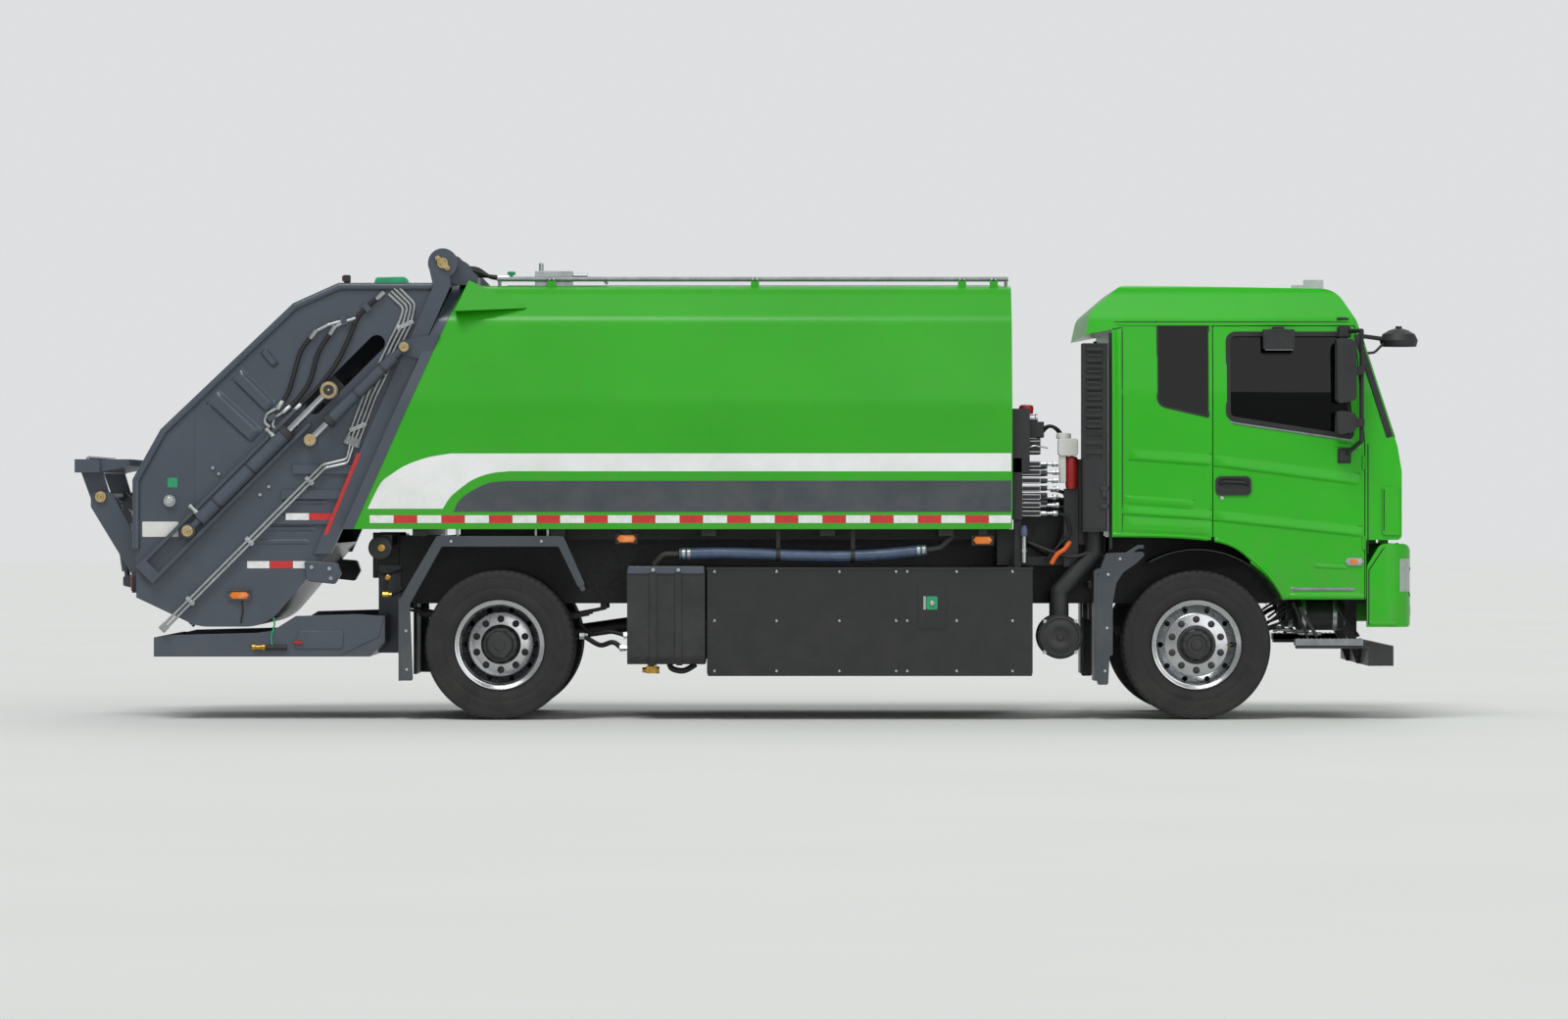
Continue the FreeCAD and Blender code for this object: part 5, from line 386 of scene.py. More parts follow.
def makeFinish(name, colour, shade, rough, patch, grain, bump, more):
    # colour drifts between two shades in patches, dirt gathers low down in splashes, and roughness and bump
    # share a grain
    material = bpy.data.materials.new(name)
    material.use_nodes = True
    shader = material.node_tree.nodes["Principled BSDF"]
    shader.inputs["Coat Roughness"].default_value = 0.08
    for key, socket in shaderSockets.items():
        if key in more:
            shader.inputs[socket].default_value = more[key]
    place = addNode(material, "ShaderNodeTexCoord").outputs["Object"]
    stretch = addNode(material, "ShaderNodeMapping", {"Scale": more.get("stretch", (1, 1, 1))},
        {"Vector": place}).outputs[0]
    patches = addNode(material, "ShaderNodeTexNoise", {"Scale": 1 / patch, "Detail": 5.0, "Roughness": 0.55},
        {"Vector": stretch}).outputs["Fac"]
    grains = addNode(material, "ShaderNodeTexNoise", {"Scale": 1 / grain, "Detail": 3.0},
        {"Vector": stretch}).outputs["Fac"]
    drift = addNode(material, "ShaderNodeMapRange", {"From Min": 0.35, "From Max": 0.68},
        {"Value": patches}).outputs[0]
    tint = addNode(material, "ShaderNodeMix", {6: linearColour(colour), 7: linearColour(shade)}, {0: drift},
        data_type="RGBA").outputs[2]
    if "dirt" in more:
        dirt, top, most = more["dirt"]
        height = addNode(material, "ShaderNodeSeparateXYZ", links={0: place}).outputs["Z"]
        low = addNode(material, "ShaderNodeMapRange", {"From Min": top, "From Max": top - 0.9, "To Max": most},
            {"Value": height}).outputs[0]
        splash = addNode(material, "ShaderNodeTexNoise", {"Scale": 5.5, "Detail": 8.0, "Roughness": 0.7},
            {"Vector": place}).outputs["Fac"]
        splash = addNode(material, "ShaderNodeMapRange", {"From Min": 0.38, "From Max": 0.66},
            {"Value": splash}).outputs[0]
        film = addNode(material, "ShaderNodeMath", {1: 0.05}, {0: low}, operation="ADD").outputs[0]
        film = addNode(material, "ShaderNodeMath", links={0: film, 1: splash}, operation="MULTIPLY",
            use_clamp=True).outputs[0]
        tint = addNode(material, "ShaderNodeMix", {7: linearColour(dirt)}, {0: film, 6: tint},
            data_type="RGBA").outputs[2]
    roughness = addNode(material, "ShaderNodeMapRange", {"From Min": 0.3, "From Max": 0.7, "To Min": rough[0],
        "To Max": rough[1]}, {"Value": grains}).outputs[0]
    relief = addNode(material, "ShaderNodeBump", {"Strength": bump, "Distance": more.get("depth", 0.001)},
        {"Height": grains}).outputs[0]
    for socket, value in (("Base Color", tint), ("Roughness", roughness), ("Normal", relief)):
        material.node_tree.links.new(value, shader.inputs[socket])
    return material


shaderSockets = {"metallic": "Metallic", "coat": "Coat Weight", "level": "Specular IOR Level", "ior": "IOR",
                 "sheen": "Sheen Weight", "clear": "Transmission Weight"}
finishes = {
    # name: colour, its second shade, roughness range, sizes of patches and of grain in metres, bump, and the
    # rest, where dirt is its colour, the height below which it gathers and its share 0.9 m further down
    # two-coat sprayed enamel: deep colour under a glossy clear layer, faint orange peel, road film low down
    "bodyEnamel": ("#2DA416", "#299D14", (0.33, 0.35), 0.9, 0.05, 0.015,
                   {"coat": 0.12, "level": 0.3, "dirt": ("#6E7B55", 1.9, 0.3)}),
    # the cab's enamel is newer and brighter than the body's
    "cabEnamel": ("#26AE0D", "#22A80B", (0.28, 0.295), 0.8, 0.05, 0.01,
                  {"coat": 0.12, "level": 0.3, "dirt": ("#6E7B55", 1.6, 0.25)}),
    # single-coat polyurethane paint on welded plate: satin, slightly cloudy, grime in the low parts
    "tailEnamel": ("#404955", "#39424D", (0.34, 0.5), 0.5, 0.02, 0.12,
                   {"coat": 0.25, "dirt": ("#5E5C58", 1.4, 0.15)}),
    # chassis black: brushed-on satin paint with road dust
    "chassisBlack": ("#17181A", "#1F2123", (0.42, 0.6), 0.35, 0.015, 0.2,
                     {"coat": 0.1, "dirt": ("#4E4C49", 1.2, 0.2)}),
    # powder coat on the battery cases: even fine texture, low sheen
    "caseBlack": ("#151617", "#1A1B1C", (0.48, 0.58), 0.7, 0.008, 0.25, {"dirt": ("#4E4C49", 1.0, 0.12)}),
    # moulded polypropylene trim: leather-like grain, dull
    "mouldedBlack": ("#1A1B1D", "#232426", (0.5, 0.66), 0.25, 0.006, 0.3, {"dirt": ("#524F4B", 1.3, 0.15)}),
    # blue-grey painted sheet of the mudguards, dusty
    "mudguardGrey": ("#3C434A", "#353B42", (0.45, 0.58), 0.3, 0.012, 0.12,
                     {"coat": 0.1, "dirt": ("#5F5E58", 1.2, 0.35)}),
    # cast and forged steel under thin paint: rough, a little brown at the low spots
    "castSteel": ("#33363A", "#3E3C39", (0.5, 0.72), 0.2, 0.006, 0.35,
                  {"metallic": 0.3, "dirt": ("#5B574F", 1.1, 0.3)}),
    # hard chrome on a ground piston rod: a mirror with faint draw lines along it
    "hardChrome": ("#C9CCCF", "#B9BCC0", (0.08, 0.2), 0.2, 0.01, 0.04, {"metallic": 1.0, "stretch": (1, 4, 1)}),
    # zinc-plated steel: pale, slightly spangled, for pipes, nuts and brackets
    "zincPlate": ("#B9BDBF", "#A3A7A8", (0.24, 0.42), 0.08, 0.01, 0.1, {"metallic": 0.9}),
    # yellow-passivated pins and grease caps: brassy with rainbow patches
    "yellowPassivate": ("#C7B58A", "#B79C63", (0.28, 0.45), 0.05, 0.008, 0.1, {"metallic": 0.85}),
    # hot-dip galvanised plate
    "galvanised": ("#8E9396", "#7A7F82", (0.38, 0.55), 0.06, 0.012, 0.15, {"metallic": 0.75}),
    # polished forged aluminium wheel: bright, fine turning marks, brake dust
    "polishedAlloy": ("#C6C8CA", "#B2B4B5", (0.16, 0.3), 0.12, 0.008, 0.06,
                      {"metallic": 1.0, "dirt": ("#4C4843", 0.95, 0.18)}),
    # tyre rubber: matt, dusty grey in the tread, faint mould lines
    "tyreRubber": ("#141415", "#1C1C1C", (0.62, 0.82), 0.15, 0.006, 0.35,
                   {"depth": 0.0015, "dirt": ("#514E49", 0.55, 0.28)}),
    # soft black rubber: seals, hoses, mud flaps; also the painted shade laid in the gaps at the door's front
    # edge, the deflector slots and the cab's back
    "softRubberAndGapShade": ("#161617", "#1F1F20", (0.5, 0.68), 0.1, 0.005, 0.2, {}),
    # toughened tinted glass: dark grey body, mirror-smooth, thin dust film
    "tintedGlass": ("#0C0E0F", "#121516", (0.02, 0.06), 0.5, 0.3, 0.01, {"clear": 0.85, "ior": 1.3}),
    # silvered mirror glass
    "mirrorGlass": ("#DADDDF", "#D2D5D7", (0.02, 0.05), 0.4, 0.2, 0.005, {"metallic": 1.0}),
    # polycarbonate lamp covers over reflectors
    "lampClear": ("#D9DCDD", "#C9CDD0", (0.06, 0.16), 0.05, 0.012, 0.3,
                  {"clear": 0.5, "ior": 1.58, "depth": 0.002, "coat": 0.6}),
    "lampAmber": ("#F0830C", "#E07205", (0.1, 0.22), 0.04, 0.008, 0.35,
                  {"clear": 0.15, "ior": 1.58, "depth": 0.002, "coat": 0.6}),
    "lampRed": ("#B5120F", "#9C0C0B", (0.1, 0.22), 0.04, 0.008, 0.35,
                {"clear": 0.15, "ior": 1.58, "depth": 0.002, "coat": 0.6}),
    # cast vinyl film: smooth, edges lifting a little dust
    "whiteVinyl": ("#E7E9E8", "#DDE0DE", (0.3, 0.42), 0.5, 0.03, 0.04, {"dirt": ("#A7A798", 2.0, 0.25)}),
    "greyVinyl": ("#3B4248", "#343B41", (0.32, 0.45), 0.5, 0.03, 0.04, {"dirt": ("#77766C", 1.9, 0.22)}),
    # retroreflective tape: a faint bead pattern under film
    "tapeWhite": ("#E3E4E2", "#D3D4D3", (0.22, 0.34), 0.03, 0.005, 0.25, {"coat": 0.5}),
    "tapeRed": ("#C8201C", "#B41A18", (0.22, 0.34), 0.03, 0.005, 0.25, {"coat": 0.5}),
    # woven seat cloth with a nap
    "seatCloth": ("#2B2D31", "#36393E", (0.75, 0.92), 0.05, 0.003, 0.6, {"sheen": 0.35, "depth": 0.0012}),
    # grey moulded cab interior
    "cabinGrey": ("#3A3C3E", "#434547", (0.55, 0.7), 0.2, 0.006, 0.25, {}),
    # braided and painted service lines
    "redHose": ("#A81F1B", "#8C1815", (0.4, 0.55), 0.05, 0.005, 0.3, {}),
    "blueHose": ("#4A5B78", "#3C4A63", (0.38, 0.52), 0.06, 0.006, 0.25, {"coat": 0.2}),
    "orangeSleeve": ("#E0641A", "#C9530F", (0.42, 0.58), 0.03, 0.004, 0.35, {}),
    "brass": ("#C39A4A", "#A8813A", (0.25, 0.42), 0.04, 0.006, 0.15, {"metallic": 1.0}),
    "blankPlate": ("#D8D9D4", "#CDCEC8", (0.35, 0.5), 0.1, 0.01, 0.1, {"dirt": ("#8C887C", 1.5, 0.2)}),
    "greenTag": ("#1F9E68", "#1A8C5B", (0.35, 0.5), 0.05, 0.01, 0.1, {}),
}
finish = {name: makeFinish(name, *spec) for name, spec in finishes.items()}

slotFinish = {
    "chassis_black": "chassisBlack", "body_green": "bodyEnamel", "cab_green": "cabEnamel",
    "slate_grey": "tailEnamel", "steel_grey": "castSteel", "rod_chrome": "hardChrome", "tyre": "tyreRubber",
    "rim": "polishedAlloy", "glass": "tintedGlass", "black_plastic": "mouldedBlack", "lamp": "lampClear",
    "seat_fabric": "seatCloth", "galvanised": "galvanised",
}
nodeFinish = {
    "battery_boxes": "caseBlack", "dashboard": "cabinGrey", "valve_bank": "chassisBlack",
    "mudguards": "mudguardGrey", "slide_barrels": "tailEnamel", "lift_barrels": "tailEnamel",
    "bin_barrels": "tailEnamel",
}
for row in frame["record"]["subparts"]:
    chosen = finish[nodeFinish.get(row["node"], slotFinish[row["material_slot"]])]
    node = cadNodes[row["node"]]
    node.data.materials.clear()
    node.data.materials.append(chosen)
print("finishes:", len(finish))


# wheels: tread, sidewalls, wheel nuts, hub caps

tyreSpec = {
    "radius": 0.506, "rimRadius": 0.292, "halfWidth": 0.1375, "grooveDepth": 0.011, "rows": 5, "lugs": 62,
    "steps": 372, "valley": 0.3,
}


def tyreSurface(middle, spec):
    # P(u, v): a closed section profile(u) = (across, radius), turned by v; where the profile is on the tread,
    # the radius drops by the groove depth inside the ring grooves and the staggered cross cuts
    half, outer, bead = spec["halfWidth"], spec["radius"], spec["rimRadius"] + 0.001
    wall = [(0.118, bead - 0.004), (0.127, bead + 0.006), (0.1345, bead + 0.02), (0.1365, bead + 0.034),
        (0.1352, bead + 0.036), (0.1366, bead + 0.04), (0.137, bead + 0.06), (0.1374, bead + 0.085),
        (0.1362, bead + 0.088), (0.1374, bead + 0.092), (0.1368, outer - 0.085), (0.135, outer - 0.06),
        (0.1336, outer - 0.058), (0.1345, outer - 0.054), (0.1322, outer - 0.034), (0.129, outer - 0.018)]
    across = np.linspace(0.1235, -0.1235, 42)
    crown = outer - 0.006 * (across / half) ** 2 - 0.003 * (np.abs(across / 0.1235) > 0.97)
    tread = np.stack([across, crown], 1)
    inside = [(-0.105, bead), (-0.11, bead + 0.03), (-0.12, outer - 0.06), (-0.1, outer - 0.032),
        (0.1, outer - 0.032), (0.12, outer - 0.06), (0.11, bead + 0.03), (0.105, bead)]
    wall = np.array(wall)
    profile = np.concatenate([wall, tread, wall[::-1] * (-1, 1), inside])
    onTread = np.zeros(len(profile), bool)
    onTread[len(wall):len(wall) + len(tread)] = True
    v = np.arange(spec["steps"]) * 2 * math.pi / spec["steps"]
    x, row = profile[:, 0][:, None], (profile[:, 0][:, None] / half + 1) * spec["rows"] / 2
    nearest, rib = np.round(row), np.floor(row)
    ringGroove = (np.abs(row - nearest) < 0.075) & (nearest > 0.5) & (nearest < spec["rows"] - 0.5)
    phase = (v[None, :] * spec["lugs"] / (2 * math.pi) + 0.5 * rib + 0.35 * np.sin(x * 60)) % 1
    crossGroove = (phase < spec["valley"]) & ((rib == 0) | (rib == spec["rows"] - 1) | (phase < 0.17))
    cut = (ringGroove | crossGroove) & onTread[:, None]
    radius = profile[:, 1][:, None] - spec["grooveDepth"] * cut * (0.6 + 0.4 * ringGroove)
    points = np.stack([radius * np.cos(v), np.broadcast_to(x, radius.shape) + middle, radius * np.sin(v)], -1)
    return outward(gridPart(points, closedU=True, closedV=True))


rimSpec = {"nuts": 10, "nutCircle": 0.172, "nutSize": 0.032, "nutHeight": 0.026, "handHoles": 10,
           "handHoleCircle": 0.2405, "handHoleRadius": 0.0185}


def flangeRing(y, sign):
    # the rolled edge of the rim: a small closed section turned about the axle
    profile = [(0.0, 0.276), (0.004, 0.292), (0.012, 0.3005), (0.019, 0.3035), (0.0225, 0.3),
        (0.02, 0.292), (0.014, 0.284), (0.01, 0.272), (0.002, 0.268)]
    return lathePart([(y + sign * (a - 0.006), r) for a, r in profile], 96, closed=True)


def rimBarrel(middle, sign):
    # the well that carries the tyre: a closed section turned about the axle
    profile = [(-0.129, 0.291), (0.129, 0.291), (0.129, 0.279), (0.108, 0.275), (0.092, 0.266), (0.07, 0.262),
        (-0.07, 0.262), (-0.1, 0.27), (-0.129, 0.279)]
    return lathePart([(middle + sign * a, r) for a, r in profile], 96, closed=True)


def rimDisc(face, sign, slope, spec):
    # bolt face, step and dished slope out to the well; slope > 0 falls inwards, < 0 rises outwards
    front = [(0.0, 0.086), (0.0, 0.206), (-0.003, 0.213), (-0.012 * np.sign(slope) - 0.002, 0.22),
        (-slope * 0.62, 0.243), (-slope, 0.2625)]
    back = [(a - 0.013, r) for a, r in front[::-1]]
    disc = lathePart([(face + sign * a, r) for a, r in front + back], 120, closed=True)
    angles = np.arange(spec["handHoles"]) * 2 * math.pi / spec["handHoles"]
    cutter = lathePart([(face - 0.12, spec["handHoleRadius"]), (face + 0.12, spec["handHoleRadius"])], 20)
    places = np.stack([spec["handHoleCircle"] * np.cos(angles), np.zeros_like(angles),
        spec["handHoleCircle"] * np.sin(angles)], 1)
    return disc, copiesAt(cutter, places)


def pierced(part, cutter):
    # the part with the cutter's solids taken out, by one exact boolean whose result is kept as a plain part
    solids = []
    for name, (points, faces) in (("pierced", part), ("cutter", cutter)):
        mesh = bpy.data.meshes.new(name)
        mesh.from_pydata(points.tolist(), [], faces)
        solids.append(newObject(name, mesh))
    cut = solids[0].modifiers.new("cut", "BOOLEAN")
    cut.object, cut.operation, cut.solver = solids[1], "DIFFERENCE", "EXACT"
    done = bpy.data.meshes.new_from_object(solids[0].evaluated_get(bpy.context.evaluated_depsgraph_get()))
    points = np.zeros(len(done.vertices) * 3)
    done.vertices.foreach_get("co", points)
    faces = [tuple(face.vertices) for face in done.polygons]
    for solid in solids:
        mesh = solid.data
        bpy.data.objects.remove(solid)
        bpy.data.meshes.remove(mesh)
    bpy.data.meshes.remove(done)
    return points.reshape(-1, 3), faces


def nutRing(seat, sign, spec):
    # ten hexagon nuts with washers round the hub
    nut = [hexPart(spec["nutSize"], spec["nutHeight"]),
        lathePart([(-0.004, 0.024), (0.002, 0.024), (0.004, 0.021)], 20)]
    angles = (np.arange(spec["nuts"]) + 0.5) * 2 * math.pi / spec["nuts"]
    nut = nut if sign > 0 else mirrorPart(nut)
    r = spec["nutCircle"]
    places = np.stack([r * np.cos(angles), np.full_like(angles, seat), r * np.sin(angles)], 1)
    return copiesAt(nut, places, turnAbout("y", -angles))


hubSteps = {  # outline of the hub and its cap: distance out from the bolt ring, and radius
    "front": [(0.0, 0.132), (0.01, 0.13), (0.016, 0.112), (0.03, 0.102), (0.046, 0.098), (0.055, 0.09),
              (0.058, 0.07), (0.05, 0.064), (0.05, 0.04), (0.056, 0.036), (0.058, 0.01)],
    "rear": [(0.0, 0.135), (0.03, 0.132), (0.05, 0.118), (0.12, 0.112), (0.15, 0.108), (0.152, 0.094),
             (0.195, 0.088), (0.205, 0.078), (0.207, 0.04), (0.212, 0.036), (0.213, 0.008)],
}
wheelPlaces = {  # axle x, tyre middles, outer face of the bolt ring, and how the dish slopes
    "front": {"x": 3.04, "middles": (1.02,), "face": (1.1375,), "slope": (0.058,)},
    "rear": {"x": -1.66, "middles": (1.085, 0.775), "face": (0.9915, 0.8805), "slope": (-0.048, 0.048)},
}
for sideName, sign in (("right", -1), ("left", 1)):
    for axle, place in wheelPlaces.items():
        shift = np.array([place["x"], 0, 0.506])
        body = ("wheel_front_" if axle == "front" else "wheels_rear_") + sideName
        tail = axle + "_" + sideName
        tread = [tyreSurface(sign * middle, tyreSpec) for middle in place["middles"]]
        tyre = addPiece("tread_" + tail, copiesAt(tread, [shift]), "tyreRubber", body, slot="tyre", smooth=28)
        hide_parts(("tyre_" if axle == "front" else "tyres_") + tail)
        metal = []
        for middle, face, slope in zip(place["middles"], place["face"], place["slope"]):
            metal.append(rimBarrel(sign * middle, sign))
            metal.append(pierced(*rimDisc(sign * face, sign, slope, rimSpec)))
            metal.extend(flangeRing(sign * (middle + s * 0.1285), sign * s) for s in (-1, 1))
        rim = addPiece("alloy_" + tail, copiesAt(metal, [shift]), "polishedAlloy", body, slot="rim")
        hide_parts(("rim_" if axle == "front" else "rims_") + tail)
        hub = lathePart([(sign * (place["face"][0] - 0.001 + a), r) for a, r in hubSteps[axle]], 72)
        ear = hexPart(0.018, 0.008)
        around = (np.arange(8) + 0.5) * math.pi / 4
        reachOut = sign * (place["face"][0] - 0.002 + {"front": 0.052, "rear": 0.15}[axle])
        circle = {"front": 0.08, "rear": 0.1}[axle]
        bolts = copiesAt(ear if sign > 0 else mirrorPart(ear), np.stack([circle * np.cos(around),
            np.full(8, reachOut), circle * np.sin(around)], 1))
        drum = lathePart([(sign * a, r)
            for a, r in ((0.66, 0.2), (0.68, 0.215), (0.86, 0.215), (0.872, 0.19))], 64)
        dark = [hub, bolts] + ([drum] if axle == "rear" else [])
        addPiece("hub_" + tail, copiesAt(dark, [shift]), "chassisBlack", body, slot="black_plastic")
        nuts = nutRing(sign * place["face"][0], sign, rimSpec)
        addPiece("wheel_nuts_" + tail, copiesAt(nuts, [shift]), "castSteel", body, slot="rim", bevel=0.001)
        valve = bentPath([(0.245, sign * (place["face"][0] - 0.01), 0.0),
            (0.235, sign * (place["face"][0] + 0.03), 0.0), (0.225, sign * (place["face"][0] + 0.055), 0.0)],
            0.02)
        addPiece("valve_" + tail, copiesAt(tubePart(valve, 0.005, 10, (0, 0, 1)), [shift]), "brass", body,
            slot="rim")
print("wheels done")


# body livery, marker lamps, gussets and roof lines

bodySide = {
    "face": 1.245,  # the flat of the side, from the middle of the truck
    "film": 0.0012,
    "whiteBand": (1.676, 1.798), "greyBand": (1.403, 1.614), "front": 1.788,
    # rear ends of the two bands: points on their outer and inner curves, in side view
    "whiteOuter": [(-2.547, 1.424), (-2.461, 1.592), (-2.394, 1.651), (-2.285, 1.719), (-2.142, 1.769),
                   (-1.99, 1.796)],
    "whiteInner": [(-1.595, 1.677), (-1.72, 1.662), (-1.838, 1.62), (-1.922, 1.561), (-1.99, 1.502),
                   (-2.041, 1.424)],
    "greyInner": [(-1.969, 1.403), (-1.94, 1.466), (-1.889, 1.516), (-1.805, 1.567), (-1.72, 1.6),
                  (-1.6, 1.612)],
    "tapeLow": 1.328, "tapeHigh": 1.38, "tapeStart": -2.533, "tapePeriod": 0.3208, "tapeRed": 0.158,
}


def sideFilm(outline):
    # one flat film on each side of the body, an outline in side view of the film's thickness
    return bothSides(slabPart(outline, bodySide["face"] - 0.001, bodySide["face"] + bodySide["film"]))


def curveThrough(knots):
    # side-view curve through (x, z) knots
    return smoothPath([(x, 0, z) for x, z in knots], 6)[:, [0, 2]]


low, high = bodySide["whiteBand"]
whiteShape = np.concatenate([curveThrough(bodySide["whiteOuter"]), [(bodySide["front"], high),
    (bodySide["front"], low)], curveThrough(bodySide["whiteInner"])])
addPiece("body_white_band", sideFilm(whiteShape), "whiteVinyl", slot="body_green")
low, high = bodySide["greyBand"]
greyShape = np.concatenate([curveThrough(bodySide["greyInner"]),
    [(bodySide["front"], high), (bodySide["front"], low)]])
addPiece("body_grey_band", sideFilm(greyShape), "greyVinyl", slot="body_green")

reds, whites, x = [], [], bodySide["tapeStart"]
while x < bodySide["front"] - 0.05:
    following = x + bodySide["tapePeriod"]
    middle = following - bodySide["tapeRed"]
    for run, start, stop in ((whites, x, middle), (reds, middle, following)):
        stop = min(stop, bodySide["front"])
        if start < stop:
            run.append(sideFilm(rectangle(start, stop - 0.002, bodySide["tapeLow"], bodySide["tapeHigh"])))
    x = following
addPiece("body_tape_white", whites, "tapeWhite", slot="body_green")
addPiece("body_tape_red", reds, "tapeRed", slot="body_green")


def sideLamp(centre, width, height, depth):
    # marker lamp: a wide hexagonal lens, domed by insetting its outline in three steps outwards
    x, y, z = centre
    steps = []
    for out, share in ((0, 1.0), (0.45, 1.0), (0.8, 0.93), (1.0, 0.78)):
        half, tall = width / 2 * share, height / 2 * share
        ring = roundedOutline([(-half, 0, 0.003), (-half * 0.72, -tall, 0.004), (half * 0.72, -tall, 0.004),
            (half, 0, 0.003), (half * 0.72, tall, 0.004), (-half * 0.72, tall, 0.004)], 3)
        steps.append(np.stack([ring[:, 0] + x, np.full(len(ring), y + depth * out), ring[:, 1] + z], -1))
    return outward(capped(np.array(steps)))


lampFace = 1.205
lenses, backs = [], []
for x, z in ((-0.805, 1.221), (1.597, 1.21)):
    lenses.append(bothSides(sideLamp((x, lampFace, z), 0.133, 0.052, 0.028)))
    foot = boxPart(x - 0.075, x + 0.075, lampFace - 0.014, lampFace, z - 0.034, z + 0.034)
    arm = boxPart(x - 0.03, x + 0.03, lampFace - 0.014, lampFace - 0.009, z, 1.288)
    backs.append(bothSides([foot, arm]))
addPiece("body_markers", lenses, "lampAmber", bevel=0.0015)
addPiece("body_marker_backs", backs, "mouldedBlack", bevel=0.002)

# folded gusset between the body's shoulder and the rear frame, one each side: a wedge of five corners
gusset = np.array([(-1.965, -1.232, 2.755), (-1.87, -1.15, 2.968), (-1.466, -1.07, 2.779),
    (-1.965, -1.03, 2.755), (-1.87, -0.93, 2.93)])
gussetPart = outward((gusset, [(0, 2, 1), (0, 3, 2), (1, 2, 4), (0, 1, 4, 3), (3, 4, 2)]))
addPair("body_gussets", gussetPart, "bodyEnamel", bevel=0.006)

bracketY, bracketTop = 0.866, 2.975
posts, clamps = [], []
for x in (-1.32, 0.06, 1.465, 1.68):
    outline = roundedOutline(rectangle(x - 0.028, x + 0.028, 2.885, bracketTop, 0.012), 3)
    posts.append(slabPart(outline, bracketY + 0.03, bracketY + 0.038))
    posts.append(boxPart(x - 0.028, x + 0.028, bracketY - 0.01, bracketY + 0.038, bracketTop - 0.008,
        bracketTop))
    clamps.append(copiesAt(hexPart(0.018, 0.014, "z"), [(x - 0.014, bracketY + 0.02, bracketTop),
        (x + 0.014, bracketY + 0.02, bracketTop)]))
addPair("roof_brackets", posts, "bodyEnamel", bevel=0.002)
addPair("roof_bracket_nuts", clamps, "zincPlate")

# hydraulic lines over the roof to the tail's hinge: steel pipes from a valve block, then black hoses
start, stop = -1.66, -0.945
roofLines = ((-0.8, 2.99, 0.05), (-0.765, 2.994, 0.02), (-0.73, 2.99, 0.07))  # y, height, rise of the hose
pipes = [bentTube([(stop, y, 2.955), (stop - 0.03, y, z), (start, y, z)], 0.03, 0.01, sides=12)
    for y, z, _ in roofLines]
addPiece("roof_pipes", pipes, "zincPlate")
x0, x1, z0, z1 = -1.435, -1.18, 2.985, 3.052
blockPart = [boxPart(x0, x1, -0.83, -0.7, z0 - 0.05, z1 - 0.01), lathePart([(0, 0.016), (0.05, 0.016),
    (0.055, 0.01)], 12, "z", (x0 + 0.04, -0.765, z1 - 0.01)), lathePart([(0, 0.018), (0.1, 0.018)], 12, "x",
    (x1, -0.765, z0 + 0.025))]
addPiece("roof_valve_block", blockPart, "zincPlate", bevel=0.003)
hoses = [flowTube([(-1.64, y, z), (-1.74, y, z + 0.012), (-1.84, y, z + rise), (-1.95, y, z + 0.06),
    (-2.06, y, 2.995)], 0.013) for y, z, rise in roofLines]
addPiece("roof_hoses", hoses, "softRubberAndGapShade")
ends = [lathePart([(0, 0.019), (0.05, 0.019), (0.052, 0.016), (0.075, 0.016)], 6, "x", (-1.69, y, z))
    for y, z, _ in roofLines]
addPiece("roof_hose_ends", ends, "zincPlate")
knob = lathePart([(0, 0.01), (0.03, 0.01), (0.032, 0.026), (0.05, 0.028), (0.056, 0.02)], 16, "z",
    (-1.6, -0.7, 2.985))
addPiece("roof_valve_knob", knob, "greenTag", slot="galvanised")
print("body trim done")


# battery cases, tanks, service pipe and air inlet along the chassis

def sideBolts(spots, y, acrossFlats, height):
    # hex heads on both outer faces: copies of one nut at each (x, z), and the same on the other side
    return bothSides(copiesAt(hexPart(acrossFlats, height), [(x, y, z) for x, z in spots]))


caseOut = 1.2405  # outer face of the battery cases
cases = {
    "seam": 1.066, "rows": (1.0, 0.669, 0.33),
    "columns": (-0.211, 0.207, 0.63, 1.012, 1.087, 1.42, 1.796),
    "door": (1.152, 1.356, 0.608, 0.941), "switch": (1.195, 1.291, 0.744, 0.834),
}
spots = [(x, z) for x in cases["columns"] for z in cases["rows"]]
addPiece("battery_case_bolts", sideBolts(spots, caseOut, 0.016, 0.006), "zincPlate")
ends = (-0.262, cases["seam"] - 0.003), (cases["seam"] + 0.003, 1.932)
covers = [roundBox(x0, x1, 0.306, 1.022, 0.012, caseOut - 0.012, caseOut) for x0, x1 in ends]
addPair("battery_case_covers", covers, "caseBlack", bevel=0.003)
x0, x1, z0, z1 = cases["door"]
door = [roundBox(x0, x1, z0, z1, 0.015, caseOut, caseOut + 0.003), roundBox(x0 + 0.012, x1 - 0.012, z0 + 0.012,
    z1 - 0.012, 0.01, caseOut, caseOut + 0.006)]
addPair("battery_service_door", door, "caseBlack", bevel=0.0015)
x0, x1, z0, z1 = cases["switch"]
switch = roundBox(x0 + 0.022, x1, z0, z1, 0.01, caseOut, caseOut + 0.01)
addPiece("battery_switch_plate", mirrorPart(switch), "greenTag", bevel=0.002)
lever = [boxPart(x0, x0 + 0.018, caseOut, caseOut + 0.012, z0, z1), lathePart([(0, 0.018), (0.012, 0.018),
    (0.016, 0.014)], 20, "y", ((x0 + x1) / 2 + 0.012, caseOut + 0.008, (z0 + z1) / 2))]
addPiece("battery_switch_lever", mirrorPart(lever), "zincPlate", bevel=0.001)

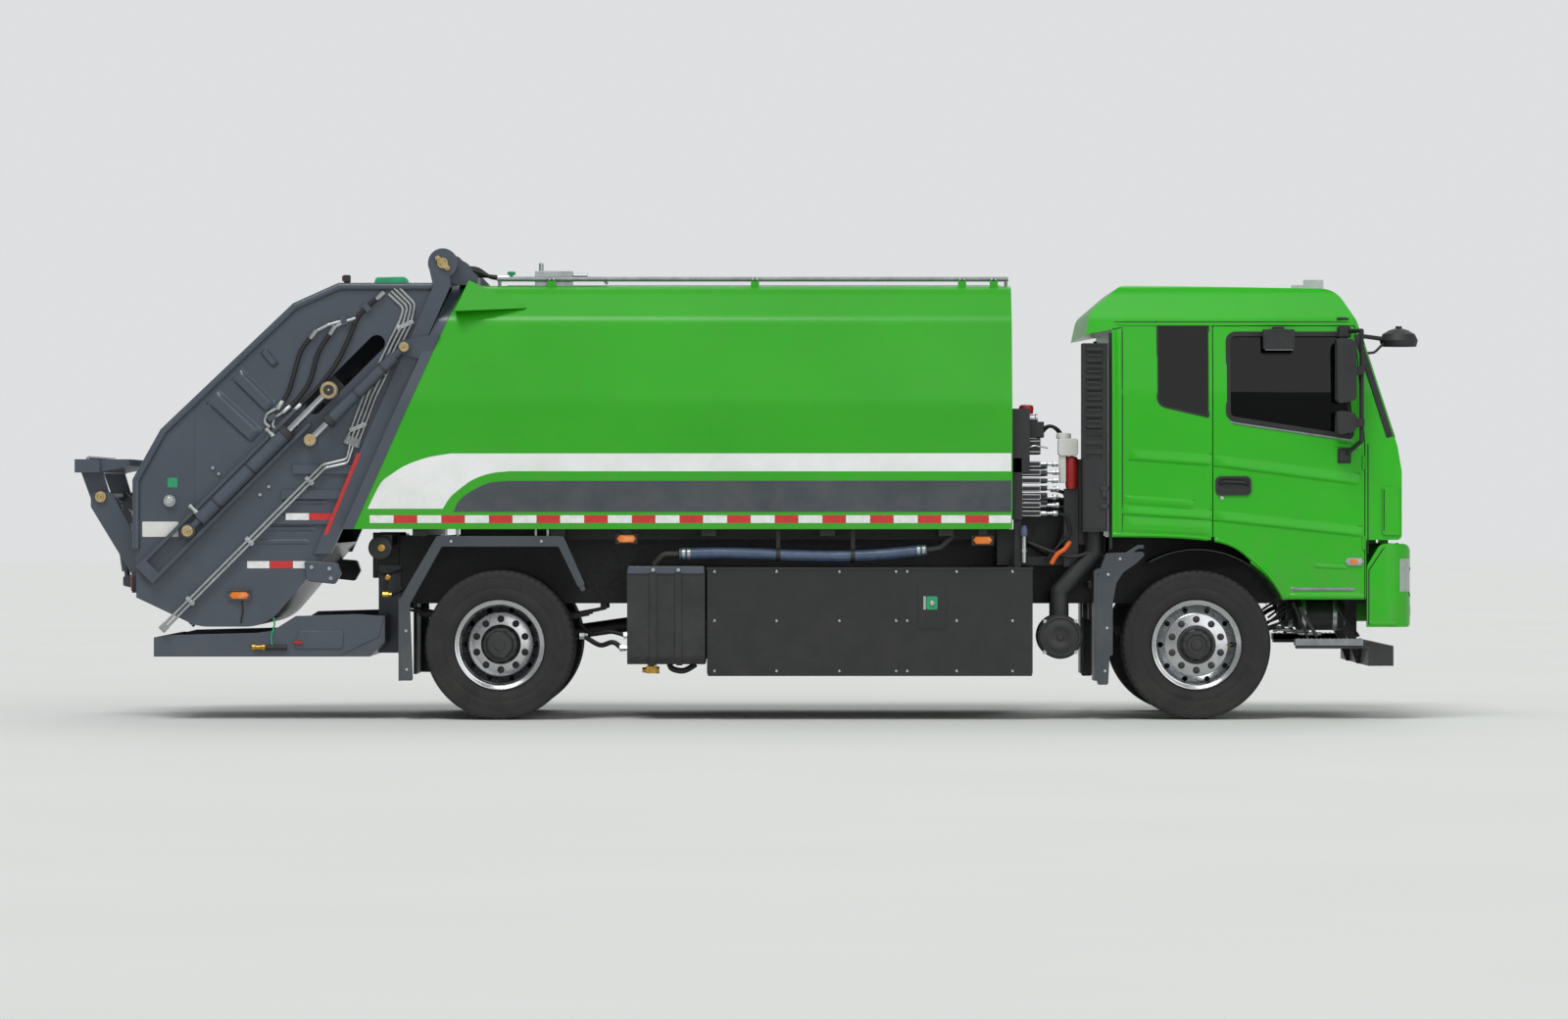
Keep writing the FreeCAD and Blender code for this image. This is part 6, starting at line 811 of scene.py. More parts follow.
tankOut, strapPlaces, strapWidth = 1.2485, (-0.625, -0.455), 0.045
caps = roundBox(-0.795, -0.28, 0.985, 1.038, 0.01, 0.46, tankOut + 0.002)
addPair("tank_top_trim", caps, "tailEnamel", bevel=0.006)
straps = [slabPart(rectangle(x - strapWidth / 2, x + strapWidth / 2, 0.42, 1.0), tankOut - 0.006,
    tankOut + 0.003) for x in strapPlaces]
addPair("tank_straps", straps, "chassisBlack", bevel=0.002)
addPiece("tank_strap_nuts", sideBolts([(x, 1.012) for x in strapPlaces], tankOut + 0.002, 0.026, 0.014),
    "zincPlate")
# drain valve, elbows and hoses under the tank
valve = [lathePart([(0, 0.02), (0.05, 0.02), (0.055, 0.028), (0.075, 0.028)], 16, "z",
    (-0.64, -1.1, 0.315)), lathePart([(0, 0.018), (0.09, 0.018), (0.095, 0.024), (0.115, 0.024)], 16, "x",
    (-0.7, -1.1, 0.335)), boxPart(-0.675, -0.6, -1.135, -1.065, 0.312, 0.362)]
addPiece("tank_drain_valve", valve, "brass", bevel=0.003)
lines = [flowTube([(-0.52, -1.06, 0.395), (-0.5, -1.07, 0.345), (-0.42, -1.07, 0.33), (-0.34, -1.05, 0.372)],
    0.02), flowTube([(-0.83, -1.02, 0.47), (-0.9, -1.0, 0.52), (-0.99, -0.95, 0.5),
    (-1.1, -0.9, 0.56)], 0.017), flowTube([(-0.8, -0.98, 0.56), (-0.92, -0.93, 0.59),
    (-1.05, -0.88, 0.575), (-1.13, -0.8, 0.64)], 0.014)]
addPiece("tank_hoses", lines, "softRubberAndGapShade")
unions = [lathePart([(0, 0.024), (0.035, 0.024), (0.037, 0.02), (0.055, 0.02)], 6, "x", (x, y, z))
    for x, y, z in ((-0.855, -1.02, 0.48), (-0.83, -0.98, 0.562), (-1.13, -0.9, 0.56))]
addPiece("tank_unions", unions, "zincPlate")

route = [(-0.45, -1.135, 1.119), (-0.2, -1.135, 1.124), (0.05, -1.135, 1.12), (0.3, -1.135, 1.108),
    (0.62, -1.135, 1.102), (0.92, -1.135, 1.115), (1.22, -1.135, 1.146)]
addPiece("service_pipe", flowTube(route, 0.04, sides=20, steps=8), "blueHose", smooth=60)
elbows = [bentTube([(-0.455, -1.135, 1.119), (-0.56, -1.135, 1.117), (-0.62, -1.11, 1.042)], 0.06, 0.022,
    sides=14), bentTube([(1.22, -1.135, 1.146), (1.31, -1.13, 1.16), (1.4, -1.08, 1.245)], 0.06, 0.022,
    sides=14)]
addPiece("service_pipe_elbows", elbows, "castSteel", smooth=60)
bands = [lathePart([(-0.01, 0.0425), (0.01, 0.0425), (0.01, 0.041), (-0.01, 0.041)], 24, "x",
    (x, -1.135, z), closed=True) for x, z in ((-0.42, 1.12), (-0.385, 1.12), (1.165, 1.14), (1.2, 1.144))]
addPiece("service_pipe_bands", bands, "zincPlate")
clips = []
for x, z in ((0.218, 1.112), (0.722, 1.105)):
    clips.append(lathePart([(-0.014, 0.046), (0.014, 0.046), (0.014, 0.041), (-0.014, 0.041)], 24, "x",
        (x, -1.135, z), closed=True))
    clips.append(boxPart(x - 0.014, x + 0.014, -1.14, -1.13, z + 0.043, 1.288))
addPiece("service_pipe_clips", clips, "mouldedBlack", bevel=0.001)

# air cleaner lid: a dished cover with rings, a centre boss and four clips
cleaner, clipCircle = (2.119, 1.198, 0.561), 0.146
lid = mirrorPart(lathePart([(-0.02, 0.143), (0.004, 0.143), (0.01, 0.138), (0.012, 0.126), (0.006, 0.12),
    (0.006, 0.1), (0.01, 0.094), (0.01, 0.06), (0.004, 0.052), (0.004, 0.026), (0.014, 0.02),
    (0.014, 0.001)], 64, "y", cleaner))
addPiece("air_cleaner_lid", lid, "mouldedBlack", smooth=40)
clipSpots = [(cleaner[0] + clipCircle * math.cos(a), cleaner[2] + clipCircle * math.sin(a))
    for a in np.radians((45, 135, 225, 315))]
clips = [mirrorPart(boxPart(x - 0.012, x + 0.012, 1.172, 1.208, z - 0.012, z + 0.012)) for x, z in clipSpots]
addPiece("air_cleaner_clips", clips, "zincPlate", bevel=0.003)
print("chassis sides done")


# tailgate: pressings, tapes, pipes and hoses, pins and cylinder trim

plateOut = 1.108  # outer face of the side plates, from the middle of the truck
tail = {
    "ribs": [((-3.602, 2.185), (-3.3, 1.907), 0.13), ((-3.439, 2.334), (-3.205, 2.103), 0.105),
             ((-3.262, 2.5), (-3.17, 2.392), 0.06)],
    "crease": (-3.726, 1.447, 2.067),
    # rear and front end, colour, lower and upper edge, and height over the plate; the upper ones lie on a bar
    "tapes": [(-3.107, -2.949, "white", 1.348, 1.394, 0.0255), (-2.949, -2.8, "red", 1.348, 1.394, 0.0255),
              (-3.37, -3.218, "white", 1.022, 1.07, 0.0015), (-3.218, -3.06, "red", 1.022, 1.07, 0.0015),
              (-3.06, -2.91, "white", 1.022, 1.07, 0.0015)],
    "redLine": ((-2.612, 1.797), (-2.836, 1.25)),
}


def turnedTo(part, angle, place):
    # a part made along +x, turned up by the angle in side view and moved to its place
    return copiesAt(part, [place], turnAbout("y", -angle))


tailFace = flatAt(plateOut)
ribs = [ridgeAlong([start, stop], width, 0.022, tailFace, lower=0.16, upper=0.3)
    for start, stop, width in tail["ribs"]]
x, low, high = tail["crease"]
ribs.append(boxPart(x - 0.004, x + 0.004, plateOut - 0.002, plateOut + 0.003, low, high))
# three stiffening flats on the lower plate, between its two slanted edges
for z in (1.47, 1.2, 1.29):
    ribs.append(ridgeAlong([(-3.05 - (1.55 - z) * 0.9, z), (-2.8 - (1.55 - z) * 0.42, z)], 0.035, 0.006,
        tailFace))
addPair("tail_pressings", ribs, "tailEnamel", "tailgate", clean=True)

filmColours = {"white": [], "red": []}
for x0, x1, colour, low, high, out in tail["tapes"]:
    filmColours[colour].append(boxPart(x0 + 0.001, x1 - 0.001, plateOut - 0.001, plateOut + out, low, high))
(x0, z0), (x1, z1) = tail["redLine"]
filmColours["red"].append(slabPart([(x0 - 0.013, z0), (x0 + 0.013, z0), (x1 + 0.013, z1), (x1 - 0.013, z1)],
    1.154, 1.1565))
addPair("tail_tape_white", filmColours["white"], "tapeWhite", "tailgate")
addPair("tail_tape_red", filmColours["red"], "tapeRed", "tailgate")

# pipe bundle from the roof down beside the post, two of its pipes going on to the tray's corner
pipeRun = {
    "radius": 0.01, "pitch": 0.027,
    "centre": [(-2.385, 2.905), (-2.272, 2.795), (-2.3, 2.68), (-2.385, 2.512), (-2.54, 2.185),
               (-2.655, 1.879)],
    "tails": [(-2.69, 1.745), (-2.85, 1.708), (-3.35, 1.205), (-3.925, 0.625)],
}


def offsetRun(knots, aside, y):
    # a side-view line moved aside by a distance square to its own direction
    knots = np.array(knots, float)
    way = np.gradient(knots, axis=0)
    way /= np.linalg.norm(way, axis=1, keepdims=True)
    moved = knots + np.stack([-way[:, 1], way[:, 0]], -1) * aside
    return [(x, y, z) for x, z in moved]


pipes, unions = [], []
for index in range(4):
    aside = (index - 1.5) * pipeRun["pitch"]
    run = offsetRun(pipeRun["centre"], aside, plateOut + 0.013)
    pipes.append(bentTube(run, 0.05, pipeRun["radius"], steps=4))
    x, y, z = run[-1]
    unions.append(turnedTo(lathePart([(-0.03, 0.015), (0.0, 0.015), (0.002, 0.018), (0.03, 0.018)], 6, "x"),
        math.atan2(-0.306, -0.115), (x, y, z)))
for index in (0, 1):
    aside = (index - 0.5) * pipeRun["pitch"]
    start = offsetRun(pipeRun["centre"], aside, plateOut + 0.013)[-1]
    run = [start] + offsetRun(pipeRun["tails"], aside, plateOut + 0.04)
    pipes.append(bentTube(run, 0.04, pipeRun["radius"], steps=4))
    x, y, z = run[-1]
    unions.append(turnedTo(lathePart([(-0.02, 0.016), (0.03, 0.016)], 6, "x"), math.radians(-135), (x, y, z)))
addPair("tail_pipes", pipes, "zincPlate", "tailgate")
clampSpots = [((-2.3, 2.665), 115, 0.12), ((-2.475, 2.32), 115, 0.12), ((-2.62, 1.975), 111, 0.12),
    ((-2.946, 1.612), 45, 0.07), ((-3.35, 1.205), 45, 0.07), ((-3.75, 0.802), 45, 0.07)]
clamps = []
for (x, z), turn, width in clampSpots:
    lift, apart = (0.013, -0.042) if z > 1.8 else (0.04, 0.012)
    block = roundBox(-0.014, 0.014, -width / 2, width / 2, 0.006, -0.008 - lift, 0.014, steps=2)
    nuts = copiesAt(hexPart(0.016, 0.01), [(0, 0.014, -apart), (0, 0.014, apart)])
    clamps.append(turnedTo([block, nuts], math.radians(turn), (x, plateOut + lift, z)))
addPair("tail_pipe_clamps", clamps, "zincPlate", "tailgate", bevel=0.001)
addPair("tail_pipe_unions", unions, "zincPlate", "tailgate")

# three black hoses a side that loop from the roof to the slide cylinder, with crimped steel ends and elbows
hoseRun = {
    "radius": 0.015, "out": 1.126,
    "runs": [[(-2.905, 2.621), (-3.004, 2.49), (-3.054, 2.324), (-3.095, 2.2), (-3.16, 2.105)],
             [(-2.777, 2.65), (-2.885, 2.482), (-2.945, 2.284), (-3.03, 2.16), (-3.118, 2.078)],
             [(-2.45, 2.88), (-2.608, 2.735), (-2.678, 2.581), (-2.767, 2.403), (-2.895, 2.235),
              (-3.045, 2.09)]],
    "heads": [[(-2.7, 2.7), (-2.82, 2.665), (-2.905, 2.621)], [(-2.63, 2.71), (-2.7, 2.69), (-2.777, 2.65)]],
    "elbows": [[(-3.16, 2.105), (-3.235, 2.062), (-3.25, 2.01), (-3.215, 1.975)],
               [(-3.118, 2.078), (-3.185, 2.035), (-3.195, 1.985), (-3.165, 1.955)]],
}
hoses = [flowTube([(x, hoseRun["out"], z) for x, z in run], hoseRun["radius"], steps=8)
    for run in hoseRun["runs"]]
addPair("tail_hoses", hoses, "softRubberAndGapShade", "tailgate")
fittings = []
for runs, radius in ((hoseRun["heads"], 0.011), (hoseRun["elbows"], 0.012)):
    for run in runs:
        fittings.append(bentTube([(x, hoseRun["out"], z) for x, z in run], 0.03, radius, steps=4))
for run in hoseRun["runs"]:
    for here, there in ((run[0], run[1]), (run[-1], run[-2])):
        angle = math.atan2(there[1] - here[1], there[0] - here[0])
        crimp = lathePart([(-0.012, 0.013), (-0.01, 0.019), (0.045, 0.019), (0.05, 0.0165), (0.06, 0.0165)],
            14, "x")
        fittings.append(turnedTo(crimp, angle, (here[0], hoseRun["out"], here[1])))
addPair("tail_hose_fittings", fittings, "zincPlate", "tailgate")
ties = [turnedTo(boxPart(-0.02, 0.02, plateOut - 0.002, plateOut + 0.036, -0.03, 0.03), math.radians(turn),
    (x, 0, z)) for x, z, turn in ((-2.715, 2.694, 20), (-2.56, 2.782, 40), (-3.2, 2.04, -60))]
addPair("tail_hose_ties", ties, "tailEnamel", "tailgate", bevel=0.003)


def pinCap(x, z, face, radius, thick=0.014, bolts=3):
    # pin end seen from outside: a turned cap with a stepped rim and a centre grease nipple, and its bolts
    cap = lathePart([(-0.004, radius * 0.6), (-0.004, radius), (thick * 0.6, radius), (thick, radius * 0.93),
        (thick, radius * 0.55), (thick * 0.7, radius * 0.5), (thick * 0.7, radius * 0.2),
        (thick * 1.6, radius * 0.16), (thick * 1.9, radius * 0.05)], 28, "y", (x, face, z))
    a = np.arange(bolts) * 2 * math.pi / bolts + 0.5
    places = np.stack([x + radius * 0.74 * np.cos(a), np.full(bolts, face + thick),
        z + radius * 0.74 * np.sin(a)], -1)
    return cap, copiesAt(hexPart(radius * 0.26, radius * 0.1), places)


pinCaps = {  # body: list of (x, z, outer face, radius)
    "tailgate": [(-2.046, 3.082, 1.158, 0.038), (-3.762, 1.274, 1.222, 0.04)],
    "packer": [(-2.812, 2.224, 1.198, 0.058)],
    "lift_rods": [(-2.937, 1.888, 1.231, 0.04)],
    "lift_barrels": [(-2.303, 2.515, 1.231, 0.034)],
    "bin_lift": [(-4.382, 1.505, 0.872, 0.04)],
}
for body, places in pinCaps.items():
    caps, bolts = zip(*(pinCap(*place) for place in places))
    addPair("pin_caps_" + body, list(caps), "yellowPassivate", body)
    addPair("pin_bolts_" + body, list(bolts), "zincPlate", body)
# keeper bar across the hinge pin
keeper = turnedTo([roundBox(-0.062, 0.062, -0.017, 0.017, 0.015, 0, 0.01, steps=4),
    copiesAt(hexPart(0.022, 0.012), [(-0.045, 0.01, 0), (0.045, 0.01, 0)])], math.radians(-45),
    (-2.046, 1.172, 3.082))
addPair("hinge_keepers", keeper, "yellowPassivate", "tailgate", bevel=0.002)


def barrelTrim(foot, angle, length, radius, y, ports):
    # a cylinder's gland nut and two bands along its barrel, and a port with its union at each given distance
    way = np.array([math.cos(angle), 0, math.sin(angle)])
    start = np.array([foot[0], y, foot[1]])
    gland = lathePart([(0, radius + 0.001), (0.004, radius + 0.008), (0.04, radius + 0.008),
        (0.046, radius + 0.003), (0.052, radius - 0.004)], 24, "x")
    rings = [turnedTo(gland, angle, start + way * (length - 0.048))]
    bands = lathePart([(-0.008, radius + 0.004), (0.008, radius + 0.004), (0.008, radius - 0.002),
        (-0.008, radius - 0.002)], 24, "x", closed=True)
    for share in (0.28, 0.62):
        rings.append(turnedTo(bands, angle, start + way * length * share))
    fits = []
    for at in ports:
        spot = start + way * at + np.array([-way[2], 0, way[0]]) * (radius * 0.9)
        block = lathePart([(0, 0.02), (0.022, 0.02), (0.024, 0.014), (0.05, 0.014), (0.052, 0.017),
            (0.072, 0.017)], 12, "x")
        fits.append(turnedTo(block, angle + math.pi / 2, spot))
    return rings, fits


liftAngle = math.atan2(1.888 - 2.515, -2.937 + 2.303)
for name, body, foot, angle, length, radius, y, ports in (
        ("slide", "tailgate", (-3.762, 1.274), math.radians(45), 0.96, 0.05, 1.172, (0.13, 0.86)),
        ("lift", "lift_barrels", (-2.303, 2.515), liftAngle, 0.731, 0.042, 1.205, ())):
    rings, fits = barrelTrim(foot, angle, length, radius, y, ports)
    addPair(name + "_barrel_glands", rings, "castSteel", body)
    if fits:
        addPair(name + "_barrel_ports", fits, "zincPlate", body)
print("tail lines and pins done")


# tailgate: plates, lamps and fittings, then the bin lift's and the drip tray's

smallPlate = roundBox(-4.077, -3.833, 1.234, 1.337, 0.008, plateOut, plateOut + 0.004)
addPair("tail_side_plate", smallPlate, "blankPlate", "tailgate", bevel=0.001)
tag = roundBox(-3.905, -3.84, 1.568, 1.633, 0.006, plateOut, plateOut + 0.003)
addPiece("tail_green_tag", mirrorPart(tag), "greenTag", "tailgate", slot="slate_grey")

workLamp = (-3.891, plateOut, 1.478)
shell = lathePart([(0.0, 0.02), (0.006, 0.036), (0.03, 0.04), (0.036, 0.04), (0.036, 0.034),
    (0.03, 0.032)], 24, "y", workLamp)
glass = lathePart([(0.028, 0.033), (0.036, 0.026), (0.04, 0.012), (0.041, 0.002)], 24, "y", workLamp)
addPair("tail_work_lamp", shell, "zincPlate", "tailgate")
addPair("tail_work_lamp_glass", glass, "lampClear", "tailgate")

x, z = -3.42, 0.838
addPair("tail_amber_lamp", sideLamp((x, plateOut + 0.016, z), 0.138, 0.05, 0.026), "lampAmber", "tailgate",
    bevel=0.0015)
hood = [boxPart(x - 0.078, x + 0.078, plateOut - 0.002, plateOut + 0.036, z + 0.032, z + 0.038),
    boxPart(x - 0.078, x + 0.078, plateOut - 0.002, plateOut + 0.016, z - 0.036, z + 0.038)]
addPair("tail_amber_hood", hood, "tailEnamel", "tailgate", bevel=0.002)
lead = flowTube([(x + 0.015, plateOut + 0.008, z - 0.03), (x + 0.022, plateOut + 0.01, z - 0.1),
    (x + 0.008, plateOut + 0.006, z - 0.185)], 0.005, sides=8, steps=5)
addPair("tail_amber_lead", lead, "softRubberAndGapShade", "tailgate")

studs = sideBolts([(-3.281, 1.519), (-3.222, 1.573), (-3.6, 1.7), (-3.56, 1.66), (-2.842, 1.205)], plateOut,
    0.024, 0.016)
addPiece("tail_studs", studs, "zincPlate", "tailgate")

# bolted box at the foot of each post, with the latch that holds the tail shut
latchOut = 1.15
box = roundSlab([(-2.985, 1.075, 0.02), (-2.76, 1.06, 0.02), (-2.735, 0.985, 0.01), (-2.775, 0.915, 0.02),
    (-2.96, 0.935, 0.03)], 1.02, latchOut)
addPair("tail_latch_boxes", box, "tailEnamel", "tailgate", bevel=0.008)
addPiece("tail_latch_bolts", sideBolts([(-2.93, 1.03), (-2.81, 1.02), (-2.8, 0.955)], latchOut, 0.026, 0.012),
    "zincPlate", "tailgate")

# folded cover over the pipes where they leave the roof, and the lamp on the tail's top edge
cover = roundSlab([(-2.52, 2.925, 0), (-2.5, 2.988, 0.02), (-2.3, 2.992, 0.03), (-2.262, 2.925, 0)], 0.985,
    1.1)
addPair("tail_pipe_covers", cover, "greenTag", "tailgate", slot="slate_grey", bevel=0.004)
topLamp = [boxPart(-2.715, -2.68, 1.0, 1.09, 2.925, 2.96), boxPart(-2.722, -2.676, 0.99, 1.1, 2.958,
    3.004)]
addPair("tail_top_lamp_cases", topLamp, "mouldedBlack", "tailgate", bevel=0.004)
addPair("tail_top_lamps", boxPart(-2.73, -2.721, 1.0, 1.09, 2.964, 2.998), "lampRed", "tailgate",
    bevel=0.002)

# rear face: lamp clusters on the hopper's lip, number plate, and a row of red and white tape
rearX = -4.122
y0, y1, z0, z1 = 0.7, 1.02, 0.855, 0.985  # a lamp box
box = roundBox(y0, y1, z0, z1, 0.015, rearX - 0.034, rearX + 0.01, plane="front", steps=4)
addPair("tail_lamp_boxes", box, "mouldedBlack", "tailgate", bevel=0.004)
third = (y1 - y0 - 0.04) / 3
for index, (name, colour) in enumerate((("stop", "lampRed"), ("turn", "lampAmber"), ("reverse", "lampClear"))):
    left = y1 - 0.012 - third * (index + 1) - 0.004 * index
    lens = roundBox(left, left + third, z0 + 0.014, z1 - 0.014, 0.008, rearX - 0.042, rearX - 0.03,
        plane="front")
    addPair("tail_lamp_" + name, lens, colour, "tailgate", slot="lamp", bevel=0.004)
plate = roundBox(-0.22, 0.22, 0.86, 1.0, 0.01, rearX - 0.012, rearX + 0.002, plane="front")
addPiece("rear_number_plate", plate, "blankPlate", "tailgate", bevel=0.001)
tapes = {"tapeWhite": [], "tapeRed": []}
for index in range(12):
    y = -1.02 + 0.17 * index
    strip = boxPart(rearX - 0.003, rearX + 0.002, y, y + 0.168, 1.055, 1.105)
    tapes["tapeRed" if index % 2 else "tapeWhite"].append(strip)
for name, strips in tapes.items():
    addPiece("rear_strip_" + name, strips, name, "tailgate", slot="slate_grey")

# bin lift: bolts through the comb's beam, and rubber buffers
bolts = copiesAt(hexPart(0.03, 0.014, "z"), [(-4.46, y, 1.7605) for y in np.linspace(-0.9, 0.9, 17)])
addPiece("comb_bolts", bolts, "zincPlate", "bin_lift")
buffers = [roundBox(y - 0.03, y + 0.03, 1.685, 1.745, 0.01, -4.5495, -4.53, plane="front")
    for y in (-0.85, -0.42, 0.0, 0.42, 0.85)]
addPiece("comb_buffers", buffers, "softRubberAndGapShade", "bin_lift", bevel=0.004)

# drip tray: cheeks, pressings, drain valve with its red lever, and a lead
trayCheek = slabPart([(-4.0, 0.43), (-2.75, 0.43), (-2.48, 0.56), (-2.442, 0.7), (-2.62, 0.712),
    (-3.04, 0.7), (-3.2, 0.6), (-3.3, 0.585), (-3.9, 0.57), (-4.0, 0.545)], 1.1005, 1.1065)
addPair("tray_cheeks", trayCheek, "tailEnamel", bevel=0.002)
fold = bothSides(roundSlab([(-3.06, 0.478, 0.02), (-2.72, 0.478, 0.03), (-2.72, 0.6, 0.02),
    (-3.02, 0.6, 0.04)], 1.106, 1.116))
addPiece("tray_pressings", fold, "tailEnamel", bevel=0.006)
valve = [lathePart([(-0.045, 0.022), (-0.02, 0.022), (-0.018, 0.016), (0.018, 0.016), (0.02, 0.022),
    (0.045, 0.022)], 14, "x", (-3.29, -1.125, 0.489)), lathePart([(0, 0.014), (0.03, 0.014)], 12, "y",
    (-3.29, -1.135, 0.489))]
addPiece("tray_valve", valve, "brass", bevel=0.002)
arm = tubePart([(-3.24, -1.128, 0.486), (-3.17, -1.128, 0.487), (-3.1, -1.128, 0.486)], 0.017, 12)
addPiece("tray_valve_pipe", arm, "mouldedBlack")
lever = roundBox(-3.055, -2.99, 0.512, 0.532, 0.009, -1.134, -1.118, steps=4)
addPiece("tray_valve_lever", lever, "redHose", bevel=0.003)
lead = flowTube([(-3.2, -1.115, 0.5), (-3.205, -1.112, 0.56), (-3.185, -1.108, 0.64),
    (-3.19, -1.105, 0.69)], 0.006, sides=8, steps=5)
addPiece("tray_lead", lead, "greenTag")
print("tail fittings done")


# cab outside: pressings, seams, arch lips, handles, seals and lamps; door pieces hang on the doors

def cabFace(x, z):
    # half width of the cab by height: upright to the belt, then leaning in to the roof's edge
    return np.interp(z, (0, 2.21, 2.3, 2.64, 2.68, 2.7, 2.75, 2.85, 2.9, 2.93), (1.24, 1.24, 1.2322, 1.2014,
        1.1955, 1.1895, 1.1631, 1.1048, 1.0704, 1.022)) + 0 * x


def doorPair(name, part, look, **settings):
    # one piece on each door, from the left door's part
    part = asPart(part)
    addPiece(name + "_left", part, look, "door_left", **settings)
    addPiece(name + "_right", mirrorPart(part), look, "door_right", **settings)


rear, front = 3.136, 3.156  # edges of the gap between the cab's rear panel and the door
waistRise = 0.011
waistLines = [  # rear end, height at the gap, front end, width
    ((2.58, 1.791), 1.753, (4.13, 1.621), 0.085), ((2.53, 1.421), 1.382, (4.15, 1.27), 0.0765),
]
pressings = [ridgeAlong([start, (rear, z)], wide, waistRise, cabFace, lower=0.18, upper=0.75)
    for start, z, _, wide in waistLines]
pressings.append(ridgeAlong([(2.535, 1.318), (rear, 1.29)], 0.115, 0.008, cabFace, lower=0.25, upper=0.5))
pressings.append(ridgeAlong([(2.545, 1.48), (3.02, 1.446)], 0.075, 0.009, cabFace, lower=0.55, upper=0.2))
pressings.append(ridgeAlong([(2.51, 1.245), (2.51, 2.64)], 0.055, 0.009, cabFace, ends=0.2, lower=0.3,
    upper=0.4))
addPair("cab_pressings", pressings, "cabEnamel", "cab", smooth=60)
pressings = [ridgeAlong([(front, z - 0.003), stop], wide, waistRise, cabFace, ends=0.6, lower=0.18, upper=0.75)
    for _, z, stop, wide in waistLines]
pressings.append(ridgeAlong([(3.96, 1.862), (4.15, 1.838)], 0.05, 0.008, cabFace, lower=0.3, upper=0.5))
pressings.append(ridgeAlong([(3.83, 1.04), (4.05, 1.03)], 0.035, 0.006, cabFace, lower=0.3, upper=0.5))
doorPair("door_pressings", pressings, "cabEnamel", smooth=60)

# arch lip: the panel's lower edge falls from the cab's rear corner round the wheel to the sill
archEdge = curveThrough([(2.47, 1.24), (2.8, 1.236), (3.02, 1.224), (3.18, 1.203), (3.3, 1.158),
    (3.395, 1.085), (3.5, 0.99), (3.575, 0.895), (3.628, 0.806)])
lip = archEdge + (0.006, 0.01)
addPair("arch_lip", ridgeAlong(lip[lip[:, 0] < rear], 0.034, 0.013, cabFace, ends=0.3, lower=0.3, upper=0.45),
    "cabEnamel", "cab", smooth=60)
edge = archEdge[(archEdge[:, 0] > front) & (archEdge[:, 0] < 3.41)]
corner = np.concatenate([edge, [(3.41, 1.25), (front, 1.25)]])
doorPair("door_arch_corner", slabPart(corner, 1.205, 1.2395), "cabEnamel", smooth=0)
doorPair("door_arch_lip", ridgeAlong(lip[lip[:, 0] > front], 0.034, 0.013, cabFace, ends=0.3, lower=0.3,
    upper=0.45), "cabEnamel", smooth=60)
edge = archEdge[archEdge[:, 0] < rear]
corner = np.concatenate([edge, [(rear, 1.25), (2.47, 1.25)]])
addPair("cab_arch_corner", slabPart(corner, 1.205, 1.2395), "cabEnamel", "cab", smooth=0)
sill = [(3.655, 0.838), (4.165, 0.838)]
doorPair("door_sill_bead", ridgeAlong(sill, 0.045, 0.01, cabFace, ends=0.3, lower=0.25, upper=0.5),
    "cabEnamel", smooth=60)
doorPair("door_sill_strip", ridgeAlong([(3.672, 0.882), (4.098, 0.882)], 0.024, 0.006, cabFace, ends=0.2),
    "galvanised", slot="galvanised")

# dark joints: roof seam, rear and front pillar seams, and a short one back from the rear pillar's top
seamLines = [[(2.47, 2.684), (4.085, 2.684)], [(2.536, 1.25), (2.536, 2.676)], [(4.19, 1.12),
    (4.19, 1.86)], [(2.47, 2.634), (2.536, 2.646)]]
seams = [ridgeAlong(line, 0.009, 0.0016, cabFace, lower=0.35, upper=0.35) for line in seamLines]
addPair("cab_seams", seams, "softRubberAndGapShade", "cab")
addPair("roof_drip_rail", ridgeAlong([(2.48, 2.668), (4.09, 2.668)], 0.022, 0.008, cabFace, ends=0.4),
    "cabEnamel", "cab", smooth=60)

# window seals, the bright strip under each door's window, and the quarter panes
windowEdge = [(3.24, 2.026, 0.06), (3.24, 2.612, 0.06), (4.04, 2.612, 0.03), (4.092, 1.894, 0.03)]
quarterEdge = [(2.772, 2.12, 0.07), (2.772, 2.666, 0.008), (3.118, 2.666, 0.008), (3.118, 2.04, 0.008)]
doorPair("door_window_seal", ringOn(windowEdge, -0.026, 0.007, -0.022, 0.004, cabFace), "softRubberAndGapShade",
    bevel=0.002)
doorPair("door_waist_strip", ridgeAlong([(3.262, 2.006), (4.086, 1.884)], 0.016, 0.008, cabFace), "galvanised",
    slot="galvanised")
x, z = roundedOutline(quarterEdge, 6).T
y = cabFace(x, z)
pane = outward(capped(np.array([np.stack([x, y - 0.023, z], -1), np.stack([x, y - 0.002, z], -1)])))
addPair("quarter_pane", pane, "tintedGlass", "cab")
addPair("quarter_seal", ringOn(quarterEdge, -0.01, 0.005, -0.022, 0.002, cabFace), "softRubberAndGapShade", "cab",
    bevel=0.0015)


def screenFace(y, z):
    # the windscreen's plane, leaning back as it rises
    return 4.3888 - 0.3203 * (z - 1.847)


screenEdge = [(-1.12, 1.84, 0.06), (1.12, 1.84, 0.06), (1.05, 2.66, 0.06), (-1.05, 2.66, 0.06)]
addPiece("screen_seal", ringOn(screenEdge, -0.03, 0.012, -0.024, 0.005, screenFace, "front"), "softRubberAndGapShade",
    "cab", bevel=0.002)

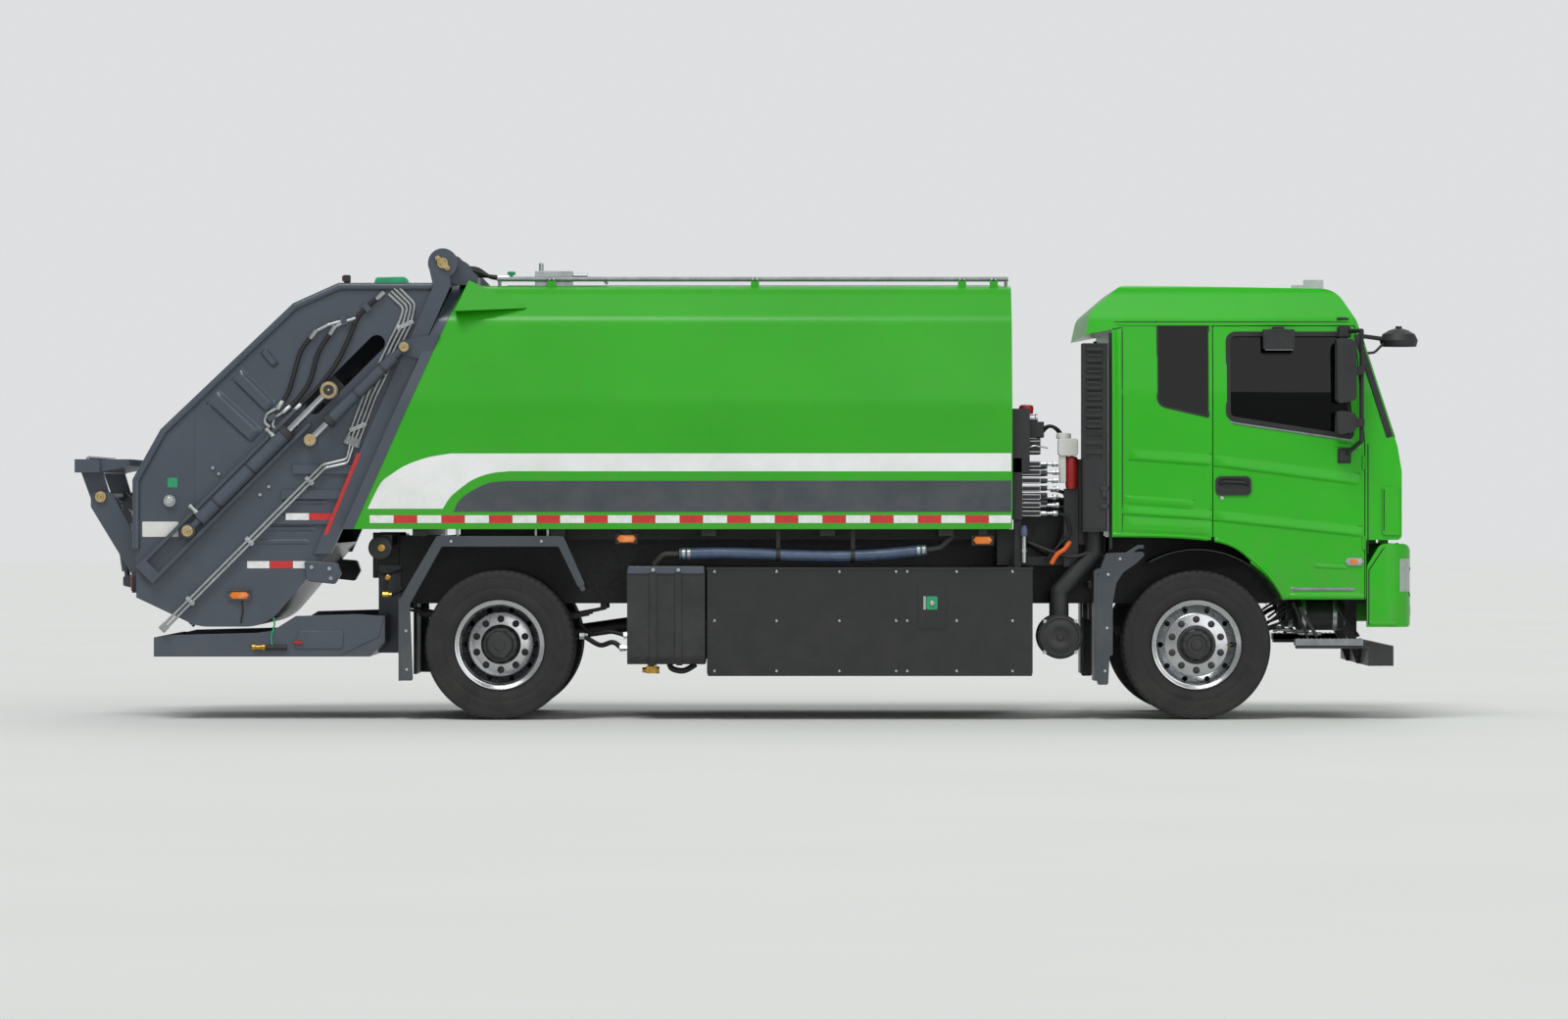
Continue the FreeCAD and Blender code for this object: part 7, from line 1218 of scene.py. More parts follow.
# door handles: a rounded dish with a grip across it, and the lock below
handle = {"x": (3.163, 3.404), "z": (1.513, 1.643), "lock": (3.206, 1.24, 1.495)}
(x0, x1), (z0, z1) = handle["x"], handle["z"]
dish = [roundBox(x0, x1, z0, z1, 0.035, 1.238, 1.2425, steps=6), ringOn(rectangle(x0, x1, z0, z1, 0.035),
    -0.016, 0.0, -0.002, 0.012, cabFace)]
grip = [(x0 + 0.02, z1 - 0.055), (x0 + 0.06, z1 - 0.034), (x1 - 0.05, z1 - 0.04), (x1 - 0.018, z1 - 0.062)]
dish.append(ridgeAlong(grip, 0.034, 0.028, cabFace, ends=1.2, lower=0.3, upper=0.4))
doorPair("door_handle", dish, "mouldedBlack", smooth=60, bevel=0.002)
doorPair("door_lock", lathePart([(-0.002, 0.013), (0.006, 0.013), (0.008, 0.01)], 20, "y", handle["lock"]),
    "zincPlate")

# side repeater on the door's front edge: clear cover with an amber insert
doorPair("side_repeater", sideLamp((4.098, 1.24, 1.067), 0.128, 0.054, 0.016), "lampClear", smooth=40)
doorPair("repeater_insert", roundBox(4.07, 4.118, 1.052, 1.082, 0.006, 1.24, 1.2585, steps=4), "lampAmber",
    bevel=0.002)
print("cab sides done")


# cab front: screen edge, wipers, grille, bumper trim, lamps, mirrors, steps and inner wings

pillarLine = [(4.337, 1.905), (4.116, 2.6)]
addPair("screen_wrap", ridgeAlong(pillarLine, 0.046, 0.004, cabFace, ends=0.3, lower=0.15, upper=0.15),
    "mouldedBlack", "cab")
sheet = np.array([[(screenFace(0, z) + 0.003, cabFace(x, z) + aside, z) for aside in (-0.075, 0.003)]
    for x, z in pillarLine])
addPair("screen_edge", outward(slabFrom(sheet, (-0.006, 0, 0))), "mouldedBlack", "cab")

# wipers: spindle cap, arm and a blade lying low on the glass
z, clear = 1.815, 0.012
metal, rubber = [], []
for y in (0.62, -0.12):
    foot = np.array([screenFace(y, z) + 0.006, y, z])
    elbow = np.array([screenFace(y, z + 0.1) - 0.012 + clear, y - 0.26, z + 0.105])
    arm = bentPath([foot, foot + (0.014, -0.04, 0.01), elbow], 0.03)
    metal.append(tubePart(arm, np.linspace(0.011, 0.006, len(arm)), 10, (1, 0, 0)))
    metal.append(lathePart([(-0.012, 0.02), (0.006, 0.02), (0.012, 0.014)], 20, "x", foot))
    ends = [(screenFace(y, v) - 0.016 + clear, u, v) for u, v in ((y + 0.1, z + 0.062), (y - 0.62, z + 0.15))]
    rubber.append(tubePart(np.linspace(*ends, 6), 0.008, 6, (1, 0, 0)))
addPiece("wiper_arms", metal, "mouldedBlack", "cab")
addPiece("wiper_blades", rubber, "softRubberAndGapShade", "cab")

# grille: upright wires behind the bars, and seams round the front panel
half, pitch = 0.84, 0.04
wires = copiesAt(boxPart(4.3955, 4.401, -0.0025, 0.0025, 1.3, 1.69), [(0, y, 0)
    for y in np.arange(-half, half + 0.001, pitch)])
addPiece("grille_wires", wires, "mouldedBlack", "cab", smooth=0)
rim = [(-0.872, 1.278, 0.03), (0.872, 1.278, 0.03), (0.872, 1.708, 0.03), (-0.872, 1.708, 0.03)]


def frontFace(y, z):
    # the cab's upright front below the screen, leaning back above the grille
    return np.interp(z, (1.2, 1.66, 1.7, 1.85), (4.418, 4.418, 4.414, 4.388)) + 0 * y


addPiece("grille_frame", ringOn(rim, -0.016, 0.01, -0.004, 0.006, frontFace, "front"), "mouldedBlack", "cab",
    bevel=0.003)
seams, spots = [], np.linspace(0, 1, 12)
for y0, z0, y1, z1 in ((-1.15, 1.765, 1.15, 1.765), (0.965, 1.23, 0.965, 1.765),
                       (-0.965, 1.23, -0.965, 1.765)):
    y, z = y0 * (1 - spots) + y1 * spots, z0 * (1 - spots) + z1 * spots
    seams.append(tubePart(np.stack([frontFace(y, z) - 0.002, y, z], -1), 0.0042, 6, (1, 0, 0)))
addPiece("front_seams", seams, "softRubberAndGapShade", "cab")

# corner air deflectors beside the front panel
corner = [(4.283, 1.262, 0.01), (4.299, 1.245, 0.01), (4.404, 1.245, 0.01), (4.404, 1.569, 0.01),
    (4.283, 1.569, 0.01)]
deflector = roundSlab(corner, 1.236, 1.2555, steps=3)
addPair("corner_deflectors", deflector, "cabEnamel", "cab", bevel=0.005)
# the slot by the deflector's rear edge is a thin black strip on its face: painted shade of the slot's depth
slot = roundBox(4.292, 4.3, 1.275, 1.555, 0.003, 1.25, 1.2565, steps=2)
addPair("deflector_slot_shade", slot, "softRubberAndGapShade", "cab")


def bumperFace(y):
    # the bumper's front by half width: flat in the middle, rounded at the corners
    return np.interp(np.abs(y), (0.9, 1.1, 1.1563, 1.2, 1.2146, 1.24),
        (4.488, 4.4834, 4.46, 4.421, 4.4, 4.3))


def bumperPatch(y0, y1, z0, z1, out, thick):
    # patch of even thickness laid on the bumper's front between two half widths
    y = np.linspace(y0, y1, 14)
    face = np.stack([np.stack([bumperFace(y) + out, y, np.full_like(y, z)], -1) for z in (z0, z1)])
    back = face - (thick, 0, 0)
    return outward(gridPart(np.stack([face[0], face[1], back[1], back[0]], 1), closedV=True))


addPair("headlamp_wraps", bumperPatch(1.125, 1.214, 0.865, 1.087, 0.005, 0.01), "lampClear", "cab", clean=True)
bezel = [(0.795, 0.842, 0.02), (1.122, 0.842, 0.02), (1.122, 1.018, 0.02), (0.795, 1.018, 0.02)]
addPair("headlamp_bezels", ringOn(bezel, -0.01, 0.012, -0.03, 0.004, lambda y, z: bumperFace(y), "front"),
    "mouldedBlack", "cab", bevel=0.002)
bowls = [lathePart([(-0.018, 0.02), (-0.012, 0.05), (0.0, 0.062), (0.001, 0.056), (-0.008, 0.044),
    (-0.012, 0.002)], 36, "x", (4.4815, y, 0.93)) for y in (0.885, 1.03)]
addPair("headlamp_bowls", bowls, "hardChrome", "cab", slot="lamp")
fogLamp = (4.487, 0.985, 0.735)
fogRing = lathePart([(-0.02, 0.062), (0.002, 0.062), (0.006, 0.056), (0.004, 0.046), (-0.02, 0.046)], 36, "x",
    fogLamp, closed=True)
addPair("fog_rings", fogRing, "mouldedBlack", "cab")
fogLens = lathePart([(-0.02, 0.047), (-0.004, 0.047), (0.001, 0.03), (0.003, 0.002)], 36, "x", fogLamp)
addPair("fog_lenses", fogLens, "lampClear", "cab")
addPiece("front_plate", roundBox(-0.22, 0.22, 0.69, 0.83, 0.008, 4.486, 4.492, plane="front"), "blankPlate",
    "cab", slot="black_plastic", bevel=0.001)
addPair("bumper_lip", ridgeAlong([(4.2, 0.652), (4.385, 0.652)], 0.03, 0.006, cabFace), "cabEnamel", "cab",
    smooth=60)
# a thin black tube down the door's front edge and over the bumper's corner: painted shade of the gap between
# the door and the bumper
gapShadeLine = bentPath([(4.196, 1.236, 0.64), (4.196, 1.236, 1.01), (4.3, 1.236, 1.165), (4.395, 1.212, 1.19)],
    0.04)
addPair("bumper_gap_shade", tubePart(gapShadeLine, 0.006, 8), "softRubberAndGapShade", "cab")

# mirrors: glass, rims, clamps and feet of the door mirrors, then the kerb mirror and the front mirror
mirrorX, mirrorIn, mirrorOut, clampPlaces = 3.97, 1.3, 1.465, (2.352, 2.0025)
glass, rims = [], []
for low, high in ((2.15, 2.555), (1.935, 2.07)):
    outline = rectangle(mirrorIn + 0.006, mirrorOut - 0.006, low + 0.006, high - 0.006, 0.018)
    glass.append(roundSlab(outline, mirrorX - 0.003, mirrorX + 0.002, plane="front", steps=5))
    rims.append(ringOn(rectangle(mirrorIn, mirrorOut, low, high, 0.022), -0.01, 0.008, -0.008, 0.004,
        flatAt(mirrorX), "front"))
doorPair("mirror_glass", glass, "mirrorGlass")
doorPair("mirror_rims", rims, "mouldedBlack", bevel=0.002)
shapes = [lathePart([(-0.026, 0.02), (0.026, 0.02)], 16, "z", (4.135, 1.385, z)) for z in clampPlaces]
shapes += [boxPart(4.084, 4.15, 1.352, 1.418, z - 0.03, z + 0.03) for z in clampPlaces]
doorPair("mirror_clamps", shapes, "mouldedBlack", bevel=0.004)
feet = [boxPart(3.985, 4.075, 1.238, 1.252, 1.73, 1.83), boxPart(3.985, 4.075, 1.199, 1.222, 2.58, 2.648)]
doorPair("mirror_feet", feet, "mouldedBlack", bevel=0.004)
kerb = [roundSlab([(3.478, 2.494, 0.02), (3.692, 2.494, 0.02), (3.68, 2.57, 0.02), (3.64, 2.632, 0.015),
    (3.53, 2.632, 0.015), (3.486, 2.57, 0.02)], 1.252, 1.334), boxPart(3.545, 3.625, 1.205, 1.262, 2.6,
    2.65)]
addPiece("kerb_mirror_shell", mirrorPart(kerb), "mouldedBlack", "door_right", bevel=0.006)
addPiece("kerb_mirror_glass", mirrorPart(boxPart(3.492, 3.678, 1.262, 1.326, 2.49, 2.4955)), "mirrorGlass",
    "door_right", bevel=0.001)
frontMirror = (4.42, -0.98, 2.56)
bowl = lathePart([(-0.034, 0.112), (-0.03, 0.118), (-0.031, 0.121), (-0.038, 0.118), (-0.038, 0.112)], 48, "z",
    frontMirror, closed=True)
addPiece("front_mirror_rim", bowl, "mouldedBlack", "cab")
addPiece("front_mirror_glass", lathePart([(-0.0335, 0.113), (-0.031, 0.113)], 48, "z", frontMirror),
    "mirrorGlass", "cab")
brace = [bentTube([(4.135, -1.135, 2.47), (4.25, -1.06, 2.48), (4.33, -1.02, 2.56)], 0.06, 0.009),
    lathePart([(-0.02, 0.022), (0.02, 0.022)], 16, "z", (4.42, -0.98, 2.64)),
    bentTube([(3.985, -1.19, 2.705), (4.06, -1.185, 2.705), (4.105, -1.15, 2.64)], 0.04, 0.01)]
addPiece("front_mirror_brace", brace, "mouldedBlack", "cab")

# step treads with punched ribs, their struts, and the black inner wings over the front wheels
tread = [boxPart(3.706, 4.165, 1.03, 1.16, 0.5, 0.545)]
tread += [boxPart(x, x + 0.012, 1.04, 1.15, 0.544, 0.549) for x in np.arange(3.725, 4.15, 0.03)]
addPair("step_treads", tread, "galvanised", slot="galvanised", bevel=0.002)
strut = [tubePart([(3.74, 1.1, 0.76), (3.856, 1.1, 0.56)], 0.013, 10),
    tubePart([(3.7, 1.02, 0.79), (3.82, 1.06, 0.5)], 0.01, 8)]
addPair("step_struts", strut, "castSteel")
sweep, axle = np.radians(np.linspace(163, 22, 40)), wheelPlaces["front"]["x"]
arc = np.stack([axle + 0.645 * np.cos(sweep), tyreSpec["radius"] + 0.645 * np.sin(sweep)], -1)
wing = np.concatenate([arc[(arc[:, 1] > 0.66)], [(3.64, 1.228), (2.48, 1.228)]])
wing = [slabPart(wing, 0.64, 0.66), boxPart(2.6, 3.48, 0.5, 0.52, 1.03, 1.228)]
addPair("wing_plates", wing, "caseBlack", "cab", slot="black_plastic", smooth=0)
shell = np.stack([np.stack([axle + r * np.cos(sweep), np.full(40, y), tyreSpec["radius"] + r * np.sin(sweep)],
    -1) for r, y in ((0.64, 0.65), (0.64, 1.205), (0.646, 1.205), (0.646, 0.65))], 1)
shell = shell[(shell[:, 0, 2] > 1.02) & (shell[:, 0, 0] > 2.7)]
addPair("wing_arches", outward(capped(shell)), "mouldedBlack", "cab", smooth=50)
print("cab front done")


# between body and cab: valve stack, filters, hoses, intake, mudguard cheeks, reservoirs and frame ends

stackRows, stackY = 7, (-1.12, -0.7)
metal, dark = [], []
low, high = 1.365, 1.754
for row in range(stackRows):
    z = low + (row + 0.5) * (high - low) / stackRows
    metal.append(slabPart(roundedOutline(rectangle(1.862, 1.99, z - 0.02, z + 0.02, 0.005), 2), *stackY))
    for side in (-1.085, -0.96, -0.835):
        reach = 0.105 + 0.02 * ((row + int(side * 10)) % 2)
        metal.append(lathePart([(0, 0.017), (0.04, 0.017), (0.042, 0.012), (reach - 0.02, 0.012),
            (reach - 0.018, 0.02), (reach, 0.02)], 6, "x", (1.99, side, z)))
    dark.append(boxPart(1.868, 1.984, stackY[0] - 0.012, stackY[0], z - 0.012, z + 0.012))
addPiece("valve_stack", metal, "zincPlate", bevel=0.002)
dark += [boxPart(1.8, 1.865, -1.15, -0.65, 1.35, 1.77), boxPart(1.815, 1.99, -1.1, -0.72, 1.791,
    1.9), boxPart(1.83, 2.015, -1.06, -0.76, 1.905, 2.013)]
addPiece("control_boxes", dark, "caseBlack", slot="black_plastic", bevel=0.004)
trim = [boxPart(1.815, 1.992, -1.104, -1.098, 1.806, 1.812), boxPart(1.815, 1.992, -1.104, -1.098, 1.878,
    1.884), bentTube([(1.87, -1.11, 1.83), (1.95, -1.118, 1.85), (2.04, -1.11, 1.835)], 0.03, 0.006,
    sides=8)]
addPiece("control_box_trim", trim, "zincPlate")
cap = lathePart([(0, 0.02), (0.03, 0.02), (0.032, 0.046), (0.072, 0.05), (0.088, 0.044), (0.094, 0.028),
    (0.094, 0.002)], 32, "z", (1.898, -0.96, 2.035))
addPiece("breather_cap", cap, "redHose")
neck = [lathePart([(0, 0.034), (0.03, 0.034)], 24, "z", (1.898, -0.96, 2.01)),
    lathePart([(0, 0.026), (0.05, 0.026), (0.055, 0.034), (0.07, 0.034)], 20, "x", (1.905, -1.0, 2.035))]
addPiece("breather_neck", neck, "zincPlate")
bottle = lathePart([(0, 0.01), (0.004, 0.038), (0.03, 0.042), (0.205, 0.042), (0.22, 0.036), (0.226, 0.01)],
    32, "z", (2.204, -1.0, 1.555))
addPiece("filter_bottle", bottle, "redHose")
head = [roundBox(2.112, 2.246, 1.782, 1.9, 0.02, -1.06, -0.93, steps=4),
    lathePart([(0, 0.05), (0.035, 0.05), (0.04, 0.04)], 28, "z", (2.15, -1.0, 1.897)), boxPart(2.12,
    2.165, -1.045, -0.955, 1.6, 1.79)]
addPiece("filter_head", head, "blankPlate", bevel=0.006)
stand = [boxPart(2.15, 2.25, -1.01, -0.985, 1.03, 1.56), boxPart(1.8, 2.26, -0.93, -0.905, 1.04,
    1.1), boxPart(1.812, 1.86, -1.1, -1.06, 1.03, 1.37), boxPart(2.228, 2.3, -0.995, -0.965, 1.18,
    1.76), boxPart(1.82, 2.24, -0.7, -0.68, 1.03, 1.5), boxPart(2.22, 2.44, -0.86, -0.62, 1.04,
    1.24), boxPart(1.7, 1.9, -0.9, -0.56, 1.04, 1.284)]
addPiece("filter_stand", stand, "chassisBlack", bevel=0.003)
stem = [lathePart([(0, 0.016), (0.176, 0.016)], 18, "z", (1.877, -1.14, 1.06)),
    lathePart([(0, 0.024), (0.022, 0.024)], 6, "z", (1.877, -1.14, 1.13))]
addPiece("drain_cock_stem", stem, "zincPlate")
addPiece("drain_cock", lathePart([(0, 0.02), (0.01, 0.026), (0.05, 0.026), (0.062, 0.018), (0.074, 0.018)],
    24, "z", (1.877, -1.14, 1.236)), "blueHose")
addPiece("orange_hose", flowTube([(2.062, -1.13, 1.052), (2.1, -1.135, 1.115), (2.15, -1.13, 1.15),
    (2.188, -1.09, 1.196)], 0.016, sides=14, steps=8), "orangeSleeve", slot="black_plastic")

# service hoses from the stack down to the chassis and across to the cab, each with its own sag
hoseRuns, ends = [], []
for number in range(8):
    y = -1.06 + 0.055 * number
    z = 1.395 + 0.052 * (number % 4)
    low = (2.02 + 0.03 * (number % 3), y + 0.02, 1.06)
    knots = [(2.1, y, z), (2.17, y + 0.01, z - 0.03), (2.19 - 0.02 * (number % 2), y + 0.015, z - 0.14),
        (2.12, y + 0.02, 1.18), low]
    hoseRuns.append(flowTube(knots, 0.0105, sides=10, steps=7))
    ends.append(lathePart([(-0.024, 0.015), (0.01, 0.015)], 6, "x", (2.098, y, z)))
for number in range(5):
    y = -0.98 + 0.07 * number
    knots = [(1.985, y, 1.96 - 0.015 * number), (2.07, y, 1.985), (2.15, y + 0.02, 1.9),
        (2.19, y + 0.04, 1.6 + 0.02 * number), (2.21, y + 0.05, 1.3), (2.18, y + 0.06, 1.08)]
    hoseRuns.append(flowTube(knots, 0.009 + 0.002 * (number % 2), sides=10, steps=7))
for y, sag in ((-1.09, 0.1), (-0.74, 0.14), (-0.6, 0.12)):
    knots = [(1.9, y, 1.2), (2.05, y - 0.02, 1.2 - sag * 0.6), (2.2, y - 0.03, 1.2 - sag),
        (2.36, y - 0.02, 1.13), (2.44, y, 1.08)]
    hoseRuns.append(flowTube(knots, 0.014, steps=7))
addPiece("service_hoses", hoseRuns, "softRubberAndGapShade", smooth=60)
addPiece("hose_ends", ends, "zincPlate")

# intake: louvre blades on the tower's side, the joints round it, and catches on the duct
towerSide = -1.225
root, tip = towerSide + 0.004, towerSide - 0.012
blades = [slabPart([(root, z - 0.01), (tip, z - 0.01), (tip, z - 0.005), (root, z + 0.012)], 2.296, 2.396,
    "front") for z in np.linspace(1.98, 2.5, 15)]
addPiece("intake_louvres", blades, "mouldedBlack")
towerFace = flatAt(-towerSide)
rings = [ringOn(rectangle(2.28, 2.412, 1.955, 2.525, 0.012), 0.0, 0.01, -0.004, 0.006, towerFace),
    ringOn(rectangle(2.28, 2.43, 1.29, 1.93, 0.01), 0.0, 0.006, -0.003, 0.004, towerFace)]
addPiece("intake_frame", mirrorPart(rings), "mouldedBlack")
hooks = [boxPart(2.388, 2.446, -1.236, -1.205, 1.545, 1.575), boxPart(2.4, 2.43, -1.24, -1.205, 1.5,
    1.545), boxPart(2.388, 2.446, -1.236, -1.205, 1.425, 1.455)]
addPiece("intake_catches", hooks, "castSteel", slot="black_plastic", bevel=0.003)
# the cab's back wall: an upright black strip along each side fills the gap to the intake tower, painted shade
# of that gap
addPair("cab_back_gap_shade", boxPart(2.45, 2.472, 1.11, 1.192, 1.15, 2.61), "softRubberAndGapShade", "cab", bevel=0.004)
# mudguards: side cheeks front and rear, and their bolts
cheek = [(2.362, 0.95), (2.425, 1.124), (2.672, 1.134), (2.691, 1.115), (2.635, 1.06), (2.543, 0.995),
    (2.496, 0.921), (2.472, 0.791), (2.472, 0.439), (2.45, 0.43), (2.441, 0.238), (2.367, 0.238),
    (2.352, 0.421), (2.352, 0.476)]
rearCheek = [(-2.084, 1.238), (-1.228, 1.238), (-1.082, 0.911), (-1.128, 0.891), (-1.262, 1.168),
    (-2.048, 1.168), (-2.262, 0.781), (-2.242, 0.266), (-2.321, 0.266), (-2.341, 0.8)]
plate = [roundSlab([(x, z, 0.014) for x, z in outline], 1.224, 1.238, steps=3)
    for outline in (cheek, rearCheek)]
addPair("mudguard_cheeks", plate, "mudguardGrey", slot="slate_grey", bevel=0.003)
spots = [(2.52, 1.085), (2.44, 0.98), (2.432, 0.62), (2.418, 0.33), (-2.29, 0.6), (-2.285, 0.34),
    (-1.986, 1.203), (-1.378, 1.203)]
addPair("mudguard_bolts", copiesAt(hexPart(0.018, 0.006), [(x, 1.238, z) for x, z in spots]), "zincPlate")
# under the cab and the body's floor: air reservoirs with straps, brake pipes, and the floor's long angles
tank = lathePart([(0, 0.02), (0.006, 0.07), (0.02, 0.098), (0.03, 0.105), (0.33, 0.105), (0.34, 0.098),
    (0.354, 0.07), (0.36, 0.02)], 40, "x", (3.73, 0.62, 0.7))
angles = [boxPart(-1.93, 1.785, 0.8, 0.812, 1.215, 1.286), boxPart(-1.93, 1.785, 0.812, 0.87, 1.274,
    1.286)]
addPair("air_reservoirs", [tank] + angles, "chassisBlack", smooth=40)
straps = [lathePart([(-0.014, 0.1075), (0.014, 0.1075), (0.014, 0.104), (-0.014, 0.104)], 40, "x",
    (x, 0.62, 0.7), closed=True) for x in (3.8, 4.01)]
straps += [bentTube([(3.64, 0.52, 0.597), (3.72, 0.52, 0.597), (3.78, 0.54, 0.57),
    (3.93, 0.54, 0.57)], 0.04, 0.01), lathePart([(0, 0.018), (0.03, 0.018), (0.032, 0.012),
    (0.06, 0.012)], 6, "x", (3.6, 0.52, 0.597))]
addPair("reservoir_straps", straps, "zincPlate")
pipes = [flowTube([(3.56, y, z), (3.64, y + 0.01, z + 0.06), (3.72, y, z + 0.1), (3.79, 0.64, 0.8)],
    0.008, sides=8) for y, z in ((0.56, 0.64), (0.6, 0.68), (0.68, 0.65))]
pipes.append(flowTube([(3.98, 0.98, 0.8), (4.02, 1.0, 0.72), (4.09, 0.98, 0.64),
    (4.15, 0.95, 0.56)], 0.011, sides=10))
addPair("brake_hoses", pipes, "softRubberAndGapShade", smooth=60)
# behind the rear mudguard: frame end plates, round stops with brass centres, pipe unions and hoses
ends = [boxPart(-2.56, -2.38, 0.42, 0.44, 0.95, 1.262), boxPart(-2.47, -2.392, 0.44, 1.06, 1.18,
    1.25)]
ends.append(lathePart([(0, 0.062), (0.006, 0.08), (0.05, 0.08), (0.056, 0.06)], 36, "y",
    (-2.472, 1.05, 1.16)))
addPair("frame_ends", ends, "chassisBlack", bevel=0.003)
unions = [lathePart([(0, 0.024), (0.016, 0.024), (0.018, 0.014), (0.03, 0.014)], 20, "y",
    (-2.462, 1.104, 1.16)), lathePart([(0, 0.02), (0.03, 0.02), (0.034, 0.012), (0.052, 0.012)], 6, "y",
    (-2.42, 1.06, 0.959)), lathePart([(0, 0.018), (0.04, 0.018), (0.044, 0.011), (0.06, 0.011)], 6, "x",
    (-2.455, 1.08, 0.844))]
addPair("frame_end_unions", unions, "brass")
lines = [flowTube([(-2.42, 1.07, 0.95), (-2.44, 1.06, 0.9), (-2.4, 1.05, 0.84),
    (-2.3, 0.98, 0.9)], 0.011, sides=10), flowTube([(-2.462, 1.09, 1.15), (-2.5, 1.06, 1.04),
    (-2.45, 1.02, 0.98), (-2.33, 0.95, 1.01)], 0.009, sides=10)]
addPair("frame_end_hoses", lines, "softRubberAndGapShade", smooth=60)
studs = [lathePart([(0, 0.011), (0.075, 0.011)], 12, "z", (x, 1.15, 1.235))
    for x in (-2.026, -1.946, -1.418, -1.338)]
addPair("mudguard_studs", studs, "zincPlate")
print("behind the cab done")


# cabin: padded seats with sewn channels and piping, shells, belts, instrument hood, vents and levers

def cushionPlan(length, width, pull=0.035):
    # superellipse of power 6 over an angle v, its sides drawn in between the corners
    v = np.arange(96) * 2 * math.pi / 96
    reach = (np.abs(np.cos(v)) ** 6 + np.abs(np.sin(v)) ** 6) ** (-1 / 6)
    x, y = reach * np.cos(v), reach * np.sin(v)
    return x * (1 - pull * (1 - y ** 2)) * length / 2, y * (1 - pull * (1 - x ** 2)) * width / 2


def cushionPart(length, width, thick, channels=(), crown=0.012):
    # P(t, v): the plan scaled by cos(t)^0.4 towards the middle of top and bottom; the top is crowned, and
    # sinks as a bell curve at each sewn channel
    t = np.linspace(-math.pi / 2, math.pi / 2, 36)[:, None]
    height = np.sign(np.sin(t)) * np.abs(np.sin(t)) ** 0.75
    x, y = (side * np.clip(np.cos(t), 1e-4, 1) ** 0.4 for side in cushionPlan(length, width))
    z = np.where(height > 0, height, height * 0.85) * thick / 2
    top = np.clip(height * 1.6, 0, 1)
    z = z + top * crown * (1 - (2 * x / length) ** 2) * (1 - (2 * y / width) ** 2)
    for spot in channels:
        z = z - top * 0.011 * np.exp(-((x - spot) / 0.01) ** 2) * (1 - (2 * y / width) ** 6)
    return outward(capped(np.stack([x, y, z], -1)))


def pipingPart(length, width, radius):
    # the corded seam round a cushion's widest line
    line = np.stack(cushionPlan(length, width), -1)
    normal = edgeNormals(line)
    around = np.arange(8) * math.pi / 4
    rings = line[:, None, :] + normal[:, None, :] * radius * np.cos(around)[None, :, None]
    z = np.broadcast_to(radius * np.sin(around), rings.shape[:2])
    return outward(gridPart(np.concatenate([rings, z[..., None]], -1), closedU=True, closedV=True))


def placed(part, lean, place):
    # a cushion leaned back by an angle about y, then set in its place
    points, faces = part
    return points @ turnAbout("y", lean)[0].T + np.asarray(place, float), faces


seatY = 0.56
seatPads = {  # length, width, thickness, lean in degrees, x and z of the middle, and the sewn channels' places
    "cushion": (0.475, 0.47, 0.12, 3, 3.285, 1.628, (-0.08, 0.06)),
    "back": (0.42, 0.46, 0.125, 77, 3.07, 1.9, (-0.1, 0.0, 0.1)),
    "headrest": (0.13, 0.25, 0.085, 77, 3.005, 2.178, ()),
}
for sideName, sign in (("right", -1), ("left", 1)):
    for kind, (length, width, thick, lean, x, z, channels) in seatPads.items():
        lean, place, tail = -math.radians(lean), (x, sign * seatY, z), kind + "_" + sideName
        pad = addPiece("seat_" + tail, placed(cushionPart(length, width, thick, channels), lean, place),
            "seatCloth", "cab", smooth=80)
        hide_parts("seats")
        addPiece("seat_piping_" + tail, placed(pipingPart(length, width, 0.0045), lean, place), "softRubberAndGapShade",
            "cab", slot="seat_fabric", smooth=60)
shell = np.array([(2.945, 2.11), (2.975, 1.556), (3.5, 1.556), (3.515, 1.58), (3.06, 1.592),
    (3.02, 1.64), (2.99, 2.11)])
shells = [slabPart(shell, y - 0.215, y + 0.215) for y in (-seatY, seatY)]
shells += [tubePart([(2.985, y + s * 0.055, 2.08), (2.972, y + s * 0.055, 2.15)], 0.006, 10)
    for y in (-seatY, seatY) for s in (-1, 1)]
addPiece("seat_shells", shells, "mouldedBlack", "cab", bevel=0.004)
levers = [boxPart(x0, x1, sign * y - half, sign * y + half, z0, z1)
    for x0, x1, y, half, z0, z1 in ((3.3, 3.38, seatY + 0.218, 0.01, 1.59, 1.612), (3.105, 3.135,
    seatY - 0.245, 0.014, 1.64, 1.74)) for sign in (-1, 1)]
addPiece("seat_levers", levers, "mouldedBlack", "cab", bevel=0.003)
path = smoothPath([(2.955, 0.8, 2.235), (2.99, 0.795, 2.15), (3.09, 0.79, 1.9), (3.12, 0.792, 1.64)],
    6)
belt = slabFrom(np.stack([path + (-0.022, 0, 0), path + (0.022, 0, 0)], 1), (0, 0.003, 0))
addPiece("seat_belts", [mirrorPart(belt), belt], "seatCloth", "cab", smooth=50)

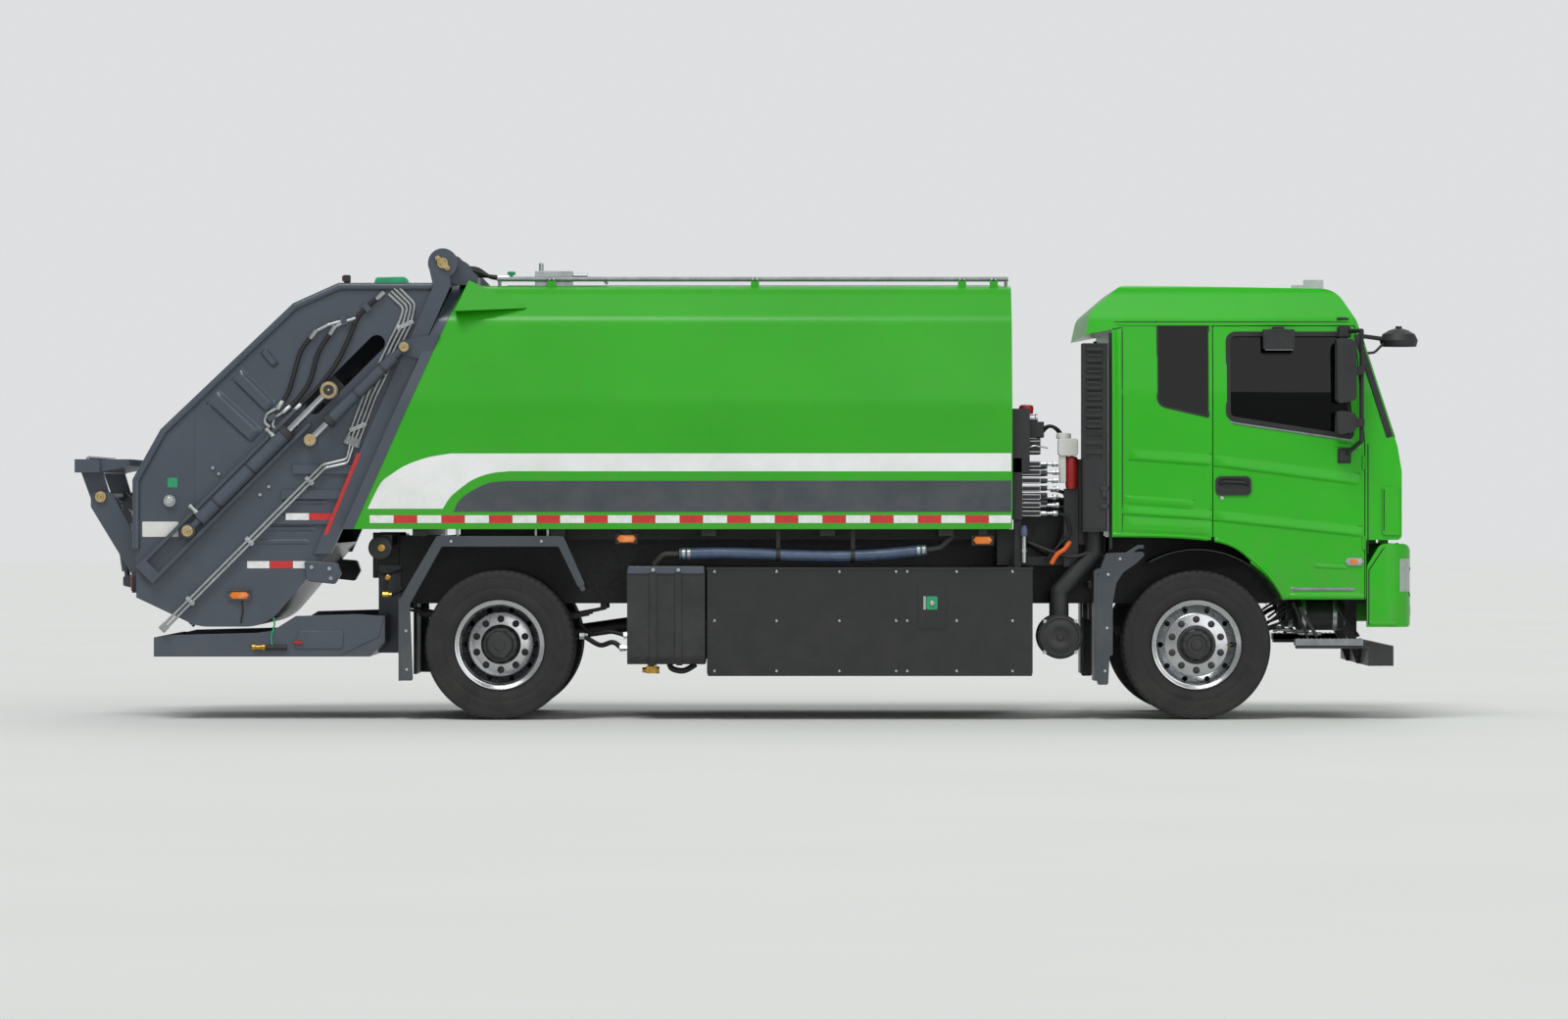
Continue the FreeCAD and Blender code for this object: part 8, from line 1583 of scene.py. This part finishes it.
# dashboard: hood over the dials, display, vents, column stalks, brake lever and a switch row
dashRear, wheelY, ventRow = 3.99, 0.56, (-0.88, -0.36, 0.24, 0.9)
hood = [(3.96, 1.795), (3.97, 1.88), (4.01, 1.905), (4.15, 1.85), (4.16, 1.795)]
pieces = [roundSlab([(*p, 0.012) for p in hood], wheelY - 0.21, wheelY + 0.21, steps=3), roundBox(-0.15,
    0.13, 1.6, 1.79, 0.02, dashRear - 0.016, dashRear + 0.01, plane="front", steps=4),
    boxPart(3.88, 4.0, -0.06, 0.06, 1.29, 1.56)]
addPiece("dash_hood", pieces, "cabinGrey", "cab", slot="black_plastic", bevel=0.004)
dials = [lathePart([(0, 0.055), (-0.003, 0.06), (-0.006, 0.055), (-0.002, 0.002)], 36, "x",
    (3.966, wheelY + s * 0.085, 1.845)) for s in (-1, 1)]
dials.append(roundBox(-0.115, 0.095, 1.665, 1.775, 0.008, dashRear - 0.02, dashRear - 0.012, plane="front"))
addPiece("dash_dials", dials, "tintedGlass", "cab", slot="black_plastic")
vents = [ringOn(rectangle(y - 0.065, y + 0.065, 1.7, 1.77, 0.012), -0.006, 0.004, -0.004, 0.006,
    flatAt(dashRear - 0.004), "front") for y in ventRow]
vents += [boxPart(dashRear - 0.006, dashRear - 0.001, y - 0.06, y + 0.06, z - 0.002, z + 0.002)
    for y in ventRow for z in (1.716, 1.732, 1.748)]
addPiece("dash_vents", vents, "mouldedBlack", "cab")
switches = copiesAt(boxPart(dashRear - 0.01, dashRear, -0.012, 0.012, 1.628, 1.65), [(0, y, 0)
    for y in np.arange(-0.12, 0.11, 0.034)])
stalks = [tubePart([(3.845, wheelY + s * 0.03, 1.86), (3.825, wheelY + s * 0.185, 1.885)], 0.007, 8)
    for s in (-1, 1)]
lever = [bentTube([(3.93, 0.02, 1.555), (3.915, 0.02, 1.64), (3.885, 0.02, 1.7)], 0.03, 0.009),
    lathePart([(0, 0.014), (0.03, 0.022), (0.055, 0.02), (0.062, 0.006)], 20, "z", (3.885, 0.02, 1.69))]
addPiece("dash_controls", [switches] + stalks + lever, "softRubberAndGapShade", "cab")
visors = [roundBox(y - 0.24, y + 0.24, 2.52, 2.65, 0.02, 4.03, 4.044, plane="front", steps=4)
    for y in (-0.52, 0.52)]
addPiece("sun_visors", visors, "cabinGrey", "cab", slot="seat_fabric", bevel=0.004)
print("cabin done")


# floor, light and camera

stageSpec = {
    "floor": 140.0, "cameraAway": 46.0, "aim": (0.257, -1.24, 1.419), "frameWidth": 10.56, "worldLight": 0.5,
    "backdrop": 0.86,
}
floorMesh = bpy.data.meshes.new("studio_floor")
reach = stageSpec["floor"]
floorMesh.from_pydata([(-reach, -reach, 0), (reach, -reach, 0), (reach, reach, 0), (-reach, reach, 0)], [],
    [(0, 1, 2, 3)])
studioFloor = newObject("studio_floor", floorMesh)
floorFinish = bpy.data.materials.new("paintedFloor")
floorFinish.use_nodes = True
floorShader = floorFinish.node_tree.nodes["Principled BSDF"]
floorShader.inputs["Roughness"].default_value = 0.85
floorPlace = addNode(floorFinish, "ShaderNodeTexCoord").outputs["Object"]
floorNoise = addNode(floorFinish, "ShaderNodeTexNoise", {"Scale": 0.35, "Detail": 4.0},
    {"Vector": floorPlace}).outputs["Fac"]
floorTone = addNode(floorFinish, "ShaderNodeMix", {6: linearColour("#DDDEDC"), 7: linearColour("#D6D7D5")},
    {0: floorNoise}, data_type="RGBA").outputs[2]
floorFinish.node_tree.links.new(floorTone, floorShader.inputs["Base Color"])
floorMesh.materials.append(floorFinish)

# the world lights softly from all round; what the camera sees of it, also through glass, is the backdrop
world = bpy.data.worlds.new("studio")
bpy.context.scene.world = world
world.use_nodes = True
background = world.node_tree.nodes["Background"]
background.inputs["Color"].default_value = linearColour("#EDEFF0")
rays = addNode(world, "ShaderNodeLightPath").outputs
seen = addNode(world, "ShaderNodeMath", links={0: rays["Is Camera Ray"], 1: rays["Is Transmission Ray"]},
    operation="MAXIMUM").outputs[0]
level = addNode(world, "ShaderNodeMapRange", {"To Min": stageSpec["worldLight"],
    "To Max": stageSpec["backdrop"]}, {"Value": seen}).outputs[0]
world.node_tree.links.new(level, background.inputs["Strength"])

sunSpec = {  # soft suns: the way each one shines, its strength and its width in degrees
    "key": ((0.25, 0.62, -1.0), 1.55, 25),
    "fill": ((-0.5, 1.0, -0.35), 0.75, 50),
    "back": ((-0.2, -1.0, -0.8), 0.55, 40),
}
for name, (way, strength, width) in sunSpec.items():
    light = bpy.data.lights.new(name, "SUN")
    light.energy, light.angle = strength, math.radians(width)
    newObject(name, light).rotation_euler = (math.atan2(math.hypot(way[0], way[1]), -way[2]), 0,
        math.atan2(-way[0], way[1]))

cameraData = bpy.data.cameras.new("camera")
cameraData.sensor_width = 36.0
cameraData.lens = 36.0 * stageSpec["cameraAway"] / stageSpec["frameWidth"]
cameraData.clip_end = 300.0
camera = newObject("camera", cameraData)
x, y, z = stageSpec["aim"]
camera.location = (x, y - stageSpec["cameraAway"], z)
camera.rotation_euler = (math.pi / 2, 0, 0)
bpy.context.scene.camera = camera
bpy.context.scene.view_settings.view_transform = "Standard"

print("stage done")
